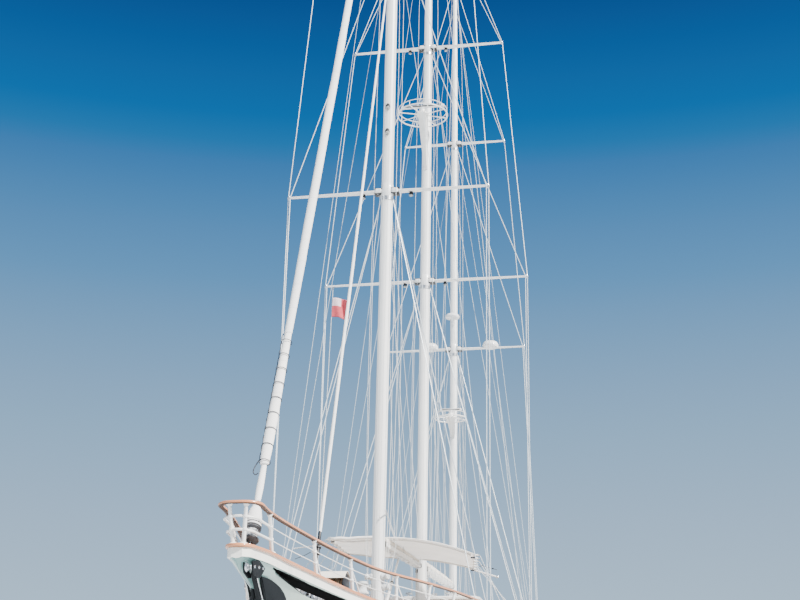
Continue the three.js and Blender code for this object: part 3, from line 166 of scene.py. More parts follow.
class Finish:
    """A material of this yacht: a Principled shader and the patterns that feed it."""

    def __init__(self, name, colour, roughness=0.5, metallic=0.0, **fixed):
        self.material = bpy.data.materials.new(name)
        self.material.use_nodes = True
        self.tree = self.material.node_tree
        self.shader = self.tree.nodes["Principled BSDF"]
        self.surface(Base_Color=self.colour(colour), Roughness=roughness, Metallic=metallic, **fixed)

    def colour(self, value):
        return (*value, 1.0) if isinstance(value, tuple) and len(value) == 3 else value

    def feed(self, socket, value):
        if isinstance(value, Signal):
            self.tree.links.new(value.socket, socket)
        else:
            socket.default_value = value

    def node(self, kind, settings, values, output=0):
        made = self.tree.nodes.new(kind)
        for key, value in settings.items():
            setattr(made, key, value)
        for key, value in values.items():
            self.feed(made.inputs[key], value)
        return Signal(self, made.outputs[output])

    def place(self, stretch=(1, 1, 1)):
        """Object coordinates, in model metres, with each axis multiplied."""
        here = self.node("ShaderNodeTexCoord", {}, {}, "Object")
        return self.node("ShaderNodeVectorMath", {"operation": "MULTIPLY"}, {0: here, 1: stretch})

    def grain(self, stretch=(1, 1, 1)):
        """Distance along and round a swept piece, in real metres, from its attribute."""
        here = self.node("ShaderNodeAttribute", {"attribute_name": "grain"}, {}, "Vector")
        return self.node("ShaderNodeVectorMath", {"operation": "MULTIPLY"}, {0: here, 1: stretch})

    def part(self, vector, axis):
        return self.node("ShaderNodeSeparateXYZ", {}, {0: vector}, axis)

    def noise(self, vector, scale, detail=3.0, roughness=0.55):
        values = {"Vector": vector, "Scale": scale, "Detail": detail, "Roughness": roughness}
        return self.node("ShaderNodeTexNoise", {}, values)

    def chance(self, value):
        return self.node("ShaderNodeTexWhiteNoise", {"noise_dimensions": "1D"}, {"W": value})

    def mix(self, share, first, second):
        values = {0: share, 6: self.colour(first), 7: self.colour(second)}
        return self.node("ShaderNodeMix", {"data_type": "RGBA"}, values, 2)

    def bump(self, height, strength, distance):
        return self.node("ShaderNodeBump", {},
                         {"Height": height, "Strength": strength, "Distance": distance})

    def surface(self, **values):
        for key, value in values.items():
            self.feed(self.shader.inputs[key.replace("_", " ")], value)
        return self.material


print("shader sums ready")

# %% [markdown]
# Paint on a yacht is sprayed, sanded and sprayed again. From near by it is never one flat white:
# salt dries on it in faint runs, and the surface undulates a little. Streaks are a noise that is stretched
# upwards, and the gloss is broken by a second, finer one.

# %% Paints
def paint(name, colour, shade, roughness=0.28, runs=(9, 9, 0.6), depth=0.12):
    finish = Finish(name, colour, roughness, Coat_Weight=0.35, Coat_Roughness=0.08)
    streak = finish.noise(finish.place(runs), 1.0, 5.0, 0.6).ramp(0.45, 0.75)
    cloud = finish.noise(finish.place(), 1.3, 3.0)
    soot = finish.noise(finish.place(), 60.0, 2.0)
    base = finish.mix(streak * 0.55 + cloud * 0.25, colour, shade)
    waves = finish.bump(cloud + soot * 0.04, depth, 0.01)
    return finish.surface(Base_Color=base, Roughness=roughness + soot * 0.12 + streak * 0.1, Normal=waves)


def topside_paint():
    """Pale sea-green topsides, with the dark bottom paint and boot-top that start at the water, and painted
    shade in dark teal towards the stem.
    """
    finish = Finish("topside_paint", (0.62, 0.72, 0.69), 0.2, Coat_Weight=0.6, Coat_Roughness=0.05)
    height = finish.part(finish.place(), "Z")
    cloud = finish.noise(finish.place((0.5, 1, 1)), 1.6, 4.0)
    runs = finish.noise(finish.place((7, 7, 0.4)), 1.0, 5.0, 0.6).ramp(0.5, 0.8)
    side = finish.mix(cloud * 0.5 + runs * 0.35, (0.40, 0.49, 0.43), (0.27, 0.37, 0.33))
    # Towards the stem the side is painted dark teal: painted shade and reflected water under the flare of
    # the bow.
    stem_shade = finish.part(finish.place(), "X").ramp(11.6, 13.2)
    side = finish.mix(stem_shade * (cloud * 0.6 + 0.35), side, (0.075, 0.26, 0.27))
    weed = finish.noise(finish.place(), 22.0, 5.0, 0.7)
    bottom = finish.mix(weed, (0.035, 0.05, 0.09), (0.06, 0.075, 0.10))
    under = height.below(0.045)
    boot = height.below(0.11) * height.above(0.06)
    colour = finish.mix(under, finish.mix(boot, side, (0.05, 0.07, 0.12)), bottom)
    dull = under * 0.5 + 0.18 + cloud * 0.06
    waves = finish.bump(cloud * 0.6 + under * weed * 0.3, 0.15, 0.02)
    return finish.surface(Base_Color=colour, Roughness=dull, Normal=waves)


mast_paint = paint("mast_paint", (0.86, 0.87, 0.86), (0.62, 0.65, 0.68))
gloss_paint = paint("gloss_paint", (0.84, 0.84, 0.82), (0.66, 0.67, 0.66), 0.22, (4, 4, 0.9))
strake_paint = paint("strake_paint", (0.86, 0.86, 0.80), (0.60, 0.62, 0.60), 0.25, (6, 6, 0.7))
house_paint = paint("house_paint", (0.82, 0.81, 0.77), (0.62, 0.62, 0.60), 0.3, (5, 5, 0.8))
deck_paint = paint("deck_paint", (0.70, 0.70, 0.66), (0.50, 0.50, 0.48), 0.6, (3, 3, 3), 0.3)
dome_paint = paint("dome_paint", (0.82, 0.83, 0.83), (0.60, 0.62, 0.66), 0.4, (5, 5, 1.5))
topsides = topside_paint()
print("paints mixed")

# %% [markdown]
# Teak is used in two ways. Varnished rails show long grain under a glossy coat. Deck planks are bare and
# silvered, 60 mm wide, with black caulking between them and a butt joint here and there.

# %% Woods
def varnished_teak():
    finish = Finish("varnished_teak", (0.42, 0.17, 0.07), 0.3, Coat_Weight=0.8, Coat_Roughness=0.12)
    lines = finish.noise(finish.grain((0.9, 34, 1)), 1.0, 6.0, 0.65)
    broad = finish.noise(finish.grain((0.35, 7, 1)), 1.0, 3.0)
    place = finish.part(finish.grain((1 / 3.4, 1, 1)), "X")
    board = finish.chance(place.whole())
    scarf = place.fraction().below(0.004)
    colour = finish.mix(lines.ramp(0.3, 0.75), (0.60, 0.22, 0.085), (0.33, 0.105, 0.035))
    colour = finish.mix(broad * 0.5 + board * 0.35, colour, (0.70, 0.29, 0.13))
    colour = finish.mix(scarf, colour, (0.06, 0.03, 0.02))
    fine = finish.bump(lines, 0.25, 0.002)
    return finish.surface(Base_Color=colour, Roughness=lines * 0.2 + 0.28, Normal=fine)


PLANK = 0.030        # model metres, 60 mm on the real deck
SEAM = 0.07          # share of a plank's width that is caulking


def planked_teak():
    finish = Finish("planked_teak", (0.42, 0.33, 0.24), 0.75)
    here = finish.place()
    across = finish.part(here, "Y") / PLANK
    row = across.whole()
    shade = finish.chance(row)
    along = finish.part(here, "X") / 1.1 + shade * 7.0
    butt = along.fraction().below(0.003)
    seam = across.fraction().below(SEAM)
    caulk = seam.math("MAXIMUM", seam, butt)
    lines = finish.noise(finish.place((3, 120, 3)), 1.0, 5.0, 0.6)
    piece_shade = finish.chance(along.whole() + row * 13.7)
    wood = finish.mix(piece_shade * 0.7 + lines * 0.3, (0.50, 0.38, 0.26), (0.33, 0.26, 0.19))
    wood = finish.mix(finish.noise(here, 2.0, 3.0).ramp(0.4, 0.8), wood, (0.42, 0.39, 0.35))
    colour = finish.mix(caulk, wood, (0.02, 0.02, 0.022))
    relief = finish.bump(lines * 0.3 - caulk, 0.5, 0.0015)
    return finish.surface(Base_Color=colour, Roughness=0.8 - caulk * 0.3, Normal=relief)


def joinery(name, light, dark):
    """Oiled wood for benches, lids and trim, its grain along the yacht; also the near-black painted shade
    under the top rail.
    """
    finish = Finish(name, light, 0.5)
    lines = finish.noise(finish.place((2.4, 60, 60)), 1.0, 6.0, 0.65)
    broad = finish.noise(finish.place((0.8, 9, 9)), 1.0, 3.0)
    board = finish.chance((finish.part(finish.place(), "Y") / 0.06).whole())
    colour = finish.mix(lines.ramp(0.3, 0.75), light, dark)
    colour = finish.mix(broad * 0.5 + board * 0.3, colour, tuple(value * 1.25 for value in light))
    return finish.surface(Base_Color=colour, Roughness=lines * 0.25 + 0.4,
                          Normal=finish.bump(lines, 0.25, 0.0015))


rail_teak = varnished_teak()
# Near-black wood for the downward faces of the top rail: painted shade under the rail.
rail_underside_shade = joinery("rail_underside_shade", (0.07, 0.030, 0.016), (0.04, 0.018, 0.010))
deck_teak = planked_teak()
joinery_teak = joinery("joinery_teak", (0.46, 0.25, 0.12), (0.27, 0.13, 0.055))
print("woods ready")

# %% [markdown]
# Metal fittings: polished stainless for rails and winches, rod rigging in a pale blue-grey that paints in
# the sky's reflection, black anodised blocks, bronze under water, and galvanised steel for the chain. The
# anchor is near black: painted shade, as it hangs under the bow.

# %% Metals
def metal(name, colour, roughness, brushed=(20, 20, 2), wear=0.25, metallic=1.0):
    finish = Finish(name, colour, roughness, metallic)
    hairs = finish.noise(finish.place(brushed), 6.0, 4.0, 0.7)
    spots = finish.noise(finish.place(), 25.0, 4.0, 0.6).ramp(0.5, 0.8)
    dark = tuple(value * 0.55 for value in colour)
    shade = finish.mix(spots * wear + hairs * 0.15, colour, dark)
    return finish.surface(Base_Color=shade, Roughness=roughness + hairs * 0.15 + spots * 0.15,
                          Normal=finish.bump(hairs, 0.08, 0.001))


steel = metal("polished_steel", (0.72, 0.74, 0.76), 0.16)
# The rod is pale blue-grey and only a quarter metallic: steel grey with a painted reflection of the sky.
rod_steel = metal("rod_rigging", (0.66, 0.73, 0.78), 0.32, (2, 2, 30), 0.12, 0.25)
anodised = metal("black_anodised", (0.030, 0.032, 0.036), 0.38, (30, 30, 30), 0.3, 0.6)
bronze = metal("bronze", (0.55, 0.33, 0.14), 0.3, (12, 12, 12), 0.4)
galvanised = metal("galvanised", (0.30, 0.33, 0.36), 0.5, (14, 14, 14), 0.6, 0.8)


def matt(material, level):
    """Take the mirror gloss off a dark finish."""
    material.node_tree.nodes["Principled BSDF"].inputs["Specular IOR Level"].default_value = level
    return material


# Near-black, matt steel for the anchor: painted shade, as the anchor hangs under the bow.
anchor_shade_black = matt(metal("anchor_shade_black", (0.006, 0.008, 0.010), 0.6, (14, 14, 14), 0.6, 0.0), 0.15)


def bottom_paint():
    finish = Finish("bottom_paint", (0.05, 0.06, 0.09), 0.7)
    weed = finish.noise(finish.place(), 18.0, 6.0, 0.7)
    patches = finish.noise(finish.place(), 3.0, 3.0).ramp(0.45, 0.7)
    colour = finish.mix(weed, (0.035, 0.05, 0.09), (0.07, 0.08, 0.10))
    colour = finish.mix(patches * 0.5, colour, (0.09, 0.11, 0.09))
    return finish.surface(Base_Color=colour, Roughness=0.6 + weed * 0.3,
                          Normal=finish.bump(weed, 0.4, 0.004))


keel_paint = bottom_paint()
print("metals ready")

# %% [markdown]
# Cloth: acrylic canvas for the awning and covers, a heavier laminate for the rolled sails, and a light
# bunting for the flag. A weave is two crossed waves; panels are sewn with a double line of thread.

# %% Cloths
def canvas(name, light, dark, panel, weave=900.0, seam_axis="X", roughness=0.9, glow=0.0):
    """Sewn cloth; glow is the share of light that passes through it."""
    finish = Finish(name, light, roughness, Sheen_Weight=0.25, Sheen_Roughness=0.6, Subsurface_Weight=glow,
                    Subsurface_Radius=(1, 1, 1), Subsurface_Scale=0.02)
    run = finish.grain()
    along = finish.part(run, "X")
    around = finish.part(run, "Y")
    warp = (along * weave).wave()
    weft = (around * weave).wave()
    place = (along if seam_axis == "X" else around) / panel
    edge = place.fraction()
    seam = edge.below(0.035)
    thread = edge.above(0.012) * edge.below(0.017) + edge.above(0.026) * edge.below(0.031)
    stain = finish.noise(finish.grain((0.6, 0.6, 1)), 1.2, 5.0, 0.6)
    crease = finish.noise(finish.grain((1.2, 4, 1)), 1.4, 4.0, 0.55)
    colour = finish.mix(stain.ramp(0.35, 0.8) * 0.55 + seam * 0.25, light, dark)
    colour = finish.mix(thread * 0.35, colour, tuple(value * 0.45 for value in dark))
    height = warp * weft * 0.08 + seam * 0.6 + crease * 1.2 - thread * 0.4
    return finish.surface(Base_Color=colour, Roughness=roughness - crease * 0.1,
                          Normal=finish.bump(height, 0.35, 0.004))


awning_canvas = canvas("awning_canvas", (0.88, 0.86, 0.82), (0.70, 0.68, 0.64), 1.5, glow=0.9)
cover_canvas = canvas("cover_canvas", (0.82, 0.77, 0.69), (0.60, 0.56, 0.50), 1.3)
sail_laminate = canvas("sail_laminate", (0.80, 0.81, 0.80), (0.56, 0.60, 0.64), 0.9, 500.0)
sleeve_canvas = canvas("sleeve_canvas", (0.86, 0.86, 0.84), (0.62, 0.65, 0.68), 1.1, 700.0)
seat_canvas = canvas("seat_canvas", (0.76, 0.71, 0.62), (0.58, 0.53, 0.46), 0.62, 700.0)
hem_webbing = canvas("hem_webbing", (0.93, 0.92, 0.88), (0.80, 0.79, 0.75), 5.0)
strap_webbing = canvas("strap_webbing", (0.05, 0.055, 0.065), (0.02, 0.022, 0.026), 4.0, 1500.0)


BUNTING_WEAVE = 900.0


def bunting():
    """Red cloth with a pale square by the halyard; the pattern follows the cloth's own attribute."""
    finish = Finish("red_bunting", (0.55, 0.06, 0.07), 0.85, Sheen_Weight=0.2)
    run = finish.grain()
    along = finish.part(run, "X")
    around = finish.part(run, "Y")
    canton = along.below(0.46) * around.below(0.42)
    fade = finish.noise(finish.grain((2, 2, 1)), 2.0, 3.0)
    red = finish.mix(fade, (0.62, 0.08, 0.10), (0.42, 0.04, 0.06))
    weave = (along * BUNTING_WEAVE).wave()
    return finish.surface(Base_Color=finish.mix(canton * 0.85, red, (0.70, 0.62, 0.66)),
                          Normal=finish.bump(weave * 0.1 + fade, 0.3, 0.003))


flag_bunting = bunting()


def braid(name, light, dark):
    """Rope: slanting strands, from the distance along and round the line."""
    finish = Finish(name, light, 0.8)
    run = finish.grain()
    slant = finish.part(run, "X") * 60.0 + finish.part(run, "Y") * 90.0
    strands = slant.wave()
    return finish.surface(Base_Color=finish.mix(strands.ramp(-0.6, 0.8), dark, light),
                          Normal=finish.bump(strands, 0.4, 0.001))


white_rope = braid("white_rope", (0.78, 0.80, 0.80), (0.50, 0.53, 0.55))
dark_rope = braid("dark_rope", (0.06, 0.065, 0.08), (0.02, 0.02, 0.03))
brown_rope = braid("brown_rope", (0.34, 0.24, 0.15), (0.16, 0.10, 0.06))
print("cloths and ropes ready")

# %% [markdown]
# Glass is tinted and glossy. The helm console is a dark moulding with a fine stipple, and lamp lenses
# are plain acrylic.

# %% Glass and mouldings
def tinted_glass(name, colour, transmission):
    finish = Finish(name, colour, 0.05, Transmission_Weight=transmission, IOR=1.45, Coat_Weight=0.5)
    smear = finish.noise(finish.place((1, 1, 3)), 6.0, 4.0).ramp(0.5, 0.9)
    tint = finish.mix(smear * 0.3, colour, tuple(value * 0.6 + 0.05 for value in colour))
    return finish.surface(Base_Color=tint, Roughness=0.04 + smear * 0.12)


def moulding(name, colour, roughness=0.5):
    finish = Finish(name, colour, roughness)
    stipple = finish.noise(finish.place(), 260.0, 2.0)
    worn = finish.noise(finish.place(), 9.0, 4.0).ramp(0.55, 0.85)
    tint = finish.mix(worn * 0.4, colour, tuple(value * 1.6 + 0.02 for value in colour))
    return finish.surface(Base_Color=tint, Roughness=roughness + worn * 0.2,
                          Normal=finish.bump(stipple, 0.25, 0.001))


window_glass = tinted_glass("window_glass", (0.08, 0.11, 0.13), 0.55)
lamp_glass = tinted_glass("lamp_glass", (0.75, 0.78, 0.78), 0.6)
console_moulding = moulding("console_moulding", (0.030, 0.032, 0.036))
black_rubber = matt(moulding("black_rubber", (0.006, 0.007, 0.008), 0.8), 0.1)
print("glass and mouldings ready")

# %% [markdown]
# Shapes are drawn in a bmesh, in real metres. A swept piece, such as a rail or a mast, is a ring of
# edges that is extruded on to the next ring again and again. Each point remembers how far along and
# round the sweep it lies, in an attribute named grain, so wood and cloth patterns can follow the sweep.

# %% Modelling helpers
def fresh():
    bm = bmesh.new()
    bm.verts.layers.float_vector.new("grain")
    return bm


def joined(shape):
    """Makes a shape in a small bmesh of its own, which is quick, and adds it to the larger one."""
    def make(bm, *sizes, **settings):
        part = fresh()
        shape(part, *sizes, **settings)
        scrap = bpy.data.meshes.new("part")
        part.to_mesh(scrap)
        part.free()
        bm.from_mesh(scrap)
        bpy.data.meshes.remove(scrap)
    return make


@joined
def loft(bm, rings, closed=True, capped=True, finish=0):
    """Skin through rings of points, extruded from each ring to the next. finish is a number or a rule."""
    grain = bm.verts.layers.float_vector["grain"]
    points = [Vector(point) for point in rings[0]]
    ring = [bm.verts.new(point) for point in points]
    around = [0.0]
    for a, b in zip(points, points[1:]):
        around.append(around[-1] + (b - a).length)
    column = {}
    for i, vert in enumerate(ring):
        vert[grain] = (0, around[i], 0)
        column[vert] = i
    edges = [bm.edges.new(pair) for pair in zip(ring, ring[1:])]
    if closed:
        edges.append(bm.edges.new((ring[-1], ring[0])))
    first, along, faces = list(edges), 0.0, []
    for before, after in zip(rings, rings[1:]):
        made = bmesh.ops.extrude_edge_only(bm, edges=edges)["geom"]
        new = {item for item in made if isinstance(item, bmesh.types.BMVert)}
        edges = [item for item in made
                 if isinstance(item, bmesh.types.BMEdge) and new.issuperset(item.verts)]
        ring = [next(edge.other_vert(vert) for edge in vert.link_edges if edge.other_vert(vert) in new)
                for vert in ring]
        along += sum((Vector(b) - Vector(a)).length for a, b in zip(before, after)) / len(before)
        for i, (vert, point) in enumerate(zip(ring, after)):
            vert.co = point
            vert[grain] = (along, around[i], 0)
            column[vert] = i
        faces += [item for item in made if isinstance(item, bmesh.types.BMFace)]
    rule = finish if callable(finish) else lambda columns: finish
    for face in faces:
        face.material_index = rule(sorted({column[vert] for vert in face.verts}))
    if capped:
        for ends in (first, edges):
            for face in bmesh.ops.edgeloop_fill(bm, edges=ends)["faces"]:
                face.material_index = rule([0, 1])


def circle(centre, radius, sides, right=X_AXIS, ahead=Y_AXIS):
    centre = Vector(centre)
    turns = [2 * math.pi * i / sides for i in range(sides)]
    return [centre + right * (radius * math.cos(turn)) + ahead * (radius * math.sin(turn))
            for turn in turns]


def tube(bm, path, radius, sides=8, finish=0, capped=True):
    """Round bar along a path; radius may be a list with one value for each point."""
    path = [Vector(point) for point in path]
    radii = radius if isinstance(radius, list) else [radius] * len(path)
    side, rings = None, []
    for i, point in enumerate(path):
        along = (path[min(i + 1, len(path) - 1)] - path[max(i - 1, 0)]).normalized()
        if side is None:
            side = along.orthogonal().normalized()
        side = (side - along * side.dot(along)).normalized()
        rings.append(circle(point, radii[i], sides, side, along.cross(side)))
    loft(bm, rings, True, capped, finish)


def hoop(bm, centre, radius, thick, axis=UP, sides=8, steps=32, finish=0):
    """Ring of round bar about an axis."""
    right = Vector(axis).orthogonal().normalized()
    ahead = Vector(axis).normalized().cross(right)
    path = circle(centre, radius, steps, right, ahead)
    tube(bm, path + path[:2], thick, sides, finish, False)


@joined
def rod(bm, start, end, radius, sides=12, finish=0):
    """Straight round bar between two points."""
    start, end = Vector(start), Vector(end)
    turn = (end - start).to_track_quat("Z", "Y").to_matrix().to_4x4()
    bmesh.ops.create_cone(bm, cap_ends=True, segments=sides, radius1=radius, radius2=radius,
                          depth=(end - start).length, matrix=Matrix.Translation((start + end) / 2) @ turn)
    for face in bm.faces:
        face.material_index = finish


@joined
def block(bm, centre, size, soft=0.015, finish=0, segments=2, turn=None):
    """Box with rounded edges; turn is a rotation about its centre."""
    turned = turn.to_4x4() if turn else Matrix.Identity(4)
    place = Matrix.Translation(centre) @ turned @ Matrix.Diagonal((*size, 1))
    bmesh.ops.create_cube(bm, size=1, matrix=place)
    soft = min(soft, min(size) * 0.45)
    bmesh.ops.bevel(bm, geom=bm.edges[:], offset=soft, affect="EDGES", segments=segments, profile=0.5,
                    material=-1)
    for face in bm.faces:
        face.material_index = finish


@joined
def spun(bm, profile, centre, axis=UP, steps=24, finish=0):
    """Turned shape: profile is a list of radius and distance along the axis."""
    turn = Vector(axis).to_track_quat("Z", "Y").to_matrix()
    centre = Vector(centre)
    verts = [bm.verts.new(centre + turn @ Vector((radius, 0, height))) for radius, height in profile]
    edges = [bm.edges.new(pair) for pair in zip(verts, verts[1:])]
    bmesh.ops.spin(bm, geom=verts + edges, cent=centre, axis=turn @ UP, angle=2 * math.pi, steps=steps,
                   use_merge=True, dvec=(0, 0, 0))
    for face in bm.faces:
        face.material_index = finish


def place(name, bm, finishes, slot, rides="yacht", stands_for=(), tidy=True, edge=38):
    """Turns a bmesh into a piece of the yacht at the model's scale."""
    if tidy:
        bmesh.ops.remove_doubles(bm, verts=bm.verts, dist=0.0005)
        bmesh.ops.recalc_face_normals(bm, faces=bm.faces)
    bmesh.ops.scale(bm, vec=(MODEL_SCALE, MODEL_SCALE, MODEL_SCALE), verts=bm.verts)
    mesh = bpy.data.meshes.new(name)
    bm.to_mesh(mesh)
    bm.free()
    mesh.shade_smooth()
    mesh.set_sharp_from_angle(angle=math.radians(edge))
    for finish in finishes:
        mesh.materials.append(finish)
    piece = bpy.data.objects.new(name, mesh)
    bpy.context.scene.collection.objects.link(piece)
    if rides:
        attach(piece, rides)
    if stands_for:
        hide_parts(*stands_for)
    print(name, len(mesh.polygons), "faces on", rides)
    return piece


def dress(finish, *nodes):
    """Gives CAD parts a finish."""
    for node in nodes:
        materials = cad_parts[node].data.materials
        materials.clear()
        materials.append(finish)


def smoothed(points, steps=4):
    """Catmull-Rom curve through points."""
    points = [Vector(point) for point in points]
    out = []
    for i in range(len(points) - 1):
        a = points[max(i - 1, 0)]
        b, c = points[i], points[i + 1]
        d = points[min(i + 2, len(points) - 1)]
        for k in range(steps):
            t = k / steps
            square, cube = 2 * a - 5 * b + 4 * c - d, 3 * b - a - 3 * c + d
            out.append(0.5 * (2 * b + (c - a) * t + square * t * t + cube * t ** 3))
    return out + [points[-1]]


def sagging(start, end, sag, steps=12):
    """Line that hangs a little between two points."""
    start, end = Vector(start), Vector(end)
    spans = [i / steps for i in range(steps + 1)]
    return [start.lerp(end, t) - UP * (sag * 4 * t * (1 - t)) for t in spans]


def rounded_section(width, height, radius, steps=3):
    """Outline of a rounded bar: distance outwards and upwards."""
    out = []
    corners = [(1, -1, -90), (1, 1, 0), (-1, 1, 90), (-1, -1, 180)]
    for across, up, start in corners:
        for k in range(steps + 1):
            turn = math.radians(start + 90 * k / steps)
            out.append((across * (width / 2 - radius) + radius * math.cos(turn),
                        up * (height / 2 - radius) + radius * math.sin(turn)))
    return out


def swept(bm, path, section):
    """Bar with an upright section along a path on the plan."""
    rings = []
    for i, point in enumerate(path):
        before, after = path[max(i - 1, 0)], path[min(i + 1, len(path) - 1)]
        side = Vector((-(after.y - before.y), after.x - before.x, 0)).normalized()
        rings.append([point + side * out + UP * up for out, up in section])
    loft(bm, rings)


def on_side(point, side, up=0.0):
    """The point itself to port (side 1), or its mirror image to starboard (-1), raised a little."""
    return Vector((point[0], side * point[1], point[2] + up))


def heading(turn):
    """Level direction, turned from the bow towards port."""
    return Vector((math.cos(turn), math.sin(turn), 0))


def evaluated(piece):
    """A mesh of the piece as its modifiers leave it."""
    return bpy.data.meshes.new_from_object(piece.evaluated_get(bpy.context.evaluated_depsgraph_get()))


def thicken(piece, name, thickness):
    """Gives a sheet the thickness of its cloth, half on each side."""
    modifier = piece.modifiers.new(name, "SOLIDIFY")
    modifier.thickness = thickness
    modifier.offset = 0


print("modelling helpers ready")

# %% [markdown]
# The hull's lines are the same table as in the CAD part: half-breadth, height of the cap, bottom,
# fullness and depth of the deck well at nineteen stations. A curve with no overshoot joins them.

# %% Hull lines
BREADTH, CAP, BOTTOM, FULL, WELL = range(1, 6)
BULWARK = 0.13
BAND = 0.26
CAMBER = 0.12
CAP_WIDTH = 0.25
CAP_HEIGHT = 0.08
CAP_INSET = 0.065
BOW_DECK_END = 26.20
STERN = -25.20
HULL = [
    (26.80, 0.13, 4.68, 4.40, 0.30, 0.25), (26.62, 0.27, 4.69, 4.30, 0.30, 0.25),
    (26.25, 0.33, 4.69, 4.10, 0.30, 0.25), (25.93, 0.38, 4.69, 4.01, 0.28, 0.27),
    (24.43, 0.59, 4.62, 3.66, 0.24, 0.42), (22.43, 1.02, 4.46, 2.60, 0.20, 0.58),
    (20.90, 1.40, 4.32, 1.30, 0.22, 0.60), (19.00, 1.92, 4.20, -0.20, 0.30, 0.60),
    (16.70, 2.66, 4.10, -1.35, 0.45, 0.60), (13.50, 3.48, 4.04, -2.00, 0.62, 0.60),
    (9.70, 4.14, 4.01, -2.30, 0.80, 0.60), (5.00, 4.64, 3.98, -2.45, 0.92, 0.60),
    (0.00, 4.93, 3.98, -2.50, 1.00, 0.60), (-6.00, 4.91, 3.99, -2.45, 1.00, 0.60),
    (-12.00, 4.63, 4.02, -2.05, 0.95, 0.60), (-17.00, 4.22, 4.08, -1.30, 0.85, 0.60),
    (-21.00, 3.78, 4.14, -0.35, 0.75, 0.60), (-24.20, 3.25, 4.20, 0.55, 0.70, 0.60),
    (-25.20, 3.05, 4.22, 0.90, 0.70, 0.60),
]
RAIL_BREADTH, RAIL_HEIGHT = 1, 2
RAIL = [
    (26.93, 0.00, 5.64), (26.88, 0.28, 5.64), (26.68, 0.45, 5.62), (25.93, 0.50, 5.55),
    (24.43, 0.70, 5.44), (22.43, 1.06, 5.30), (20.90, 1.40, 5.19), (19.00, 1.90, 5.09),
    (16.70, 2.72, 5.05), (13.50, 3.53, 5.03), (9.70, 4.16, 4.96), (5.00, 4.66, 4.88),
    (0.00, 4.95, 4.86), (-6.00, 4.93, 4.87), (-12.00, 4.65, 4.90),
    (-17.00, 4.24, 4.96), (-21.00, 3.80, 5.02), (-24.20, 3.27, 5.08), (-25.10, 3.02, 5.10),
    (-25.26, 2.60, 5.10), (-25.26, 0.00, 5.10),
]
POSTS = [25.95, 23.2, 20.95, 18.2, 16.2, 14.3, 12.5, 10.1, 7.7, 5.3, 2.9, 0.5, -1.9, -4.3, -6.7,
         -9.1, -11.5, -13.9, -16.3, -18.7, -21.1, -23.3, -24.9]
MID_RAILS = [0.36, 0.68]


def fair(rows, x, column):
    """Smooth value of a table's column at x, with no overshoot between its rows."""
    if x >= rows[0][0]:
        return rows[0][column]
    if x <= rows[-1][0]:
        return rows[-1][column]
    i = next(k for k, row in enumerate(rows) if row[0] < x) - 1

    def step(k):
        return (rows[k + 1][column] - rows[k][column]) / (rows[k + 1][0] - rows[k][0])

    def slope(k):
        if k == 0:
            return step(0)
        if k == len(rows) - 1:
            return step(k - 1)
        before, after = step(k - 1), step(k)
        return 0 if before * after <= 0 else 2 * before * after / (before + after)

    span = rows[i + 1][0] - rows[i][0]
    t = (x - rows[i][0]) / span
    start = rows[i][column] * (1 + 2 * t) * (1 - t) ** 2 + span * slope(i) * t * (1 - t) ** 2
    return start + rows[i + 1][column] * t * t * (3 - 2 * t) - span * slope(i + 1) * t * t * (1 - t)


def hull(x, column):
    return fair(HULL, x, column)


def half_breadth(x, z):
    knuckle = hull(x, CAP) - BAND
    if z >= knuckle:
        return hull(x, BREADTH)
    t = max(0.0, (z - hull(x, BOTTOM)) / (knuckle - hull(x, BOTTOM)))
    rounded = (1 - (1 - t) ** 2.6) ** (1 / 2.2)
    return (hull(x, BREADTH) - 0.03) * ((1 - hull(x, FULL)) * t ** 1.15 + hull(x, FULL) * rounded)


def deck_edge(x):
    """Half-breadth and height of the deck where it meets the bulwark."""
    height = hull(x, CAP) - hull(x, WELL)
    return min(half_breadth(x, height), hull(x, BREADTH)) - BULWARK, height


def deck(x, y=0.0):
    inner, height = deck_edge(x)
    return height + CAMBER * inner / 5 * (1 - min(abs(y) / inner, 1) ** 2)


print("beam at amidships", round(2 * hull(0, BREADTH), 2), "m; deck there", round(deck(0), 2),
      "m above the water")

# %% [markdown]
# The hull is one closed shell: up the topsides from the keel, over a small step at the knuckle to the
# white strake, along the top of the bulwark, down its inside and across the deck. Each station is a
# closed ring of edges and the shell grows from bow to stern. Two long slots for mooring lines are cut
# out of the bow with a Boolean, the one place where taking away is easier than drawing round a hole.

# %% Hull shell
LEVELS = [0, 0.012, 0.03, 0.06, 0.1, 0.15, 0.21, 0.28, 0.36, 0.45, 0.55, 0.66, 0.77, 0.88, 1.0]
DECK_SHARES = [0.97, 0.7, 0.35]
SLOT = [(25.2, 0.03), (22.9, 0.27), (19.9, 0.29)]      # place along the yacht and height
SLOT_BELOW = 0.015      # between the strake and the top of a slot
CUT_TRIES = 12
CUT_NUDGE = 1e-5        # model metres, between one try and the next


def slot_top(x):
    return hull(x, CAP) - BAND - SLOT_BELOW


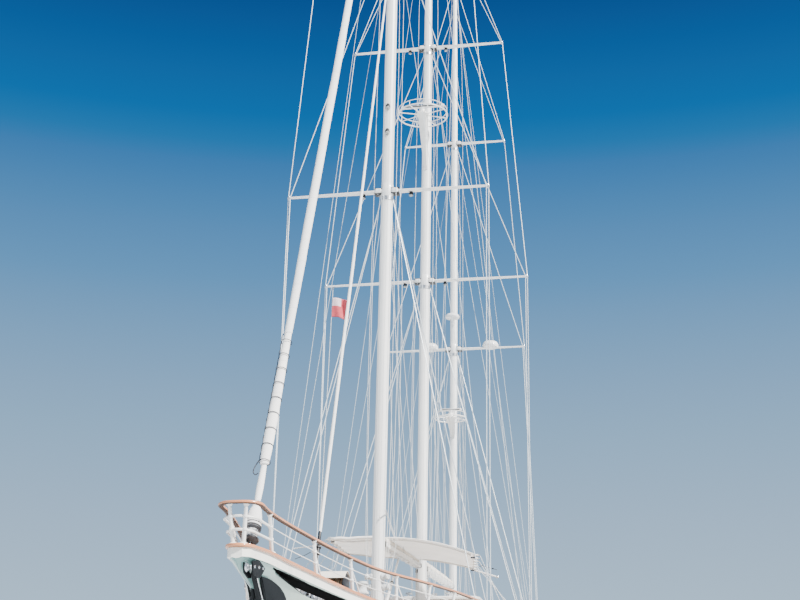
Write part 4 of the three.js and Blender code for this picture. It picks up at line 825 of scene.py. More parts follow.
def hull_ring(x, well):
    cap, bottom, breadth = hull(x, CAP), hull(x, BOTTOM), hull(x, BREADTH)
    knuckle, top = cap - BAND, cap - CAP_HEIGHT / 2 - 0.002
    heights = [bottom + level * (knuckle - bottom) for level in LEVELS]
    side = [(x, half_breadth(x, z - 1e-6), z) for z in heights]
    side += [(x, breadth, knuckle + 0.012), (x, breadth, top)]
    if well:
        inner, height = deck_edge(x)
        side += [(x, breadth - BULWARK, top), (x, inner, height + 0.03),
                 (x, inner * DECK_SHARES[0], deck(x, inner))]
        side += [(x, inner * share, deck(x, inner * share)) for share in DECK_SHARES[1:]]
        middle = (x, 0, deck(x))
    else:
        flat = [breadth - BULWARK, breadth - BULWARK - 0.01] + [(breadth - BULWARK) * s
                                                                for s in (0.95, 0.7, 0.35)]
        side += [(x, y, top) for y in flat]
        middle = (x, 0, top)
    side[0] = (x, 0, bottom)
    return side + [middle] + [(x, -y, z) for _, y, z in reversed(side[1:])]


def hull_finish(columns):
    low = min(columns)
    half = len(LEVELS) + 8
    low = low if low < half else 2 * half - low - 1
    if columns[0] == 0 and columns[-1] > 2:
        low = 0
    return 0 if low < len(LEVELS) else (2 if low >= len(LEVELS) + 3 else 1)


def stations(front, back, count):
    return [front + (back - front) * i / count for i in range(count + 1)]


shell = fresh()
forward = [26.8, 26.78, 26.74, 26.68, 26.6, 26.5, 26.38, BOW_DECK_END + 0.002]
well = stations(BOW_DECK_END, 20, 26) + stations(19.6, STERN + BULWARK + 0.002, 62)
rings = [hull_ring(x, False) for x in forward] + [hull_ring(x, True) for x in well]
rings += [hull_ring(x, False) for x in (STERN + BULWARK, STERN)]
loft(shell, rings, finish=hull_finish)
for face in shell.faces:
    middle = face.calc_center_median()
    if middle.x > 26.79 and middle.z > hull(26.8, CAP) - BAND:
        face.material_index = 1
hull_finishes = [topsides, strake_paint, deck_paint, black_rubber]
hull_shell = place("hull_shell", shell, hull_finishes, "hull_paint", stands_for=["hull"], edge=30)

# Black rubber plates line the slots behind the bulwark: a dark sheet that paints the shade inside the
# slots.
shade_lining = fresh()
for side in (1, -1):
    for low in (0, 1):
        rings = []
        for x, height in SLOT:
            edge = slot_top(x) - low * height
            outer = side * (half_breadth(x, edge) - 0.015)
            inner = outer - side * min(0.55, abs(outer) - 0.04)
            sunk = edge - 0.006 if low else edge + 0.006
            rings.append([(x, outer, edge), (x, inner, edge), (x, inner, sunk), (x, outer, sunk)])
        loft(shade_lining, rings)
    for k in range(3):
        x = 20.05 + 0.35 * k
        top = slot_top(x)
        wall = side * (half_breadth(x, top) - 0.08)
        rod(shade_lining, (x, wall, top), (x, wall, top - 0.28), 0.035, 16, 1)
place("slot_shade_lining", shade_lining, [black_rubber, steel], "dark_metal")

cutter = fresh()
for side in (1, -1):
    rings = []
    for x, height in SLOT:
        top = slot_top(x)
        inner, outer = side * 0.3, side * (hull(x, BREADTH) + 0.3)
        rings.append([(x, inner, top), (x, outer, top), (x, outer, top - height), (x, inner, top - height)])
    # The cutter's faces are black rubber, and the cut leaves them on the walls of the slots: painted shade
    # inside the slots.
    loft(cutter, rings, finish=3)
cutter_piece = place("slot_cutter", cutter, hull_finishes, "hull_paint")


def enclosed(mesh):
    """The volume inside a closed mesh, negative where it is inside out."""
    shape = bmesh.new()
    shape.from_mesh(mesh)
    volume = shape.calc_volume(signed=True)
    shape.free()
    return volume


def carve(piece, tool):
    """Boolean difference, applied at once; the tool is thrown away.

    Now and then a solver mistakes the inside of the hull, so the volume that is left is measured,
    and the other solver cuts again if need be.
    """
    whole, taken = enclosed(piece.data), enclosed(tool.data)
    for attempt in range(CUT_TRIES):
        modifier = piece.modifiers.new("slots", "BOOLEAN")
        modifier.operation = "DIFFERENCE"
        modifier.solver = "FAST" if attempt % 2 == 0 else "EXACT"
        modifier.object = tool
        carved = evaluated(piece)
        piece.modifiers.clear()
        left = enclosed(carved)
        print("cut", attempt + 1, "leaves", round(left, 3), "of", round(whole, 3), "cubic metres")
        if whole - taken < left < whole:
            break
        tool.data.transform(Matrix.Translation((0, 0, CUT_NUDGE)))
    piece.data = carved
    bpy.data.objects.remove(tool)
    print("slots cut:", len(carved.polygons), "faces left")


carve(hull_shell, cutter_piece)

# %% [markdown]
# The deck's teak is laid as one slab that stands 22 mm proud. It stops short of the bulwark and leaves a
# painted waterway. Its planks are in the finish; the slab's own edge and the margin are geometry.

# %% Teak deck
WATERWAY = 0.14
TEAK = 0.022


def deck_ring(x):
    inner = deck_edge(x)[0] - WATERWAY
    across = [inner * share for share in (1, 0.75, 0.5, 0.25, 0, -0.25, -0.5, -0.75, -1)]
    top = [(x, y, deck(x, y) + TEAK) for y in across]
    return top + [(x, y, deck(x, y) - 0.01) for y in reversed(across)]


planks = fresh()
loft(planks, [deck_ring(x) for x in stations(26.0, -24.9, 90)])
place("teak_deck", planks, [deck_teak], "teak")

# %% [markdown]
# Caps and top rails are varnished teak with rounded corners. A rounded section is swept round the whole
# hull in one piece, from the middle of the stern by way of the nose, so there is no seam at the bow.

# %% Caps and rails
def all_round(side_path):
    """A path down the port side, carried on round the starboard side."""
    port = smoothed(side_path, 3)
    starboard = [on_side(point, -1) for point in reversed(port)]
    return starboard[:-1] + port


def cap_line():
    places = [26.52, 26.25, 25.9, 25.4] + stations(24.9, -24.8, 46)
    side = [(x, hull(x, BREADTH) - CAP_INSET, hull(x, CAP)) for x in places]
    nose = [(26.77, 0, 4.69), (26.75, 0.08, 4.69), (26.68, 0.16, 4.69)]
    stern = [(-25.0, 2.93, 4.219), (-25.1, 2.75, 4.22), (-25.14, 2.4, 4.22), (-25.14, 0, 4.22)]
    return nose + side + stern


def rail_line():
    places = [26.3, 25.93, 25.2] + stations(24.43, -24.6, 40)
    side = [(x, fair(RAIL, x, RAIL_BREADTH), fair(RAIL, x, RAIL_HEIGHT)) for x in places]
    nose = [(26.93, 0, 5.64), (26.92, 0.16, 5.64), (26.85, 0.33, 5.64), (26.68, 0.47, 5.62)]
    stern = [(-25.05, 3.0, 5.10), (-25.2, 2.82, 5.10), (-25.26, 2.55, 5.10), (-25.26, 0, 5.10)]
    return nose + side + stern


caps = fresh()
swept(caps, all_round(cap_line()), rounded_section(CAP_WIDTH, CAP_HEIGHT, 0.03))
place("teak_caps", caps, [rail_teak], "teak", stands_for=["cap_rail_port", "cap_rail_starboard"])
rails = fresh()
swept(rails, all_round(rail_line()), rounded_section(0.13, 0.075, 0.032))
bmesh.ops.recalc_face_normals(rails, faces=rails.faces)
# Faces of the top rail that point down take the near-black wood: painted shade under the rail.
for face in rails.faces:
    face.material_index = 1 if face.normal.z < -0.5 else 0
place("teak_top_rails", rails, [rail_teak, rail_underside_shade], "teak",
      stands_for=["top_rail_port", "top_rail_starboard"])

# %% [markdown]
# White posts carry the top rail. Each is a slightly tapered tube with a flange on the cap, a pad under
# the rail and a ferrule where a mid rail passes. Braces steady the tall ones at the bow.

# %% Railing
POST = 0.05


def railing_point(x, part):
    foot = Vector((x, hull(x, BREADTH) - CAP_INSET, hull(x, CAP)))
    head = Vector((x, fair(RAIL, x, RAIL_BREADTH), fair(RAIL, x, RAIL_HEIGHT)))
    return foot.lerp(head, part)


def post(bm, foot, head):
    foot, head = Vector(foot) + UP * 0.035, Vector(head) - UP * 0.03
    tube(bm, [foot, foot.lerp(head, 0.5), head], [POST, POST * 0.94, POST * 0.82], 14)
    spun(bm, [(0, 0), (0.095, 0), (0.095, 0.012), (0.065, 0.03), (POST, 0.045)], foot, head - foot, 18)
    spun(bm, [(POST, -0.05), (0.07, -0.02), (0.075, -0.005), (0, -0.005)], head, head - foot, 18)
    for part in MID_RAILS:
        middle = foot.lerp(head, part)
        spun(bm, [(0, -0.035), (0.05, -0.032), (0.062, -0.018), (0.062, 0.018), (0.05, 0.032), (0, 0.035)],
             middle, head - foot, 14)


railing = fresh()
for x in POSTS:
    lean = 0.07 * max(x - 16.7, 0)
    for side in (1, -1):
        post(railing, on_side(railing_point(x - lean, 0), side), on_side(railing_point(x, 1), side))
for y in (1.2, -1.2):
    post(railing, (-25.14, y, 4.22), (-25.26, y, 5.10))
for y in (0.2, -0.2):
    post(railing, (26.70, y * 0.6, 4.70), (26.88, y, 5.64))
for part in MID_RAILS:
    nose_height = 4.70 + 0.94 * part
    stern_height = 4.22 + 0.88 * part
    front = 26.78 + 0.1 * part
    nose = [(front, 0, nose_height), (front - 0.02, 0.1, nose_height)]
    pulpit = [railing_point(x, part) for x in (26.62, 26.4, 26.1, 25.7, 25.42 + 0.5 * part)]
    tube(railing, all_round(nose + pulpit), 0.03, 12)
    side = [railing_point(x, part) for x in stations(25.42 + 0.5 * part, -24.6, 44)]
    stern = [(-25.0, 3.0, stern_height), (-25.15, 2.8, stern_height), (-25.2, 2.5, stern_height),
             (-25.2, 0, stern_height)]
    tube(railing, all_round((side + stern)[::-1]), 0.012, 8)
for x in (23.2, 20.95, 18.2):
    for side in (1, -1):
        head, foot = railing_point(x, 0.8), railing_point(x - 0.75, 0)
        tube(railing, [on_side(head, side), on_side(foot, side, 0.04)], 0.02, 8)
        spun(railing, [(0, 0.03), (0.05, 0.03), (0.05, 0.05), (0, 0.06)], on_side(foot, side), UP, 14)
place("railing", railing, [gloss_paint], "white_paint", stands_for=["railing_port", "railing_starboard"])

# %% [markdown]
# Masts are slightly tapering tubes that lean aft. The rings of a mast stay level and shift aft with height,
# as the CAD part's do. On each go a sail track, deck collar, winches, the gooseneck's lugs, two pairs of
# winged spreaders with their root brackets, and the crane at the head; the fore and main masts carry lamps,
# and the mizzen carries aerial domes.

# %% Mast lines
MAST_DATUM = 3.5
LOWER_SPREADER, UPPER_SPREADER, MASTHEAD = 21.7, 35.3, 47.2


class Mast:
    def __init__(self, name, x, rake, foot, head, top, lower, upper, vang):
        self.name, self.x, self.rake, self.vang = name, x, math.tan(math.radians(rake)), vang
        self.foot, self.head, self.top, self.lower, self.upper = foot, head, top, lower, upper

    def axis(self, z, y=0.0):
        return Vector((self.x - (z - MAST_DATUM) * self.rake, y, z))

    def radius(self, z):
        return self.foot + (self.head - self.foot) * max(0.0, (z - 30) / (self.top - 30))

    def on(self, z, turn):
        """Point on the tube: turn 0 faces the bow and 90 faces port."""
        return self.axis(z) + heading(math.radians(turn)) * self.radius(z)

    def spreaders(self):
        return [(LOWER_SPREADER, self.lower), (UPPER_SPREADER, self.upper)]


FORE = Mast("fore", 9.69, 3.7, 0.235, 0.13, 48.2, 4.11, 3.30, 2.8)
MAIN = Mast("main", -0.64, 4.3, 0.235, 0.13, 48.2, 4.93, 3.91, 0.72)
MIZZEN = Mast("mizzen", -11.60, 4.9, 0.205, 0.12, 47.6, 3.98, 3.03, 1.9)
MASTS = [FORE, MAIN, MIZZEN]
print("mastheads at x =", [round(mast.axis(mast.top).x, 2) for mast in MASTS])

# %% [markdown]
# A spreader is a wing: an aerofoil section, thick and broad at the mast, that tapers to a rounded tip
# with a cup for the wire. It is swept from tip to tip through the mast as one bar.

# %% Spreaders
WING = [(1.0, 0.0), (0.86, 0.42), (0.55, 0.82), (0.1, 1.0), (-0.4, 0.75), (-0.8, 0.32), (-1.0, 0.0),
        (-0.8, -0.32), (-0.4, -0.75), (0.1, -1.0), (0.55, -0.82), (0.86, -0.42)]


def spreader(bm, mast, z, half):
    spans = [(-1, 0.3), (-0.995, 0.75), (-0.97, 1), (-0.6, 1.35), (-0.15, 1.8), (0, 1.9), (0.15, 1.8),
             (0.6, 1.35), (0.97, 1), (0.995, 0.75), (1, 0.3)]
    axis = mast.axis(z)
    rings = []
    for share, size in spans:
        chord, thick = 0.1 * size, 0.038 * size
        rings.append([axis + Vector((a * chord, share * half, b * thick)) for a, b in WING])
    loft(bm, rings)
    for side in (1, -1):
        tip = axis + Vector((0, side * (half + 0.01), 0))
        spun(bm, [(0, -0.09), (0.04, -0.08), (0.055, -0.03), (0.055, 0.03), (0.04, 0.08), (0, 0.09)], tip,
             UP, 12, 2)
        root = axis + Vector((0, side * (mast.radius(z) + 0.1), 0))
        block(bm, root, (0.46, 0.26, 0.2), 0.05)
        for bolt in (-0.13, 0.13):
            rod(bm, root + Vector((bolt, 0.03 * side, -0.13)), root + Vector((bolt, 0.03 * side, 0.13)),
                0.022, 8, 2)
        for plate in (0.11, -0.11):
            block(bm, root + UP * plate, (0.36, 0.34, 0.025), 0.01, 1)


def winch(bm, base, axis, size=1.0):
    """Drum winch with its waist, jaws and socket."""
    profile = [(0, 0), (0.17, 0), (0.17, 0.04), (0.13, 0.07), (0.115, 0.12), (0.11, 0.17), (0.125, 0.22),
               (0.15, 0.24), (0.15, 0.265), (0.12, 0.275), (0.12, 0.3), (0.03, 0.305), (0.03, 0.295),
               (0, 0.295)]
    spun(bm, [(radius * size, height * size) for radius, height in profile], base, axis, 24, 2)


def lamp(bm, place, axis, size=1.0):
    spun(bm, [(0, 0), (0.07 * size, 0), (0.08 * size, 0.05 * size), (0.08 * size, 0.14 * size)], place,
         axis, 16, 1)
    glow = Vector(place) + Vector(axis).normalized() * 0.14 * size
    spun(bm, [(0.08 * size, 0), (0.06 * size, 0.04 * size), (0, 0.055 * size)], glow, axis, 16, 3)


def build_mast(mast, boom_height, boom_depth):
    bm = fresh()
    foot = deck(mast.x)
    heights = [foot - 0.2] + stations(foot, 30, 12)[1:] + stations(30, mast.top, 9)[1:]
    loft(bm, [circle(mast.axis(z), mast.radius(z), 40) for z in heights])
    track = []
    for z in stations(boom_height + 0.9, mast.top - 0.6, 20):
        back = mast.axis(z) - Vector((mast.radius(z) - 0.01, 0, 0))
        track.append([back + Vector((-a, b, 0))
                      for a, b in ((0, -0.035), (0.045, -0.035), (0.045, 0.035), (0, 0.035))])
    loft(bm, track, finish=2)
    for z, half in mast.spreaders():
        spreader(bm, mast, z, half)
        loft(bm, [circle(mast.axis(level), mast.radius(level) + grow, 40)
                  for level, grow in ((z - 0.32, 0.004), (z - 0.3, 0.016), (z + 0.3, 0.016),
                                      (z + 0.32, 0.004))])
    for z, tall in ((LOWER_SPREADER - 0.35, 0.16), (UPPER_SPREADER - 0.4, 0.14), (MASTHEAD, 0.22)):
        loft(bm, [circle(mast.axis(level), mast.radius(level) + 0.03, 32)
                  for level in (z - tall / 2, z + tall / 2)], finish=2)
    spun(bm, [(mast.foot, 0.3), (mast.foot + 0.03, 0.27), (mast.foot + 0.05, 0.1), (mast.foot + 0.11, 0.05),
              (mast.foot + 0.13, -0.1)], mast.axis(foot), UP, 40)
    for side in (90, -90):
        base = mast.on(foot + 1.35, side)
        out = Vector((0, math.copysign(1, side), 0))
        rod(bm, base - out * 0.08, base + out * 0.05, 0.16, 24, 1)
        winch(bm, base + out * 0.05, out, 0.95)
        for turn in (side - 32, side + 32):
            for z in (foot + 0.75, foot + 1.0):
                cleat(bm, mast.on(z, turn), turn)
    head = mast.axis(mast.top)
    spun(bm, [(0, -0.05), (mast.head + 0.05, -0.05), (mast.head + 0.05, 0.07), (0, 0.07)], head, UP, 32)
    for ahead in (1, -1):
        arm = head + Vector((ahead * 0.24, 0, -0.12))
        block(bm, arm, (0.34, 0.09, 0.14), 0.03)
        rod(bm, arm + Vector((ahead * 0.1, -0.05, -0.02)), arm + Vector((ahead * 0.1, 0.05, -0.02)), 0.07,
            20, 2)
    gooseneck(bm, mast, boom_height + 0.35 * boom_depth)
    vang_lug(bm, mast, boom_height)
    return bm


def cleat(bm, place, turn):
    """Horned cleat on a mast."""
    out = heading(math.radians(turn))
    middle = Vector(place) + out * 0.07
    tube(bm, [middle - UP * 0.15, middle - UP * 0.07, middle + UP * 0.07, middle + UP * 0.15],
         [0.012, 0.022, 0.022, 0.012], 8, 2)
    for up in (-0.04, 0.04):
        rod(bm, Vector(place) - out * 0.02 + UP * up, middle + UP * up, 0.018, 8, 2)


GOOSENECK_REACH, PIN, LUG_HALF = 0.2, 0.045, 0.13


def gooseneck_place(mast, z):
    return mast.axis(z) - Vector((mast.radius(z) + GOOSENECK_REACH, 0, 0))


def gooseneck(bm, mast, z):
    """Two forged lugs and the upright pin that the boom turns on."""
    pin = gooseneck_place(mast, z)
    for side in (1, -1):
        height = side * (LUG_HALF + 0.0016 + 0.025)
        block(bm, pin + Vector((0.085, 0, height)), (0.31, 0.14, 0.05), 0.012, 2)
    rod(bm, pin - UP * (LUG_HALF + 0.05), pin + UP * (LUG_HALF + 0.05), PIN, 20, 2)
    block(bm, pin + Vector((GOOSENECK_REACH - 0.01, 0, 0)), (0.04, 0.2, 0.62), 0.012, 2)


def vang_lug(bm, mast, boom_height):
    """Bracket for the foot of the strut that holds the boom down, right below the gooseneck."""
    z = boom_height - mast.vang
    pin = gooseneck_place(mast, boom_height + 0.15)
    pin.z = z
    reach = mast.axis(z).x - pin.x
    for side in (0.07, -0.07):
        block(bm, ((mast.axis(z).x + pin.x) / 2, 0, z + side), (reach + 0.1, 0.12, 0.03), 0.01, 2)
    rod(bm, pin - UP * 0.12, pin + UP * 0.12, 0.028, 14, 2)


BOOMS = [
    {"mast": FORE, "height": 7.30, "rise": 0.38, "end": 0.10, "depth": 0.40, "width": 0.34,
     "body": "fore_boom"},
    {"mast": MAIN, "height": 7.75, "rise": 0.35, "end": -11.15, "depth": 0.46, "width": 0.36,
     "body": "main_boom"},
    {"mast": MIZZEN, "height": 7.70, "rise": 0.40, "end": -22.20, "depth": 0.46, "width": 0.36,
     "body": "mizzen_boom"},
]
MAST_FINISHES = [mast_paint, anodised, steel, lamp_glass, dome_paint]


def dome(bm, place, radius, height):
    """Flat satellite aerial cover with its seam and foot."""
    profile = [(0, -0.03), (radius * 0.55, -0.03), (radius * 0.6, 0), (radius * 0.92, 0.03),
               (radius, height * 0.3), (radius * 1.01, height * 0.36), (radius, height * 0.4),
               (radius * 0.97, height * 0.55), (radius * 0.82, height * 0.82),
               (radius * 0.5, height * 0.97), (0, height)]
    spun(bm, profile, place, UP, 40, 4)


for boom in BOOMS:
    mast = boom["mast"]
    bm = build_mast(mast, boom["height"], boom["depth"])
    if mast is FORE:
        for z in (24.4, 25.6):
            lamp(bm, mast.on(z, 0) + Vector((0.06, 0, 0.05)), (0.5, 0, -1), 1.3)
            block(bm, mast.on(z, 0) + Vector((0.03, 0, 0.08)), (0.14, 0.1, 0.12), 0.02, 1)
    if mast is not MIZZEN:
        for z, _ in mast.spreaders():
            for side in (1, -1):
                lamp(bm, mast.axis(z, side * (mast.radius(z) + 0.75)) - UP * 0.05, (0, 0, -1), 1.1)
    else:
        for y in (-1.35, 2.1):
            dome(bm, mast.axis(LOWER_SPREADER, y), 0.45, 0.4)
        high = mast.axis(23.2) + Vector((mast.foot + 0.42, 0, 0))
        block(bm, mast.axis(23.15) + Vector((0.35, 0, 0)), (0.7, 0.1, 0.1), 0.02)
        rod(bm, high - UP * 0.1, high + UP * 0.2, 0.07, 20)
        dome(bm, high + UP * 0.18, 0.4, 0.3)
    place(mast.name + "_mast_dressed", bm, MAST_FINISHES, "white_paint", stands_for=[mast.name + "_mast"])

# %% [markdown]
# Standing rigging is stainless rod, 34 mm across. On each side one rod climbs
# from the cap over both spreader tips to the masthead; a second runs beside it to the lower tip and
# crosses in to the mast; two more go straight to the mast at the lower spreaders. Each ends in a
# bottle screw, whose two threaded ends and slotted body are turned shapes.

# %% Standing rigging
WIRE = 0.017
SHROUD_INSET = 0.16


def chainplate(x, side, shift=0.0):
    return Vector((x, side * (hull(x, BREADTH) - SHROUD_INSET - shift), hull(x, CAP)))


def bottle_screw(bm, foot, towards):
    axis = (Vector(towards) - Vector(foot)).normalized()
    profile = [(0, 0.04), (0.02, 0.04), (0.02, 0.14), (0.036, 0.16), (0.042, 0.2), (0.042, 0.26),
               (0.028, 0.3), (0.028, 0.5), (0.042, 0.54), (0.042, 0.6), (0.034, 0.64), (WIRE, 0.68),
               (WIRE, 0.75), (0, 0.75)]
    spun(bm, profile, foot, axis, 14)
    across = axis.cross(X_AXIS).normalized()
    for side in (0.026, -0.026):
        block(bm, Vector(foot) + across * side + axis * 0.05, (0.07, 0.016, 0.16), 0.006)
    rod(bm, Vector(foot) + axis * 0.08 - across * 0.05, Vector(foot) + axis * 0.08 + across * 0.05, 0.017,
        10)


def shroud(bm, points, radius=WIRE, screw=True):
    if screw:
        bottle_screw(bm, points[0], points[1])
    for start, end in zip(points, points[1:]):
        rod(bm, start, end, radius, 8)
    for joint in points[1:-1]:
        spun(bm, [(0, -0.05), (0.034, -0.04), (0.034, 0.04), (0, 0.05)], joint, UP, 10)


def build_rigging(mast):
    bm = fresh()
    for side in (1, -1):
        lower_tip = mast.axis(LOWER_SPREADER, side * (mast.lower + 0.04))
        upper_tip = mast.axis(UPPER_SPREADER, side * (mast.upper + 0.04))
        masthead = mast.axis(MASTHEAD, side * mast.radius(MASTHEAD))
        shroud(bm, [chainplate(mast.x - 0.25, side), lower_tip, upper_tip, masthead])
        inner_tip = lower_tip + Vector((0.05, -side * 0.09, 0))
        middle = mast.axis(UPPER_SPREADER - 0.4, side * mast.radius(UPPER_SPREADER))
        shroud(bm, [chainplate(mast.x + 0.1, side, 0.05), inner_tip, middle])
        shroud(bm, [upper_tip + Vector((0.04, -side * 0.06, 0)),
                    mast.axis(MASTHEAD - 2.2, side * mast.radius(45))],
               0.014, False)
        for shift in (0.95, -0.8):
            top = mast.axis(LOWER_SPREADER - 0.35, side * (mast.foot + 0.01))
            shroud(bm, [chainplate(mast.x + shift, side), top])
    if mast is MIZZEN:
        for side in (1, -1):
            head = mast.axis(MASTHEAD) - Vector((mast.radius(MASTHEAD), -side * 0.04, 0))
            shroud(bm, [chainplate(-24.6, side), head])
    return bm


for mast in MASTS:
    nodes = [mast.name + "_lower_shrouds"]
    nodes += ["fore_cap_shroud_port",
              "fore_cap_shroud_starboard"] if mast is FORE else [mast.name + "_cap_shrouds"]
    place(mast.name + "_rigging", build_rigging(mast), [rod_steel], "steel", stands_for=nodes)

# %% [markdown]
# Running rigging beside the masts is thin and slightly slack: halyards from the crane and the spreaders
# to the foot of each mast, and runners that are brought forward to the shrouds while the sails are
# stowed. The triatic stays join the mastheads.

# %% Halyards, runners and triatic stays
def build_halyards(mast):
    bm = fresh()
    foot = deck(mast.x)
    for k, (turn, top, out) in enumerate([(14, 47.0, 0.16), (-14, 47.0, 0.13), (75, 46.6, 0.42),
                                          (-75, 46.6, 0.36), (150, 46.9, 0.10), (-150, 34.9, 0.12),
                                          (60, 35.0, 0.25), (-60, 21.5, 0.28), (110, 21.4, 0.5)]):
        low = mast.on(foot + 0.9 + 0.06 * k, turn)
        high = mast.on(top, turn)
        away = heading(math.radians(turn))
        path = sagging(low + away * 0.05, high + away * 0.06, 0, 14)
        for i, point in enumerate(path):
            t = i / 14
            path[i] = point + away * (out * min(1, 6 * t, 6 * (1 - t)) * 0.8)
        tube(bm, path, 0.009, 6)
    return bm


for mast in MASTS:
    place(mast.name + "_halyards", build_halyards(mast), [white_rope], "steel")

runners = fresh()
for mast, plate in ((FORE, 8.3), (MAIN, -2.2), (MIZZEN, -13.2)):
    for side in (1, -1):
        for top in (34.7, 46.4):
            high = mast.axis(top) + Vector((-0.6 * mast.radius(top), side * mast.radius(top) * 0.8, 0))
            low = chainplate(plate + (0.12 if top > 40 else 0), side)
            tube(runners, sagging(low + UP * 0.1, high, 0.05, 8), 0.009, 6)
            block(runners, low + UP * 0.12, (0.06, 0.09, 0.2), 0.02, 1)
place("runners", runners, [rod_steel, anodised], "steel")

for name, front, back in (("triatic_stay_fore_main", FORE, MAIN),
                          ("triatic_stay_main_mizzen", MAIN, MIZZEN)):
    stay = fresh()
    high = front.axis(MASTHEAD + 0.35) - Vector((front.radius(MASTHEAD), 0, 0))
    low = back.axis(MASTHEAD + (0.35 if back is MAIN else -0.15))
    low += Vector((back.radius(MASTHEAD), 0, 0))
    rod(stay, high, low, WIRE, 10)
    for end, way in ((high, low - high), (low, high - low)):
        spun(stay, [(0, 0), (0.05, 0.01), (0.05, 0.16), (0.03, 0.3), (WIRE, 0.42)], end, way, 12)
    place(name + "_dressed", stay, [rod_steel], "steel", stands_for=[name])

# %% [markdown]
# The furled jib is a sail rolled round its stay: a long tube whose skin has one spiralling edge where
# the last layer ends. At the bottom the sail ends in a laced cover, a smooth sleeve and the white cone of
# its tack, and the furling drum hangs from two straps and a chain over the stem.

# %% Furled headsails
JIB_TACK, JIB_HEAD = Vector((25.96, 0, 4.5)), FORE.axis(MASTHEAD)
STAYSAIL_TACK, STAYSAIL_HEAD = Vector((19.70, 0, 3.7)), FORE.axis(UPPER_SPREADER - 0.5)


def on_stay(tack, head, z):
    return tack + (head - tack) * ((z - tack.z) / (head.z - tack.z))


def rolled(bm, tack, head, bottom, top, radius, finish=0, lap=0.07, pitch=1.25, sides=28):
    """Rolled sail: each ring is a spiral step, and the step turns slowly up the stay."""
    rings = []
    heights = stations(bottom, top, int((top - bottom) / 0.32))
    for z in heights:
        t = (z - bottom) / (top - bottom)
        size = radius * (0.82 + 0.18 * min(1, 9 * t)) * (1 - 0.32 * t ** 2)
        size *= 1 + 0.03 * noise.noise(Vector((z * 0.8, radius * 40, 0)))
        centre = on_stay(tack, head, z)
        ring = []
        for i in range(sides):
            share = (i / sides + z / pitch * 0.25) % 1.0
            angle = 2 * math.pi * i / sides
            reach = size * (1 + lap * (share - 0.5))
            ring.append(centre + Vector((math.cos(angle) * reach, math.sin(angle) * reach, 0)))
        rings.append(ring)
    loft(bm, rings, finish=finish)


def on_jib(z):
    return on_stay(JIB_TACK, JIB_HEAD, z)


def on_staysail(z):
    return on_stay(STAYSAIL_TACK, STAYSAIL_HEAD, z)


jib = fresh()
SLEEVE = [5.95, 6.95, 11.0]
rolled(jib, JIB_TACK, JIB_HEAD, SLEEVE[2] - 0.1, MASTHEAD - 1.4, 0.128, 0)
rolled(jib, JIB_TACK, JIB_HEAD, SLEEVE[1], SLEEVE[2], 0.137, 1, 0.03)
rolled(jib, JIB_TACK, JIB_HEAD, SLEEVE[0], SLEEVE[1] + 0.05, 0.09, 1, 0.0)
tube(jib, [on_jib(MASTHEAD - 1.45), on_jib(MASTHEAD - 0.15)], WIRE, 10, 2)
spun(jib, [(0.06, 0), (0.10, 0.03), (0.10, 0.22), (0.06, 0.27), (0.05, 0.5), (0, 0.5)],
     on_jib(MASTHEAD - 1.5), JIB_HEAD - JIB_TACK, 20, 2)
place("jib_rolled", jib, [sail_laminate, sleeve_canvas, rod_steel], "cloth", stands_for=["jib_furled"])

lacing = fresh()
LACING_TURNS = 30
zigzag = []
for k in range(LACING_TURNS + 1):
    z = SLEEVE[1] + 0.1 + (SLEEVE[2] - SLEEVE[1] - 0.2) * k / LACING_TURNS
    angle = math.radians(-68 if k % 2 else -100)
    zigzag.append(on_jib(z) + heading(angle) * 0.145)
tube(lacing, zigzag, 0.012, 6)
for k in range(9):
    z = SLEEVE[1] + 0.05 + k * (SLEEVE[2] - SLEEVE[1]) / 9
    hoop(lacing, on_jib(z), 0.14, 0.011, JIB_HEAD - JIB_TACK, 6, 20)
loop = [on_jib(z) + Vector((0.02, y, 0)) for z, y in
        ((7.05, -0.145), (6.9, -0.21), (6.75, -0.24), (6.66, -0.18), (6.7, -0.1))]
tube(lacing, smoothed(loop, 4), 0.014, 6)
place("jib_lacing", lacing, [dark_rope], "dark_metal")

furler = fresh()
axis = (JIB_HEAD - JIB_TACK).normalized()
tube(furler, [JIB_TACK - axis * 0.1, on_jib(6.15)], 0.045, 14)
spun(furler, [(0.045, -0.18), (0.2, -0.17), (0.21, -0.14), (0.19, -0.12), (0.14, -0.09), (0.14, 0.09),
              (0.19, 0.12), (0.21, 0.14), (0.2, 0.17), (0.045, 0.18)], on_jib(5.1), axis, 32, 2)
spun(furler, [(0.11, -0.02), (0.19, 0.0), (0.2, 0.05), (0.19, 0.2), (0.14, 0.46), (0.105, 0.52),
              (0.1, 0.64), (0.07, 0.66)],
     on_jib(5.3), axis, 32, 1)
for y in (0.075, -0.075):
    block(furler, JIB_TACK + Vector((0.01, y, -0.12)), (0.2, 0.02, 0.5), 0.008, 2)
rod(furler, JIB_TACK + Vector((0.02, -0.12, 0.05)), JIB_TACK + Vector((0.02, 0.12, 0.05)), 0.03, 16)
for k in range(3):
    z = 5.28 + 0.07 * k
    hoop(furler, on_jib(z), 0.2, 0.012, axis, 6, 24, 2)
for k in range(12):
    z = 4.98 + 0.016 * k
    hoop(furler, on_jib(z + 0.03), 0.145, 0.009, axis, 6, 20, 3)
place("jib_furler_dressed", furler, [steel, sleeve_canvas, strap_webbing, white_rope], "steel",
      stands_for=["jib_furler"])

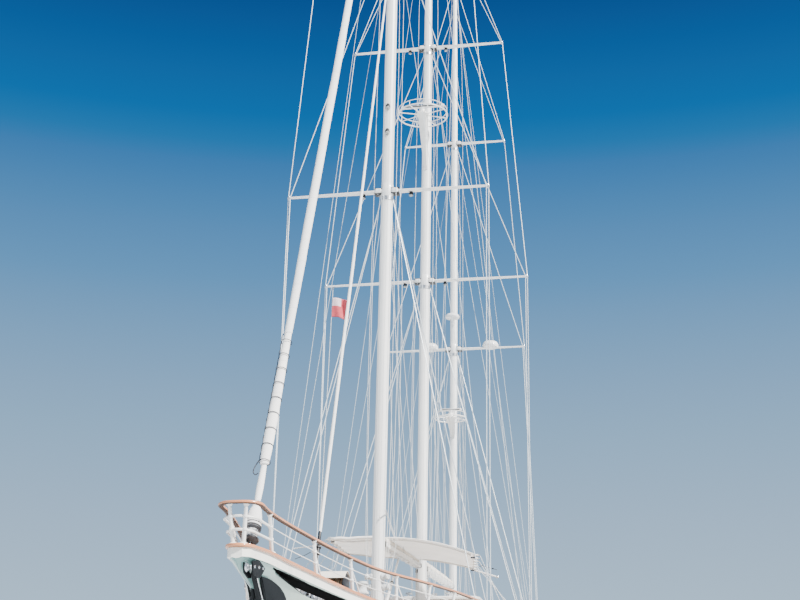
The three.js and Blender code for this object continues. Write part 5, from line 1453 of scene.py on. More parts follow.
staysail = fresh()
rolled(staysail, STAYSAIL_TACK, STAYSAIL_HEAD, 6.05, 33.9, 0.052, 0, 0.1, 1.1, 20)
tube(staysail, [on_staysail(33.8), on_staysail(34.7)], WIRE, 10, 1)
place("staysail_rolled", staysail, [sleeve_canvas, rod_steel], "cloth", stands_for=["staysail_furled"])
drum = fresh()
axis = (STAYSAIL_HEAD - STAYSAIL_TACK).normalized()
tube(drum, [STAYSAIL_TACK - axis * 0.15, on_staysail(6.1)], 0.03, 12)
spun(drum, [(0.03, -0.12), (0.09, -0.11), (0.09, -0.08), (0.06, -0.06), (0.06, 0.06), (0.09, 0.08),
            (0.09, 0.11), (0.03, 0.12)],
     on_staysail(5.7), axis, 24)
spun(drum, [(0.03, 0), (0.045, 0.02), (0.05, 0.4), (0.035, 0.5)], on_staysail(5.85), axis, 20)
for y in (0.05, -0.05):
    block(drum, STAYSAIL_TACK + Vector((0, y, 0.06)), (0.16, 0.018, 0.34), 0.008, 1)
place("staysail_furler_dressed", drum, [anodised, steel], "steel", stands_for=["staysail_furler"])

# %% [markdown]
# Each boom turns with its own body, so everything fixed to it rides with it: the spar, the stowed sail
# under its cover, the strut that holds it down, and the eyes beneath. The spar is a rounded box.

# %% Booms
SPAR_SHARE = 0.5


def boom_line(boom):
    """Start of the spar, and a rule for the height of its underside."""
    pin = gooseneck_place(boom["mast"], boom["height"] + 0.35 * boom["depth"])
    start = pin.x - 0.16

    def underside(x):
        return boom["height"] + boom["rise"] * (start - x) / (start - boom["end"])
    return pin, start, underside


def build_boom(boom):
    bm = fresh()
    pin, start, underside = boom_line(boom)
    tall, end = boom["depth"] * SPAR_SHARE, boom["end"]
    path = [Vector((x, 0, underside(x) + tall / 2)) for x in stations(start, end, 12)]
    swept(bm, path, rounded_section(boom["width"], tall, 0.06, 4))
    rod(bm, pin - UP * LUG_HALF, pin + UP * LUG_HALF, 0.09, 24, 1)
    block(bm, ((pin.x + start - 0.1) / 2, 0, boom["height"] + 0.1), (abs(pin.x - start) + 0.14, 0.1, 0.16),
          0.02, 1)
    for x, length in ((start - 0.06, 0.16), (end + 0.08, 0.22)):
        centre = Vector((x, 0, underside(x) + tall / 2))
        block(bm, centre, (length, boom["width"] + 0.012, tall + 0.012), 0.05, 1)
    for x in stations(start - 0.8, end + 0.4, 7):
        low = Vector((x, 0, underside(x)))
        hoop(bm, low - UP * 0.03, 0.045, 0.01, Y_AXIS, 6, 14, 2)
        block(bm, low - UP * 0.006, (0.16, 0.08, 0.012), 0.004, 2)
    for side in (1, -1):
        for x in stations(start - 1.1, end + 0.7, 4):
            centre = Vector((x, side * (boom["width"] / 2 + 0.012), underside(x) + tall * 0.62))
            tube(bm, [centre + Vector((-0.09, 0, 0)), centre, centre + Vector((0.09, 0, 0))],
                 [0.008, 0.016, 0.008], 8, 2)
    foot = Vector((pin.x, 0, boom["height"] - boom["mast"].vang))
    reach = max(1.55, 1.36 * boom["mast"].vang)
    grip = Vector((start - reach, 0, underside(start - reach) - 0.05))
    rod(bm, foot, foot.lerp(grip, 0.62), 0.062, 20, 0)
    rod(bm, foot.lerp(grip, 0.6), grip, 0.04, 16, 2)
    rod(bm, foot - UP * 0.055, foot + UP * 0.055, 0.07, 18, 2)
    spun(bm, [(0.062, 0), (0.075, 0.01), (0.075, 0.05), (0.05, 0.06)], foot.lerp(grip, 0.6), grip - foot,
         20, 1)
    block(bm, grip + UP * 0.03, (0.16, 0.1, 0.1), 0.02, 2)
    return bm


for boom in BOOMS:
    name = boom["mast"].name
    place(name + "_boom_dressed", build_boom(boom), [gloss_paint, anodised, steel], "white_paint",
          boom["body"], [name + "_boom"])

# %% [markdown]
# The stowed sail lies in loose folds on the spar under a fitted cover. The cover is swept along the boom
# with a rounded top whose height wanders with the folds beneath; webbing ties pull it in at intervals,
# and the ties are loops that follow the same outline a few millimetres further out.

# %% Sail covers
COVER_POINTS = 22


def cover_outline(boom, x, start, stop, spread=0.0):
    underside = boom_line(boom)[2]
    tall = boom["depth"] * SPAR_SHARE
    t = (start - x) / (start - stop)
    size = (0.86 + 0.14 * min(1, 6 * t)) * (1 - 0.42 * t ** 1.5)
    folds = 0.5 + 0.5 * math.sin(2 * math.pi * (start - x) / 1.25 - math.pi / 2)
    size *= 0.93 + 0.07 * folds + 0.05 * noise.noise(Vector((x * 1.7, 3.1, 0)))
    height, width = (boom["depth"] - tall) * size, boom["width"] * 0.96 * (0.94 + 0.06 * folds)
    base = underside(x) + tall + 0.001
    ring = []
    for i in range(COVER_POINTS):
        turn = math.pi * i / (COVER_POINTS - 1)
        out = math.copysign(abs(math.cos(turn)) ** 0.55, math.cos(turn)) * (width / 2 + spread)
        up = math.sin(turn) ** 0.7 * (height + spread)
        wrinkle = 0.006 * noise.noise(Vector((x * 9, out * 14, up * 14)))
        ring.append(Vector((x, out + wrinkle, base + up + wrinkle)))
    return ring


for boom in BOOMS:
    bm = fresh()
    _, spar_start, underside = boom_line(boom)
    start, stop = spar_start - 0.12, boom["end"] + 0.5
    loft(bm, [cover_outline(boom, x, start, stop)
              for x in stations(start, stop, int((start - stop) / 0.09))])
    cover = place(boom["mast"].name + "_cover", bm, [cover_canvas], "cloth", boom["body"],
                  [boom["mast"].name + "_sail_cover"], edge=60)
    ties = fresh()
    for x in stations(start - 0.62, stop + 0.5, int((start - stop) / 1.25)):
        band = [cover_outline(boom, x + shift, start, stop, 0.006) for shift in (-0.025, 0.025)]
        loft(ties, band, False, False)
        low = Vector((x, 0, underside(x) - 0.006))
        block(ties, low, (0.05, boom["width"] * 0.9, 0.01), 0.003)
        for side in (1, -1):
            high = underside(x) + boom["depth"] * SPAR_SHARE
            block(ties, (x, side * (boom["width"] / 2 + 0.006), (low.z + high) / 2),
                  (0.05, 0.01, high - low.z + 0.02), 0.003)
    place(boom["mast"].name + "_cover_ties", ties, [hem_webbing], "cloth", boom["body"])

# %% [markdown]
# Lines that cross a boom's hinge, such as its sheet and its topping lifts, run from the deck or mast at one
# end to the boom at the other, and stay put when the boom swings. A block is a cheek on each side of a
# sheave, with a strap over it.

# %% Sheets and topping lifts
def pulley(bm, centre, size=1.0, cheek=0, wheel=1):
    centre = Vector(centre)
    for y in (0.028, -0.028):
        spun(bm, [(0, -0.008 * size), (0.075 * size, -0.008 * size), (0.085 * size, 0),
                  (0.075 * size, 0.008 * size), (0, 0.008 * size)],
             centre + Vector((0, y * size, 0)), Y_AXIS, 18, cheek)
    spun(bm, [(0, -0.02 * size), (0.06 * size, -0.02 * size), (0.05 * size, 0), (0.06 * size, 0.02 * size),
              (0, 0.02 * size)],
         centre, Y_AXIS, 16, wheel)
    block(bm, centre + UP * 0.1 * size, (0.03 * size, 0.05 * size, 0.08 * size), 0.006, wheel)


for boom in BOOMS:
    _, start, underside = boom_line(boom)
    x = boom["end"] + 0.3
    top = Vector((x, 0, underside(x) - 0.16))
    foot = Vector((x, 0, deck(x) + 0.22))
    tackle = fresh()
    pulley(tackle, top, 1.3)
    pulley(tackle, foot, 1.3)
    for dx, dy in ((-0.06, -0.03), (0.06, -0.03), (-0.05, 0.03), (0.05, 0.03), (0.0, 0.0)):
        tube(tackle, [foot.lerp(top, i / 14) + Vector((dx, dy, 0)) for i in range(15)], 0.013, 6, 2)
    block(tackle, foot - UP * 0.16, (0.2, 0.24, 0.1), 0.02, 1)
    piece = place(boom["mast"].name + "_sheet", tackle, [anodised, steel, white_rope], "dark_metal", None)
    tuple((top - UP * 0.3) * MODEL_SCALE)
    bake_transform(piece)
    lifts = fresh()
    mast = boom["mast"]
    high_z = LOWER_SPREADER - 0.2
    for side in (1, -1):
        high = mast.axis(high_z, side * 0.1) - Vector((mast.radius(high_z), 0, 0))
        for share in (0.45, 0.97):
            x = start + (boom["end"] - start) * share
            low = Vector((x, side * (boom["width"] / 2 + 0.01), underside(x) + boom["depth"] * 0.3))
            tube(lifts, [high.lerp(low, i / 24) for i in range(25)], 0.010, 6)
    piece = place(mast.name + "_lazy_jacks", lifts, [white_rope], "steel", None)
    near = mast.axis(high_z) - UP * 0.1
    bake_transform(piece)

# %% [markdown]
# The awning is one sheet stretched over the fore boom. On the port side it falls to the rail, widest in
# front; on the starboard side it is hauled up nearly level, slack and wrinkled, with its after edge running
# forwards. Its edges curve inwards between the fastenings. It is a grid that is shaped by a height rule,
# and a Solidify modifier gives it the thickness of canvas. It stays spread and doesn't turn with the boom.

# %% Awning
AWNING_FRONT, AWNING_BACK = 8.05, -0.35
AWNING_SIDES = {  # half-breadth and drop, each in front and behind, and run of the after edge
    1: ((3.4, 2.45), (0.76, 0.47), 0.0),
    -1: ((2.15, 2.7), (0.04, 0.0), 3.0),
}
AWNING_ROWS, AWNING_COLUMNS = 64, 80
AWNING_TIES = 5
AWNING_THICK = 0.003      # model metres


def awning_point(u, v):
    """u runs from front to back and v from -1 at starboard to 1 at port."""
    underside = boom_line(BOOMS[0])[2]
    halves, drops, run = AWNING_SIDES[1 if v >= 0 else -1]
    side_curve = 0.035 * math.sin(math.pi * ((u * AWNING_TIES) % 1.0)) * abs(v) ** 6
    end_curve = 0.16 * (1 - abs(2 * abs(v) - 1) ** 2) * (1 if u < 0.5 else -1) * abs(2 * u - 1) ** 5
    x = AWNING_FRONT + (AWNING_BACK + run * abs(v) - AWNING_FRONT) * u - end_curve
    y = v * (halves[0] + (halves[1] - halves[0]) * u) * (1 - side_curve)
    ridge = underside(x) + BOOMS[0]["depth"] + 0.03
    z = ridge - (drops[0] + (drops[1] - drops[0]) * u) * max(abs(v) - 0.04, 0) ** (2.0 - 0.5 * u)
    tight = 4 * abs(v) * (1 - abs(v))
    z -= 0.045 * tight * math.sin(math.pi * ((u * AWNING_TIES) % 1.0))
    slack = max(-v, 0)
    wave = noise.noise(Vector((x * 2.2 + y * 1.3, y * 0.6, 1.7)))
    wave += 0.5 * noise.noise(Vector((x * 6.5 - y * 2, y * 0.9, 3.1)))
    z += slack * 0.06 * wave * min(1, 5 * (1 - abs(v)) + 0.5)
    z += 0.012 * noise.noise(Vector((x * 5, y * 1.6, 4.2))) * tight
    return Vector((x, y, z - 0.012))


cloth = fresh()
rows = [[awning_point(i / AWNING_ROWS, 2 * j / AWNING_COLUMNS - 1) for j in range(AWNING_COLUMNS + 1)]
        for i in range(AWNING_ROWS + 1)]
loft(cloth, rows, False, False)
awning_area = sum(face.calc_area() for face in cloth.faces) * MODEL_SCALE ** 2
awning = place("awning_sheet", cloth, [awning_canvas], "cloth", stands_for=["awning"], edge=70)
thicken(awning, "canvas", AWNING_THICK)
ridge_anchor = (BOOMS[0]["height"] + BOOMS[0]["rise"] + BOOMS[0]["depth"] + 0.02) * MODEL_SCALE

hem = fresh()
for j in (0, AWNING_COLUMNS):
    tube(hem, [row[j] for row in rows], 0.022)
for i in (0, AWNING_ROWS):
    tube(hem, rows[i], 0.022)
for tie in range(AWNING_TIES + 1):
    i = round(tie * AWNING_ROWS / AWNING_TIES)
    for j in (0, AWNING_COLUMNS):
        corner = rows[i][j]
        block(hem, corner, (0.2, 0.16, 0.05), 0.02, 0)
        hoop(hem, corner + Vector((0, math.copysign(0.09, corner.y), 0)), 0.05, 0.011, UP, 6, 16, 2)
for i in (2, AWNING_ROWS - 2):
    for j0, j1 in ((2, AWNING_COLUMNS // 2 - 3), (AWNING_COLUMNS // 2 + 3, AWNING_COLUMNS - 2)):
        tube(hem, [rows[i][j] - UP * 0.04 for j in range(j0, j1 + 1)], 0.028, 8, 1)
tube(hem, [row[0] + UP * 0.03 for row in rows], 0.07, 10, 0)
tube(hem, [point + UP * 0.03 for point in rows[0][:AWNING_COLUMNS // 2 - 4]], 0.06, 10, 0)
for i, j, size in ((1, AWNING_COLUMNS, 0.35), (AWNING_ROWS - 1, AWNING_COLUMNS, 0.3), (1, 0, 0.3),
                   (AWNING_ROWS - 1, 0, 0.4)):
    corner = rows[i][j] - UP * 0.08
    block(hem, corner - Vector((0.02, math.copysign(0.1, corner.y), 0)),
          (0.3 * size, 0.5 * size, 0.16 * size), 0.05, 3)
awning_trim = place("awning_hem", hem, [hem_webbing, gloss_paint, steel, strap_webbing], "cloth")

lines = fresh()
for u, x_end in ((0.0, 7.7), (0.4, 5.3), (0.8, 2.9), (1.0, 0.5)):
    i = min(round(u * AWNING_ROWS), AWNING_ROWS)
    for j, side in ((0, -1), (AWNING_COLUMNS, 1)):
        head = rows[i][j] + Vector((0, side * 0.13, 0))
        rail = railing_point(x_end, 1)
        tube(lines, [head, on_side(rail, side, 0.05)], 0.011, 6)
        hoop(lines, on_side(rail, side), 0.075, 0.012, X_AXIS, 6, 16)
LIFT_EYE_X, LIFT_EYE_Z, LIFT_BLOCK_X = 9.86, 8.46, 5.6      # on the foremast and on the awning's ridge
lift_block = Vector((LIFT_BLOCK_X, 0, rows[round(0.29 * AWNING_ROWS)][AWNING_COLUMNS // 2].z + 0.07))
for y in (0.30, 0.34):
    rod(lines, (LIFT_EYE_X, y, LIFT_EYE_Z), lift_block + Vector((0, y - 0.32, 0)), 0.013, 6)
block(lines, lift_block, (0.09, 0.05, 0.16), 0.015)
awning_lines = place("awning_lines", lines, [white_rope], "cloth")

poles = fresh()
pole_foot, pole_end = rows[AWNING_ROWS][AWNING_COLUMNS - 4] - UP * 0.07, Vector((AWNING_BACK, 3.39, 7.31))
tube(poles, [pole_foot, pole_foot.lerp(pole_end, 0.5), pole_end], 0.035, 12, 0)
spun(poles, [(0.02, -0.05), (0.045, -0.04), (0.05, 0.03), (0.03, 0.06), (0, 0.06)], pole_end,
     pole_end - pole_foot, 16, 1)
strap_start, strap_end = Vector((AWNING_FRONT, -2.3, 7.56)), Vector((AWNING_FRONT, -3.58, 7.40))
tube(poles, [rows[0][1], strap_start, strap_start.lerp(strap_end, 0.4), strap_end], 0.022, 8, 4)
tube(poles, [(AWNING_FRONT, -2.84, 7.27), (AWNING_FRONT, -3.1, 7.14), (AWNING_FRONT, -3.45, 7.02)], 0.014,
     6, 2)
tube(poles, [(AWNING_FRONT, -2.84, 7.27), strap_start], 0.012, 6, 4)
for k in range(5):
    block(poles, pole_foot.lerp(pole_end, 0.2 * k + 0.05) + UP * 0.3, (0.08, 0.08, 0.05), 0.02, 3)
tube(poles, [rows[AWNING_ROWS - 2][AWNING_COLUMNS - 3], pole_foot.lerp(pole_end, 0.5) + UP * 0.29,
             pole_end + UP * 0.3], 0.012, 6, 2)
awning_poles = place("awning_poles", poles, [gloss_paint, steel, strap_webbing, anodised, white_rope],
                     "cloth")
for soft in (awning, awning_trim, awning_lines, awning_poles):
    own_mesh(soft)
print("awning cloth", round(awning_area, 2), "square metres on the model")

# %% [markdown]
# Radar: an open array that turns on a gearbox, on a round platform with a guard ring so that no sail or
# halyard can foul it. The platform stands on a tapering bracket in front of the mast.

# %% Radars
RADARS = [(MAIN, 30.75, 1.35, 1.25, 2.9, 2.2, "radar_main"),
          (MIZZEN, 17.7, 1.05, 0.85, 1.3, 1.2, "radar_mizzen")]
for mast, z, reach, ring, drop, bar, body in RADARS:
    centre = mast.axis(z) + Vector((mast.radius(z) + reach, 0, 0))
    bm = fresh()
    spun(bm, [(0, -0.44), (0.3, -0.44), (0.32, -0.42), (0.32, -0.38), (0.3, -0.36), (0, -0.36)], centre, UP,
         36)
    hoop(bm, centre - UP * 0.45, ring, 0.032, UP, 10, 56)
    hoop(bm, centre - UP * 0.18, ring * 0.98, 0.018, UP, 8, 56)
    for k in range(8):
        out = heading(k * math.pi / 4 + 0.39)
        if (centre + out * ring).x > mast.axis(z).x + mast.radius(z) + 0.1:
            rod(bm, centre + out * ring - UP * 0.46, centre + out * ring * 0.98 - UP * 0.18, 0.018, 8)
            rod(bm, centre - UP * 0.42 + out * 0.28, centre + out * ring - UP * 0.45, 0.022, 10)
    back = mast.axis(z - drop) + Vector((mast.radius(z - drop), 0, 0))
    sections = []
    for t in (0, 0.15, 0.4, 0.7, 1):
        level = z - 0.42 + (0.42 - drop) * t
        front = centre.x + 0.27 - (centre.x + 0.27 - back.x - 0.07) * t ** 0.8
        rear = centre.x - 0.27 - (centre.x - 0.27 - back.x + 0.05) * min(1, t * 1.25)
        half = 0.22 - 0.12 * t
        sections.append([(x, y, level)
                         for x, y in ((rear, -half * 0.7), (rear + 0.04, -half), (front - 0.08, -half),
                                                    (front, -half * 0.5), (front, half * 0.5),
                                      (front - 0.08, half),
                                                    (rear + 0.04, half), (rear, half * 0.7))])
    loft(bm, sections)
    block(bm, ((mast.axis(z).x + centre.x) / 2, 0, z - 0.45), (centre.x - mast.axis(z).x, 0.18, 0.13), 0.03)
    spun(bm, [(0.21, -0.37), (0.2, -0.3), (0.15, -0.2), (0.15, -0.15), (0, -0.145)], centre, UP, 28)
    place(body + "_platform", bm, [gloss_paint], "white_paint", stands_for=["radar_bracket_" + mast.name])
    turning = fresh()
    spun(turning, [(0, -0.135), (0.08, -0.135), (0.08, -0.08), (0.11, -0.05), (0.11, -0.02), (0, -0.02)],
         centre, UP, 24)
    section = rounded_section(0.15, 0.14, 0.05, 4)
    spans = [(-1, 0.55), (-0.985, 0.9), (-0.95, 1), (0.95, 1), (0.985, 0.9), (1, 0.55)]
    loft(turning, [[centre + Vector((a * size, share * bar / 2, 0.045 + b * size)) for a, b in section]
                   for share, size in spans])
    block(turning, centre + Vector((0.078, 0, 0.045)), (0.012, bar * 0.86, 0.07), 0.004, 1)
    place(body + "_array", turning, [dome_paint, console_moulding], "white_paint", body,
          ["radar_scanner_" + mast.name])

# %% [markdown]
# The flag hangs from its own halyard under the mainmast's starboard spreader. It is a small sheet with
# the waves of a light breeze, nearly still at the hoist and larger at the fly.

# %% Flag
FLAG_COLUMNS, FLAG_ROWS = 26, 18
FLAG_HOIST = 1.0
FLAG_THICK = 0.0012       # model metres
main_top = MAIN.axis(LOWER_SPREADER, -MAIN.lower + 0.35) - UP * 0.12
line_foot = Vector((main_top.x + 1.2, SHROUD_INSET - hull(0, BREADTH), hull(0, CAP)))
line = fresh()
line_top = Vector((main_top.x, main_top.y, LOWER_SPREADER - 0.06))
tube(line, [line_foot + UP * 0.04, line_top], 0.012, 8)
pulley(line, line_top - UP * 0.02, 0.7, 1, 1)
hoop(line, line_foot + UP * 0.06, 0.04, 0.01, X_AXIS, 6, 14, 1)
place("flag_line", line, [white_rope, steel], "white_paint", stands_for=["flag_halyard"])


def on_line(drop):
    return main_top + (line_foot - main_top) * (drop / (main_top.z - line_foot.z))


bunt = fresh()
grid = []
for i in range(FLAG_COLUMNS + 1):
    u = i / FLAG_COLUMNS
    wave = 0.10 * u ** 0.8
    column = []
    for j in range(FLAG_ROWS + 1):
        w = j / FLAG_ROWS
        base = on_line(0.5 + FLAG_HOIST * w) + Vector((0.016, 0, 0))
        ripple = wave * math.sin(2 * math.pi * (1.35 * u - 0.35 * w) + 0.4)
        column.append(base + Vector((ripple, 0.93 * u - 0.06 * u * u, -0.34 * u * u * (0.75 + 0.25 * w))))
    grid.append(column)
loft(bunt, grid, False, False)
flag_area = sum(face.calc_area() for face in bunt.faces) * MODEL_SCALE ** 2
flag = place("flag_bunting", bunt, [flag_bunting], "red_cloth", stands_for=["courtesy_flag"], edge=80)
thicken(flag, "cloth", FLAG_THICK)
round(flag_area / (FLAG_HOIST * MODEL_SCALE), 3)

# %% [markdown]
# The deckhouse keeps its walls from the solid model. What makes it look real is laid on them: a raised
# metal frame round each window, a crowned roof with a rounded rim, handrails, and gear on the roof.

# %% Deckhouse trim
def deck_side(x):
    return deck_edge(x)[1]


HOUSE = {"front": -2.2, "back": -10.3, "half": 2.25, "sill": 5.05, "head": 6.15}
HOUSE_WINDOWS = [(Vector((HOUSE["front"], y, 0)), Y_AXIS, 1.2) for y in (-1.45, 0, 1.45)]
HOUSE_WINDOWS += [(Vector((HOUSE["back"], y, 0)), Vector((0, -1, 0)), 1.0) for y in (-1.2, 1.2)]
for x in (-4.75, -6.3, -7.85, -9.35):
    HOUSE_WINDOWS += [(Vector((x, HOUSE["half"], 0)), Vector((-1, 0, 0)), 1.25),
                      (Vector((x, -HOUSE["half"], 0)), X_AXIS, 1.25)]
FRAME_SECTION = [(-0.012, -0.02), (-0.012, 0.012), (0.0, 0.02), (0.03, 0.02), (0.04, 0.012), (0.04, 0.001),
                 (0.0, 0.001)]


def window_frame(bm, centre, along, length, height, corner, section=FRAME_SECTION):
    """Moulding swept round a rounded rectangle that stands on a wall."""
    outward = along.cross(UP)
    outline = [Vector((a, b, 0)) for a, b in rounded_section(length, height, corner, 5)]
    rings = []
    for i, point in enumerate(outline):
        step = (outline[(i + 1) % len(outline)] - outline[i - 1]).normalized()
        side = Vector((step.y, -step.x, 0))
        if side.dot(point) < 0:
            side = -side
        rings.append([centre + along * (point.x + side.x * out) + UP * (point.y + side.y * out)
                      + outward * proud for out, proud in section])
    loft(bm, rings + rings[:1], True, False)


def handrail(bm, points, radius=0.022, posts=1.2, foot=0.12, down=-UP):
    """Rail on short posts, its ends turned down."""
    path = [Vector(point) for point in points]
    tube(bm, [path[0] + down * foot, *smoothed(path, 3), path[-1] + down * foot], radius, 10)
    length = sum((b - a).length for a, b in zip(path, path[1:]))
    for k in range(1, int(length / posts)):
        at = path[0].lerp(path[-1], k / int(length / posts))
        rod(bm, at, at + down * foot, radius * 0.8, 10)
        spun(bm, [(0, 0), (0.05, 0), (0.05, 0.008), (0, 0.012)], at + down * foot, -down, 16)


dress(house_paint, "deckhouse_walls")
dress(window_glass, "deckhouse_glass")
trim = fresh()
middle = (HOUSE["sill"] + HOUSE["head"]) / 2
for centre, along, length in HOUSE_WINDOWS:
    window_frame(trim, centre + UP * middle, along, length, HOUSE["head"] - HOUSE["sill"], 0.12)
for side in (1, -1):
    handrail(trim, [(-4.2, side * (HOUSE["half"] + 0.1), 6.36),
                    (-10.0, side * (HOUSE["half"] + 0.1), 6.36)], 0.02, 1.4,
             0.09, Vector((0, -side, 0)))
    for z in (4.45, 4.62):
        block(trim, (-7.05, side * (HOUSE["half"] + 0.012), z), (5.9, 0.03, 0.035), 0.012, 1)
for x, sign in ((HOUSE["front"], 1), (HOUSE["back"], -1)):
    block(trim, (x + sign * 0.012, 0, 4.45), (0.03, 3.6, 0.035), 0.012, 1)
for y in (-0.72, 0.72):
    block(trim, (HOUSE["front"] + 0.03, y, 6.28), (0.06, 0.14, 0.1), 0.02, 2)
    rod(trim, (HOUSE["front"] + 0.05, y, 6.28), (HOUSE["front"] + 0.05, y * 1.5, 5.5), 0.012, 8, 2)
    rod(trim, (HOUSE["front"] + 0.04, y * 1.5, 5.85), (HOUSE["front"] + 0.04, y * 1.5, 5.2), 0.016, 8, 2)
place("deckhouse_trim", trim, [steel, joinery_teak, black_rubber], "steel")

roof = fresh()
rings = []
for inset, z in ((0.06, 6.552), (0.0, 6.58), (0.0, 6.67), (0.03, 6.70), (0.09, 6.715), (0.4, 6.735),
                 (1.0, 6.75), (1.8, 6.762)):
    section = rounded_section(8.7 - 2 * inset, 4.9 - 2 * inset, 0.5 - inset * 0.2 if inset < 1 else 0.3, 6)
    rings.append([Vector((a - 6.25, b, z)) for a, b in section])
loft(roof, rings)
for x in (-3.4, -5.0, -6.6, -8.2, -9.6):
    for y in (-1.1, 1.1):
        block(roof, (x, y, 6.752), (1.3, 1.7, 0.012), 0.005, 1)
place("deckhouse_roof_dressed", roof, [gloss_paint, deck_paint], "white_paint",
      stands_for=["deckhouse_roof"])


def mushroom_vent(bm, foot, size=1.0):
    spun(bm, [(0, 0), (0.1 * size, 0), (0.1 * size, 0.015), (0.055 * size, 0.03),
              (0.05 * size, 0.16 * size), (0.12 * size, 0.17 * size), (0.14 * size, 0.19 * size),
              (0.12 * size, 0.23 * size), (0.06 * size, 0.26 * size), (0, 0.265 * size)], foot, UP, 28)


gear = fresh()
for side in (1, -1):
    handrail(gear, [(-2.6, side * 2.15, 6.84), (-6.2, side * 2.15, 6.86), (-9.9, side * 2.15, 6.84)], 0.02,
             1.3, 0.13)
for x, y in ((-3.0, 0.9), (-3.0, -0.9), (-9.3, 1.5), (-9.3, -1.5)):
    mushroom_vent(gear, (x, y, 6.73), 1.1)
spun(gear, [(0, 0), (0.09, 0), (0.09, 0.02), (0.03, 0.04), (0.03, 0.12), (0, 0.12)], (-2.35, 0, 6.72), UP,
     20, 0)
spun(gear, [(0, -0.12), (0.1, -0.12), (0.14, -0.06), (0.14, 0.08), (0.12, 0.1), (0, 0.1)], (-2.3, 0, 6.9),
     (1, 0, 0.1), 28, 0)
spun(gear, [(0, 0.10), (0.115, 0.10), (0.11, 0.115), (0, 0.125)], (-2.3, 0, 6.9), (1, 0, 0.1), 24, 2)
for y in (0.34, 0.46):
    spun(gear, [(0, 0), (0.025, 0), (0.022, 0.3), (0.05, 0.42), (0.07, 0.44), (0, 0.43)], (-2.65, y, 6.8),
         X_AXIS, 20, 0)
    rod(gear, (-2.6, y, 6.72), (-2.6, y, 6.8), 0.015, 8)
place("roof_gear", gear, [steel, black_rubber, lamp_glass], "steel")

# %% [markdown]
# Doors, hatch and skylight lids open, so their frames, panes and handles ride on those bodies.

# %% Doors and lids
SIDES = (("port", 1), ("starboard", -1))
DOOR_X, PANE_Z, HANDLE_X, HANDLE_Z = -3.3, 5.375, -3.64, 4.85
for name, side in SIDES:
    dress(house_paint, "door_" + name)
    door = fresh()
    along = Vector((-side, 0, 0))
    centre = Vector((DOOR_X, side * 2.235, PANE_Z))
    window_frame(door, centre, along, 0.5, 0.75, 0.02,
                 [(-0.03, -0.03), (-0.03, 0.004), (-0.02, 0.012), (0.02, 0.012),
                                                         (0.026, 0.001), (0.0, -0.03)])
    block(door, (DOOR_X, side * 2.205, PANE_Z), (0.5, 0.012, 0.75), 0.004, 1)
    block(door, (DOOR_X, side * 2.242, 4.3), (0.62, 0.012, 0.84), 0.005, 2)
    for z in (3.98, 4.62):
        block(door, (DOOR_X, side * 2.25, z), (0.54, 0.012, 0.03), 0.005, 0)
    for y in (2.262, 2.152):
        spun(door, [(0, -0.008), (0.035, -0.008), (0.035, 0.008), (0, 0.008)],
             (HANDLE_X, side * y, HANDLE_Z), Y_AXIS, 20)
        rod(door, (HANDLE_X, side * y, HANDLE_Z),
            (-3.5, side * (y + (0.015 if y > 2.2 else -0.015)), HANDLE_Z), 0.011, 10)
    rod(door, (HANDLE_X, side * 2.14, HANDLE_Z), (HANDLE_X, side * 2.27, HANDLE_Z), 0.012, 10)
    place("door_" + name + "_fittings", door, [steel, window_glass, joinery_teak], "steel", "door_" + name)

HATCH = {"x": 13.6, "half": 0.55, "height": 0.28}
hatch_deck = deck(HATCH["x"])
dress(house_paint, "fore_hatch_coaming")
lid_top = hatch_deck + HATCH["height"] + 0.07
lid = fresh()
frame_rings = []
for inset, z in ((0.0, -0.068), (0.0, -0.03), (0.012, -0.006), (0.03, 0.0), (0.11, 0.0), (0.118, -0.008),
                 (0.118, -0.068)):
    section = rounded_section(1.16 - 2 * inset, 1.16 - 2 * inset, max(0.09 - inset * 0.5, 0.03), 5)
    frame_rings.append([Vector((HATCH["x"] + a, b, lid_top + z)) for a, b in section])
loft(lid, frame_rings + frame_rings[:1], True, False)
block(lid, (HATCH["x"], 0, lid_top - 0.025), (0.93, 0.93, 0.03), 0.008, 1)
for y in (-0.3, 0.3):
    spun(lid, [(0, 0), (0.045, 0), (0.045, 0.012), (0.02, 0.016), (0, 0.016)],
         (HATCH["x"] - 0.36, y, lid_top - 0.01), UP, 20, 0)
    block(lid, (HATCH["x"] + 0.5, y, lid_top + 0.004), (0.14, 0.1, 0.012), 0.005, 0)
place("fore_hatch_lid_dressed", lid, [steel, window_glass], "steel", "fore_hatch_lid", ["fore_hatch_lid"])

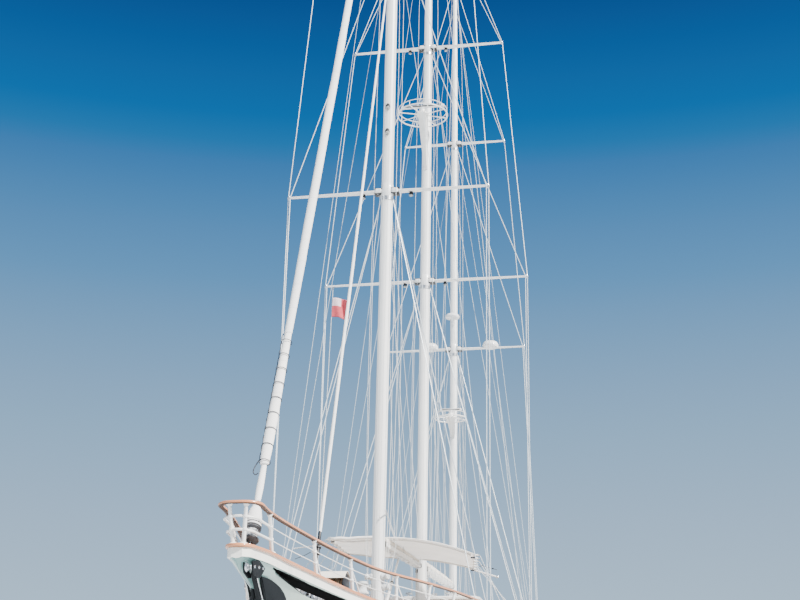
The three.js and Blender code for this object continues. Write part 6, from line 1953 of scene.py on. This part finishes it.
SKYLIGHT = {"x": 5.2, "half": 0.85, "ridge": 0.06, "slope": 22}
slope = math.radians(SKYLIGHT["slope"])
skylight_deck = deck(SKYLIGHT["x"])
ridge_top = skylight_deck + 0.38 + (SKYLIGHT["half"] - SKYLIGHT["ridge"]) * math.tan(slope)
dress(joinery_teak, "skylight")
for name, side in SIDES:
    turn = Matrix.Rotation(-side * slope, 3, "X")
    hinge = Vector((SKYLIGHT["x"], side * 0.07, ridge_top - 0.01 * math.tan(slope)))

    def on_lid(x, down, up):
        return hinge + turn @ Vector((x, side * down, up))
    lid = fresh()
    for x in (-1.19, -0.4, 0.4, 1.19):
        block(lid, on_lid(x, 0.46, 0.026), (0.08, 0.88, 0.05), 0.01, 0, turn=turn)
    for down in (0.055, 0.865):
        block(lid, on_lid(0, down, 0.026), (2.44, 0.09, 0.048), 0.01, 0, turn=turn)
    block(lid, on_lid(0, 0.46, 0.02), (2.36, 0.8, 0.012), 0.004, 1, turn=turn)
    for k in range(14):
        x = -1.08 + k * 2.16 / 13
        rod(lid, on_lid(x, 0.08, 0.048), on_lid(x, 0.84, 0.048), 0.008, 10, 2)
    for x in (-0.9, 0.9):
        block(lid, on_lid(x, 0.02, 0.052), (0.1, 0.06, 0.01), 0.003, 2, turn=turn)
    place("skylight_lid_" + name + "_dressed", lid, [joinery_teak, window_glass, bronze], "teak",
          "skylight_lid_" + name, ["skylight_lid_" + name])
cap = fresh()
block(cap, (SKYLIGHT["x"], 0, ridge_top + 0.018), (2.48, 0.03, 0.03), 0.012, 0)
for x in (SKYLIGHT["x"] - 1.21, SKYLIGHT["x"] + 1.21):
    block(cap, (x, 0, skylight_deck + 0.16), (0.03, 1.5, 0.3), 0.01, 0)
place("skylight_ridge", cap, [joinery_teak], "teak")
print("lids ready")

# %% [markdown]
# Cushions are blown up in a short cloth simulation. Each starts as a slightly small box, remeshed into
# even squares; the seams are pinned, air pressure crowns the faces between them, and the movement of
# every point is held to a few millimetres, so the cushion keeps the size that it was cut to.

# %% Cushions
CUSHION_GRID = 0.014
CUSHION_PUFF = 0.016


def cushion_shape(name, length, width, height):
    """One cushion about its own centre, in model metres."""
    bm = bmesh.new()
    bmesh.ops.create_cube(bm, size=1, matrix=Matrix.Diagonal((length, width, height, 1)))
    bmesh.ops.bevel(bm, geom=bm.edges[:], offset=height * 0.22, affect="EDGES", segments=3, profile=0.5,
                    material=-1)
    mesh = bpy.data.meshes.new(name)
    bm.to_mesh(mesh)
    bm.free()
    shape = bpy.data.objects.new(name, mesh)
    bpy.context.scene.collection.objects.link(shape)
    remesh = shape.modifiers.new("squares", "REMESH")
    remesh.mode = "VOXEL"
    remesh.voxel_size = CUSHION_GRID
    even = evaluated(shape)
    shape.modifiers.clear()
    shape.data = even
    start = [vert.co.copy() for vert in even.vertices]
    seam = shape.vertex_groups.new(name="seam")
    for vert in even.vertices:
        at_side = max(abs(vert.co.x) / (length / 2), abs(vert.co.y) / (width / 2)) > 0.985
        if at_side and abs(abs(vert.co.z) - height * 0.3) < CUSHION_GRID * 0.6:
            seam.add([vert.index], 1.0, "REPLACE")
    cloth = shape.modifiers.new("cloth", "CLOTH")
    cloth.settings.quality = 4
    cloth.settings.use_pressure = True
    cloth.settings.uniform_pressure_force = 4
    cloth.settings.effector_weights.gravity = 0
    cloth.settings.vertex_group_mass = "seam"
    for step in range(1, 21):
        bpy.context.scene.frame_set(step)
    blown = evaluated(shape)
    shape.modifiers.clear()
    shape.data = blown
    for vert, before in zip(blown.vertices, start):
        move = vert.co - before
        if move.length > CUSHION_PUFF:
            vert.co = before + move.normalized() * CUSHION_PUFF
    bpy.context.scene.frame_set(1)
    result = [vert.co.copy() for vert in shape.data.vertices], [tuple(face.vertices)
                                                                for face in shape.data.polygons]
    bpy.data.objects.remove(shape)
    return result


def add_cushion(bm, shape, centre, quarter=False):
    """Puts a copy of a cushion into a bmesh, in real metres, with its grain laid along the cloth."""
    grain = bm.verts.layers.float_vector["grain"]
    turn = Matrix.Rotation(math.pi / 2, 3, "Z") if quarter else Matrix.Identity(3)
    points, faces = shape
    verts = []
    for point in points:
        vert = bm.verts.new(Vector(centre) + turn @ point / MODEL_SCALE)
        vert[grain] = (point.x / MODEL_SCALE + 3, point.y / MODEL_SCALE + point.z / MODEL_SCALE + 3, 0)
        verts.append(vert)
    for face in faces:
        bm.faces.new([verts[i] for i in face])


def piping(bm, centre, length, width, height, quarter=False):
    turn = Matrix.Rotation(math.pi / 2, 3, "Z") if quarter else Matrix.Identity(3)
    outline = rounded_section(length, width, height * 0.3, 4)
    for z in (-height * 0.3, height * 0.3):
        path = [Vector(centre) + turn @ Vector((a, b, z)) for a, b in outline]
        tube(bm, path + path[:2], 0.012, 6, 0, False)


bench_cushion = cushion_shape("bench_cushion", 1.18 * MODEL_SCALE, 0.66 * MODEL_SCALE, 0.13 * MODEL_SCALE)
cross_cushion = cushion_shape("cross_cushion", 1.26 * MODEL_SCALE, 0.54 * MODEL_SCALE, 0.13 * MODEL_SCALE)


def seating(name, top, long_places, y, cross_x, ends, stands_for):
    """Two long benches and one across, with a joinery base and cushions."""
    base, soft, edges = fresh(), fresh(), fresh()
    bench_top = top - 0.13
    front, back, inner, outer = ends
    foot = deck_side((front + back) / 2) + 0.02
    for side in (1, -1):
        block(base, ((front + back) / 2, side * (inner + outer) / 2, (bench_top + foot) / 2),
              (abs(front - back), outer - inner, bench_top - foot), 0.02, 0)
        for x in stations(front - 0.5, back + 0.5, 4):
            block(base, (x, side * (inner - 0.004), (bench_top + foot) / 2 + 0.08), (0.9, 0.016, 0.2),
                  0.006, 0)
            spun(base, [(0, 0), (0.02, 0), (0.02, 0.01), (0, 0.014)],
                 (x, side * (inner - 0.012), (bench_top + foot) / 2 + 0.12), (0, -side, 0), 14, 1)
        for x in long_places:
            centre = (x, side * y, top - 0.068)
            add_cushion(soft, bench_cushion, centre)
            piping(edges, centre, 1.18, 0.66, 0.13)
    low, high = min(cross_x), max(cross_x)
    block(base, ((low + high) / 2, 0, (bench_top + foot) / 2),
          (high - low, 2 * inner + 0.02, bench_top - foot), 0.02, 0)
    for y_place in (-0.65, 0.65):
        centre = ((low + high) / 2, y_place, top - 0.068)
        add_cushion(soft, cross_cushion, centre, True)
        piping(edges, centre, 1.26, 0.54, 0.13, True)
    place(name + "_base", base, [joinery_teak, steel], "teak", stands_for=stands_for)
    cushions = place(name + "_cushions", soft, [seat_canvas], "leather", tidy=False)
    place(name + "_piping", edges, [hem_webbing], "leather")


cockpit_top = deck_side(-15.5) - 0.1 + 0.12 + 0.5
seating("cockpit", cockpit_top, [-14.85, -16.1], 1.8, (-13.6, -14.2), (-13.6, -17.0, 1.5, 2.1),
        ["cockpit_seat"])
saloon_top = deck_side(-7) + 0.12 + 0.48
seating("saloon", saloon_top, [-5.65, -6.87, -8.09], 1.68, (-9.3, -9.9), (-5.0, -9.9, 1.3, 2.05),
        ["saloon_settee"])

# %% [markdown]
# Steering: a column with a compass under a hood, two levers, and a wheel with a teak rim.

# %% Helm and console
HELM_X, HELM_HUB = -18.2, deck(-18.2) + 1.15
column = fresh()
base_z = deck(HELM_X) - 0.02
spun(column, [(0.0, 0.0), (0.3, 0.0), (0.3, 0.03), (0.24, 0.06), (0.19, 0.5), (0.165, 1.0), (0.2, 1.12),
              (0.235, 1.16), (0.235, 1.2), (0.19, 1.26), (0.12, 1.29), (0, 1.3)], (HELM_X, 0, base_z), UP,
     36)
spun(column, [(0, 0), (0.1, 0), (0.095, 0.04), (0.06, 0.08), (0, 0.09)], (HELM_X, 0, base_z + 1.27), UP, 24,
     2)
rod(column, (HELM_X, 0, HELM_HUB), (HELM_X - 0.25, 0, HELM_HUB), 0.05, 20, 1)
for y in (0.19, -0.19):
    rod(column, (HELM_X + 0.02, y, base_z + 0.98), (HELM_X + 0.02, y * 1.25, base_z + 1.2), 0.012, 10, 1)
    spun(column, [(0, -0.03), (0.02, -0.025), (0.028, 0), (0.02, 0.025), (0, 0.03)],
         (HELM_X + 0.02, y * 1.27, base_z + 1.22), UP, 16, 3)
hoop(column, (HELM_X, 0, base_z + 1.18), 0.26, 0.014, UP, 8, 36, 1)
place("helm_column", column, [gloss_paint, steel, lamp_glass, black_rubber], "white_paint",
      stands_for=["helm_pedestal"])

wheel = fresh()
plane = HELM_X - 0.34
hoop(wheel, (plane, 0, HELM_HUB), 0.62, 0.032, X_AXIS, 12, 64, 0)
hoop(wheel, (plane, 0, HELM_HUB), 0.585, 0.012, X_AXIS, 8, 64, 1)
for k in range(8):
    angle = k * math.pi / 4 + math.pi / 8
    out = Vector((0, math.cos(angle), math.sin(angle)))
    hub = Vector((plane, 0, HELM_HUB))
    tube(wheel, [hub + out * 0.05 + Vector((0.03, 0, 0)), hub + out * 0.3 + Vector((0.012, 0, 0)),
                 hub + out * 0.6], [0.02, 0.015, 0.013], 10, 1)
spun(wheel, [(0, -0.08), (0.06, -0.08), (0.09, -0.05), (0.09, 0.05), (0.07, 0.075), (0.03, 0.08),
             (0, 0.08)],
     (plane, 0, HELM_HUB), X_AXIS, 28, 1)
place("steering_wheel_dressed", wheel, [rail_teak, steel], "teak", "steering_wheel", ["steering_wheel"])

console = fresh()
front_x = -2.45
floor = deck_side(-2.8)
loft(console, [[(front_x + dx, y, floor + z)
                for dx, z in ((0, 0.02), (0, 0.98), (-0.06, 1.04), (-0.28, 1.03), (-0.62, 0.86),
     (-0.65, 0.80), (-0.60, 0.74), (-0.42, 0.6), (-0.4, 0.02))] for y in (-1.3, -1.29, 0, 1.29, 1.3)])
tilt = Matrix.Rotation(math.radians(-26), 3, "Y")
for y in (-0.9, -0.3, 0.3, 0.9):
    block(console, (front_x - 0.44, y, floor + 0.965), (0.3, 0.5, 0.012), 0.005, 1, turn=tilt)
for k in range(7):
    spun(console, [(0, 0), (0.025, 0), (0.02, 0.03), (0, 0.035)],
         (front_x - 0.62, -1.05 + k * 0.35, floor + 0.84), (-0.5, 0, 1), 14, 2)
place("console_dressed", console, [console_moulding, window_glass, steel], "dark_metal",
      stands_for=["wheelhouse_console"])
print("helm ready")

# %% [markdown]
# On the foredeck stands the windlass: a casting with two wildcats for the chain, a rope drum at each
# end, and a capstan behind. Links of chain run from it, over the stem, to the anchor below.

# %% Windlass, chain and anchor
def chain(bm, points, size=0.055, finish=0):
    """Links along a path, each turned a quarter from the last."""
    path = [Vector(point) for point in points]
    spans = [(b - a).length for a, b in zip(path, path[1:])]
    count = int(sum(spans) / (size * 1.5))
    for k in range(count):
        reach, i = (k + 0.5) * sum(spans) / count, 0
        while i < len(spans) - 1 and reach > spans[i]:
            reach -= spans[i]
            i += 1
        centre = path[i].lerp(path[i + 1], reach / spans[i])
        along = (path[i + 1] - path[i]).normalized()
        side = along.orthogonal().normalized()
        if k % 2:
            side = along.cross(side)
        link = []
        for step in range(12):
            turn = 2 * math.pi * step / 12
            link.append(centre + along * (math.cos(turn) * size) + side * (math.sin(turn) * size * 0.62))
        tube(bm, link + link[:2], size * 0.2, 5, finish, False)


WINDLASS_X = 20.6
windlass_deck = deck_side(WINDLASS_X) - 0.1
shaft = windlass_deck + 0.55
wind = fresh()
block(wind, (WINDLASS_X, 0, windlass_deck + 0.2), (0.8, 1.0, 0.24), 0.05, 0, 3)
block(wind, (WINDLASS_X, 0, windlass_deck + 0.08), (0.72, 0.92, 0.1), 0.01, 1)
for y in (-0.26, 0.26):
    block(wind, (WINDLASS_X, y * 0.18, windlass_deck + 0.44), (0.34, 0.07, 0.34), 0.05, 0, 3)
block(wind, (WINDLASS_X, 0, shaft), (0.36, 0.16, 0.36), 0.1, 0, 3)
for side in (1, -1):
    spun(wind, [(0.05, -0.09), (0.27, -0.085), (0.28, -0.06), (0.2, -0.02), (0.2, 0.02), (0.28, 0.06),
                (0.27, 0.085), (0.05, 0.09)],
         (WINDLASS_X, side * 0.2, shaft), Y_AXIS, 32, 0)
    for k in range(10):
        turn = k * math.pi / 5
        out = Vector((math.cos(turn), 0, math.sin(turn)))
        block(wind, Vector((WINDLASS_X, side * 0.2, shaft)) + out * 0.215, (0.05, 0.07, 0.05), 0.01, 1)
    spun(wind, [(0.06, -0.24), (0.2, -0.23), (0.2, -0.19), (0.15, -0.14), (0.12, 0.0), (0.125, 0.1),
                (0.165, 0.17), (0.19, 0.2), (0.18, 0.23), (0.1, 0.24), (0.0, 0.24)],
         (WINDLASS_X, side * 0.54, shaft), Y_AXIS * side, 32, 0)
    for k in range(3):
        hoop(wind, (WINDLASS_X, side * (0.49 + k * 0.034), shaft), 0.14, 0.016, Y_AXIS, 6, 22, 2)
spun(wind, [(0.0, 0.5), (0.16, 0.5), (0.17, 0.53), (0.12, 0.6), (0.1, 0.75), (0.11, 0.88), (0.145, 0.95),
            (0.145, 0.98), (0.1, 1.0), (0, 1.0)],
     (WINDLASS_X - 0.15, 0, windlass_deck), UP, 32, 0)
place("windlass_dressed", wind, [steel, anodised, white_rope], "steel", stands_for=["windlass"])

links = fresh()
over = [(WINDLASS_X + 0.22, 0.2, shaft + 0.02), (21.6, 0.18, deck(21.6) + 0.28),
        (23.0, 0.14, deck(23.0) + 0.14), (24.6, 0.14, deck(24.6) + 0.12), (25.8, 0.12, 4.58)]
chain(links, smoothed(over, 3), 0.05)
chain(links, [(25.86, -0.02, 4.98), (25.84, -0.03, 4.66), (25.86, 0.02, 4.52)], 0.05, 1)
for x, height in ((22.2, 0.2), (24.0, 0.16)):
    block(links, (x, 0.15, deck(x) + height / 2), (0.34, 0.2, height), 0.03, 2)
    rod(links, (x - 0.05, 0.02, deck(x) + height + 0.05), (x - 0.05, 0.3, deck(x) + height + 0.05), 0.022,
        12, 2)
place("anchor_chain", links, [galvanised, anodised, steel], "dark_metal")

ANCHOR_HEAD, ANCHOR_CROWN = Vector((26.2, 0.22, 4.15)), Vector((24.75, 0.08, 3.42))
ANCHOR_CHEEK = [(26.6, 4.35), (26.1, 4.45), (25.5, 4.37), (25.72, 4.2), (25.92, 4.07), (26.2, 4.02),
                (26.54, 4.11)]
anchor = fresh()
for inner, outer in ((0.1, 0.13), (0.3, 0.335)):
    loft(anchor, [[(x, y, z) for x, z in ANCHOR_CHEEK] for y in (inner, outer)], finish=0)
for x, z, radius in ((26.45, 4.25, 0.09), (26.1, 4.28, 0.07), (25.75, 4.3, 0.05)):
    spun(anchor, [(0.03, -0.08), (radius, -0.07), (radius * 0.7, 0), (radius, 0.07), (0.03, 0.08)],
         (x, 0.215, z), Y_AXIS, 20, 1)
    spun(anchor, [(0, -0.015), (0.04, -0.01), (0.035, 0.02), (0, 0.025)], (x, 0.335, z), Y_AXIS, 14, 1)
lean = (ANCHOR_CROWN - ANCHOR_HEAD).normalized()
above = lean.cross(Y_AXIS).normalized()
loft(anchor, [[ANCHOR_HEAD.lerp(ANCHOR_CROWN, t) + Y_AXIS * (a * w) + above * (b * w * 1.5)
               for a, b in rounded_section(0.09, 0.09, 0.02, 3)]
              for t, w in ((0, 0.8), (0.2, 0.95), (0.6, 1.1), (0.95, 1.3), (1, 1.1))], finish=0)
tube(anchor, [ANCHOR_HEAD.lerp(ANCHOR_CROWN, t) + Y_AXIS * 0.075 for t in (0.12, 0.5, 0.9)], 0.016, 8, 1)
rod(anchor, ANCHOR_CROWN + Vector((0, -0.27, 0)), ANCHOR_CROWN + Vector((0, 0.46, 0)), 0.07, 20, 0)
for end in (-0.27, 0.46):
    spun(anchor, [(0, -0.03), (0.085, -0.02), (0.09, 0.02), (0, 0.04)], ANCHOR_CROWN + Vector((0, end, 0)),
         Y_AXIS * math.copysign(1, end), 20)
block(anchor, ANCHOR_CROWN + Vector((0.03, 0, 0.0)), (0.3, 0.36, 0.2), 0.06, 0, 3,
      Matrix.Rotation(math.radians(-28), 3, "Y"))
BLADE = [(25.58, 0.25, 4.12), (25.1, 0.34, 4.1), (24.5, 0.42, 3.98), (24.12, 0.46, 3.78),
         (24.2, 0.47, 3.56), (24.5, 0.46, 3.42), (24.83, 0.25, 3.4)]
for side in (1, -1):
    blade = [Vector((x, 0.13 + side * (y - 0.13), z)) for x, y, z in BLADE]
    normal = (blade[2] - blade[0]).cross(blade[5] - blade[0]).normalized()
    loft(anchor, [[point + normal * step for point in blade] for step in (-0.025, 0.025)], finish=0)
    tube(anchor, [ANCHOR_CROWN + Vector((0, side * 0.3 - 0.08, 0.02)),
                  blade[6].lerp(blade[0], 0.5) + normal * 0.03, blade[0] + normal * 0.02],
         [0.06, 0.05, 0.02], 10, 0)
    tube(anchor, smoothed(blade[:5], 2), 0.03, 8, 0)
hoop(anchor, (26.62, 0.2, 4.22), 0.09, 0.022, Y_AXIS, 8, 20, 1)
# The anchor's near-black finish is painted shade under the bow.
place("anchor_dressed", anchor, [anchor_shade_black, steel], "dark_metal", stands_for=["anchor"])

# %% [markdown]
# Deck gear comes in pairs, so each kind is made once by a function and set out from a short table.

# %% Winches, bollards, vents and boxes
gear = fresh()
WINCH_PLACES = [(-12.6, 2.9, 1.5), (-13.4, 3.3, 1.2), (-17.6, 1.8, 1.1), (7.8, 1.2, 1.2), (-0.2, 1.5, 1.2),
                (11.2, 1.3, 1.0)]
for x, y, size in WINCH_PLACES:
    for side in (1, -1):
        winch(gear, Vector((x, side * y, deck(x, side * y))), UP, size)
for x, y in ((19.0, 1.25), (17.2, 1.95), (2.0, 4.3), (-8.0, 4.3), (-18.4, 3.5), (-22.6, 2.9)):
    for side in (1, -1):
        foot = Vector((x, side * y, deck(x, side * y)))
        block(gear, foot + UP * 0.015, (0.62, 0.2, 0.03), 0.012, 0)
        for dx in (-0.18, 0.18):
            spun(gear, [(0.07, 0), (0.055, 0.04), (0.05, 0.2), (0.075, 0.23), (0.075, 0.26), (0.04, 0.275),
                        (0, 0.28)],
                 foot + Vector((dx, 0, 0.02)), UP, 20, 0)
for x, y, size in ((16.4, 0.9, 1.3), (12.0, -1.0, 1.2), (3.0, 1.6, 1.2), (3.0, -1.6, 1.2),
                   (-21.2, 1.2, 1.1), (-21.2, -1.2, 1.1)):
    mushroom_vent(gear, (x, y, deck(x, y)), size)
for side in (1, -1):
    for x in (19.4, 12.9, 6.1, -1.5, -8.9, -15.7):
        y, cap = side * (hull(x, BREADTH) - 0.15 - 0.02), hull(x, CAP)
        block(gear, (x, y, cap + 0.055), (0.42, 0.1, 0.03), 0.012)
        for dx in (-0.12, 0.12):
            tube(gear, [(x + dx, y, cap + 0.05), (x + dx, y, cap + 0.13), (x + dx * 0.5, y, cap + 0.17)],
                 [0.028, 0.024, 0.02], 10)
for side in (1, -1):
    post = Vector((17.1, side * 0.95, deck(17.1, 0.95)))
    spun(gear, [(0, 0), (0.2, 0), (0.2, 0.03), (0.1, 0.09), (0.085, 0.3), (0.085, 1.0), (0.14, 1.08),
                (0.14, 1.12), (0, 1.12)], post, UP, 24, 4)
    winch(gear, post + UP * 1.12, UP, 1.2)
    for z, turn in ((6.12, 0.45), (5.75, 0.2)):
        out = Vector((turn, side, 0)).normalized()
        winch(gear, FORE.axis(z) + out * (FORE.radius(z) - 0.01), out, 0.8)
place("deck_fittings", gear, [steel, anodised, white_rope, black_rubber, gloss_paint], "steel")

reel = fresh()
REEL = Vector((19.55, 0.66, deck(19.55, 0.66) + 0.84))
for side in (1, -1):
    spun(reel, [(0, 0.3), (0.1, 0.3), (0.47, 0.305), (0.48, 0.32), (0.46, 0.335), (0.1, 0.34), (0.08, 0.38),
                (0, 0.38)],
         REEL, Y_AXIS * side, 36, 0)
    for lean in (0.42, -0.42):
        foot = Vector((REEL.x + lean, REEL.y + side * 0.42, deck(REEL.x + lean, REEL.y)))
        tube(reel, [foot, foot.lerp(REEL + Y_AXIS * (side * 0.42), 0.9), REEL + Y_AXIS * (side * 0.4)],
             0.03, 10, 2)
for k in range(12):
    hoop(reel, REEL + Y_AXIS * (0.05 * k - 0.275), 0.37 + 0.02 * math.sin(2.3 * k), 0.027, Y_AXIS, 8, 30, 1)
arch = []
for step in range(9):
    turn = math.radians(35 + 110 * step / 8)
    reach = 0.52 + 0.012 * math.sin(5 * turn)
    outline = [(y, reach) for y in (-0.37, -0.2, 0, 0.2, 0.37)] + [(y, reach - 0.012)
                                                                   for y in (0.37, 0.2, 0, -0.2, -0.37)]
    arch.append([REEL + Vector((math.cos(turn) * out, y, math.sin(turn) * out)) for y, out in outline])
loft(reel, arch, finish=3)
place("line_reel", reel, [anodised, brown_rope, steel, cover_canvas], "dark_metal", edge=40)

boxes = fresh()
for x, y, long, wide, tall in ((17.9, 0.0, 1.1, 1.5, 0.5), (10.9, 0.0, 0.7, 1.7, 0.55),
                               (1.3, 0.0, 0.8, 1.6, 0.55), (-11.6, 1.25, 0.9, 0.7, 0.5),
                               (-11.6, -1.25, 0.9, 0.7, 0.5), (-22.4, 0.0, 1.0, 2.2, 0.5)):
    floor_z = deck(x, y)
    block(boxes, (x, y, floor_z + tall * 0.46), (long, wide, tall * 0.9), 0.04, 0, 3)
    block(boxes, (x, y, floor_z + tall * 0.93), (long + 0.05, wide + 0.05, 0.06), 0.025, 1, 3)
    for dy in (-wide * 0.3, wide * 0.3):
        block(boxes, (x + long / 2 + 0.012, y + dy, floor_z + tall * 0.78), (0.02, 0.06, 0.1), 0.006, 2)
place("deck_boxes", boxes, [house_paint, joinery_teak, steel], "white_paint")


def coil(bm, centre, radius, turns, thick, finish):
    """Rope coil: a helix that also wanders in and out."""
    right = UP.orthogonal().normalized()
    ahead = UP.cross(right)
    path = []
    for k in range(turns * 16 + 1):
        turn = 2 * math.pi * k / 16
        rounds = turn / (2 * math.pi)
        size = radius * (1 + 0.08 * math.sin(turn * 0.37 + 1) - 0.04 * math.floor(rounds) / turns)
        lift = 0.9 * thick * rounds
        path.append(Vector(centre) + right * (math.cos(turn) * size) + ahead * (math.sin(turn) * size)
                    + UP * lift)
    tube(bm, path, thick, 6, finish)


ropes = fresh()
for mast in MASTS:
    x = mast.axis(4.8).x
    for k, (dx, side, tall) in enumerate(((0.12, 1, 0.42), (-0.1, 1, 0.36), (0.12, -1, 0.4),
                                          (-0.12, -1, 0.34))):
        hang = Vector((x + dx, side * (mast.radius(4.8) + 0.11), 4.95 - 0.1 * k))
        for turn in range(4):
            low = hang + Vector((0.02 * turn - 0.03, side * 0.012 * turn, -tall))
            tube(ropes, smoothed([hang, hang + Vector((0.07 + 0.01 * turn, side * 0.02, -tall * 0.5)), low,
                                  hang + Vector((-0.07 - 0.01 * turn, side * 0.02, -tall * 0.5)), hang], 4),
                 0.012, 6, k % 2)
for x, y, size in ((19.6, -1.0, 0.3), (16.0, 1.7, 0.34), (9.2, 2.2, 0.3), (0.4, -2.4, 0.3),
                   (-19.0, 1.0, 0.3), (-12.9, -2.2, 0.26)):
    coil(ropes, (x, y, deck(x, y) + 0.02), size, 5, 0.016, 0 if y > 0 else 1)
place("rope_coils", ropes, [white_rope, dark_rope], "white_paint")

RAFT_X, RAFT_Y = -19.6, 2.9
raft_z = deck_side(RAFT_X) - 0.1 + 0.62
for name, side in SIDES:
    raft = fresh()
    centre = Vector((RAFT_X, side * RAFT_Y, raft_z))
    shell = [(0, -0.75), (0.16, -0.745), (0.27, -0.70), (0.325, -0.6), (0.335, -0.5), (0.335, -0.06),
             (0.33, -0.05), (0.33, -0.03), (0.338, -0.02), (0.338, 0.02), (0.33, 0.03), (0.33, 0.05),
             (0.335, 0.06), (0.335, 0.5), (0.325, 0.6), (0.27, 0.70), (0.16, 0.745), (0, 0.75)]
    spun(raft, shell, centre, X_AXIS, 40, 0)
    for x in (-0.4, 0.4):
        hoop(raft, centre + Vector((x, 0, 0)), 0.338, 0.012, X_AXIS, 6, 40, 1)
        for y in (-0.24, 0.24):
            rod(raft, centre + Vector((x, y, -0.22)), centre + Vector((x, y * 0.9, -0.62)), 0.022, 10, 2)
        rod(raft, centre + Vector((x, -0.26, -0.24)), centre + Vector((x, 0.26, -0.24)), 0.022, 10, 2)
    for y in (-0.22, 0.22):
        rod(raft, centre + Vector((-0.48, y, -0.6)), centre + Vector((0.48, y, -0.6)), 0.022, 10, 2)
    place("life_raft_" + name + "_dressed", raft, [gloss_paint, strap_webbing, steel], "white_paint",
          stands_for=["life_raft_" + name])

dress(keel_paint, "ballast_keel", "rudder_skeg", "rudder")
dress(bronze, "shaft_strut", "propeller")

# %% [markdown]
# The studio: a plain pale floor at the waterline, a plain soft backdrop that pales towards the floor, and
# two soft lights. A large warm sun lamp stands high on the port side; a broad sky light fills the shade.

# %% Floor, backdrop and light
FLOOR_HALF = 150.0


def floor_finish():
    finish = Finish("pale_floor", (0.62, 0.65, 0.67), 0.85)
    cloud = finish.noise(finish.place(), 0.15, 2.0)
    return finish.surface(Base_Color=finish.mix(cloud * 0.3, (0.62, 0.65, 0.67), (0.56, 0.60, 0.63)))


floor = fresh()
bmesh.ops.create_grid(floor, x_segments=1, y_segments=1, size=FLOOR_HALF / MODEL_SCALE)
place("floor", floor, [floor_finish()], "white_paint", rides=None)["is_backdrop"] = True


BACKDROP_COLOURS = [  # height of the view above the horizon, as a sine, and colour there
    (0.08, (0.56, 0.76, 0.98)), (0.23, (0.32, 0.54, 0.80)), (0.35, (0.12, 0.34, 0.66)),
    (0.47, (0.010, 0.155, 0.47)), (0.55, (0.0, 0.075, 0.30)),
]


def backdrop():
    """Soft blue-grey behind the rig for the camera, and an even pale sky for the light."""
    world = bpy.data.worlds.new("backdrop")
    world.use_nodes = True
    tree = world.node_tree
    tree.nodes.clear()
    output = tree.nodes.new("ShaderNodeOutputWorld")
    seen = tree.nodes.new("ShaderNodeBackground")
    light = tree.nodes.new("ShaderNodeBackground")
    light.inputs["Color"].default_value = (0.72, 0.83, 1.0, 1)
    light.inputs["Strength"].default_value = 0.8
    where = tree.nodes.new("ShaderNodeTexCoord")
    split = tree.nodes.new("ShaderNodeSeparateXYZ")
    ramp = tree.nodes.new("ShaderNodeValToRGB")
    for place, colour in BACKDROP_COLOURS:
        stop = ramp.color_ramp.elements.new(place)
        stop.color = (*colour, 1)
    ramp.color_ramp.elements.remove(ramp.color_ramp.elements[0])
    tree.links.new(where.outputs["Generated"], split.inputs[0])
    tree.links.new(split.outputs["Z"], ramp.inputs[0])
    tree.links.new(ramp.outputs["Color"], seen.inputs["Color"])
    path = tree.nodes.new("ShaderNodeLightPath")
    mix = tree.nodes.new("ShaderNodeMixShader")
    tree.links.new(path.outputs["Is Camera Ray"], mix.inputs[0])
    tree.links.new(light.outputs[0], mix.inputs[1])
    tree.links.new(seen.outputs[0], mix.inputs[2])
    tree.links.new(mix.outputs[0], output.inputs["Surface"])
    bpy.context.scene.world = world


def sun(name, towards, strength, colour, softness):
    lamp = bpy.data.lights.new(name, "SUN")
    lamp.energy = strength
    lamp.color = colour
    lamp.angle = math.radians(softness)
    holder = bpy.data.objects.new(name, lamp)
    holder.rotation_euler = Vector(towards).to_track_quat("Z", "Y").to_euler()
    bpy.context.scene.collection.objects.link(holder)


backdrop()
KEY_STRENGTH, KEY_SOFTNESS = 13.0, 5        # softness is the lamp's width in degrees
FILL_STRENGTH, FILL_SOFTNESS = 0.3, 30
sun("key_light", (0.35, 0.75, 0.80), KEY_STRENGTH, (1.0, 0.95, 0.89), KEY_SOFTNESS)
sun("fill_light", (0.6, -0.7, 0.35), FILL_STRENGTH, (0.85, 0.92, 1.0), FILL_SOFTNESS)
print("stage set")

# %% [markdown]
# The box round everything that is shown is printed. The visual model has to keep inside the CAD model's
# box.

# %% Sizes
low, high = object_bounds()
print("box", [round(v, 4) for v in low], [round(v, 4) for v in high])
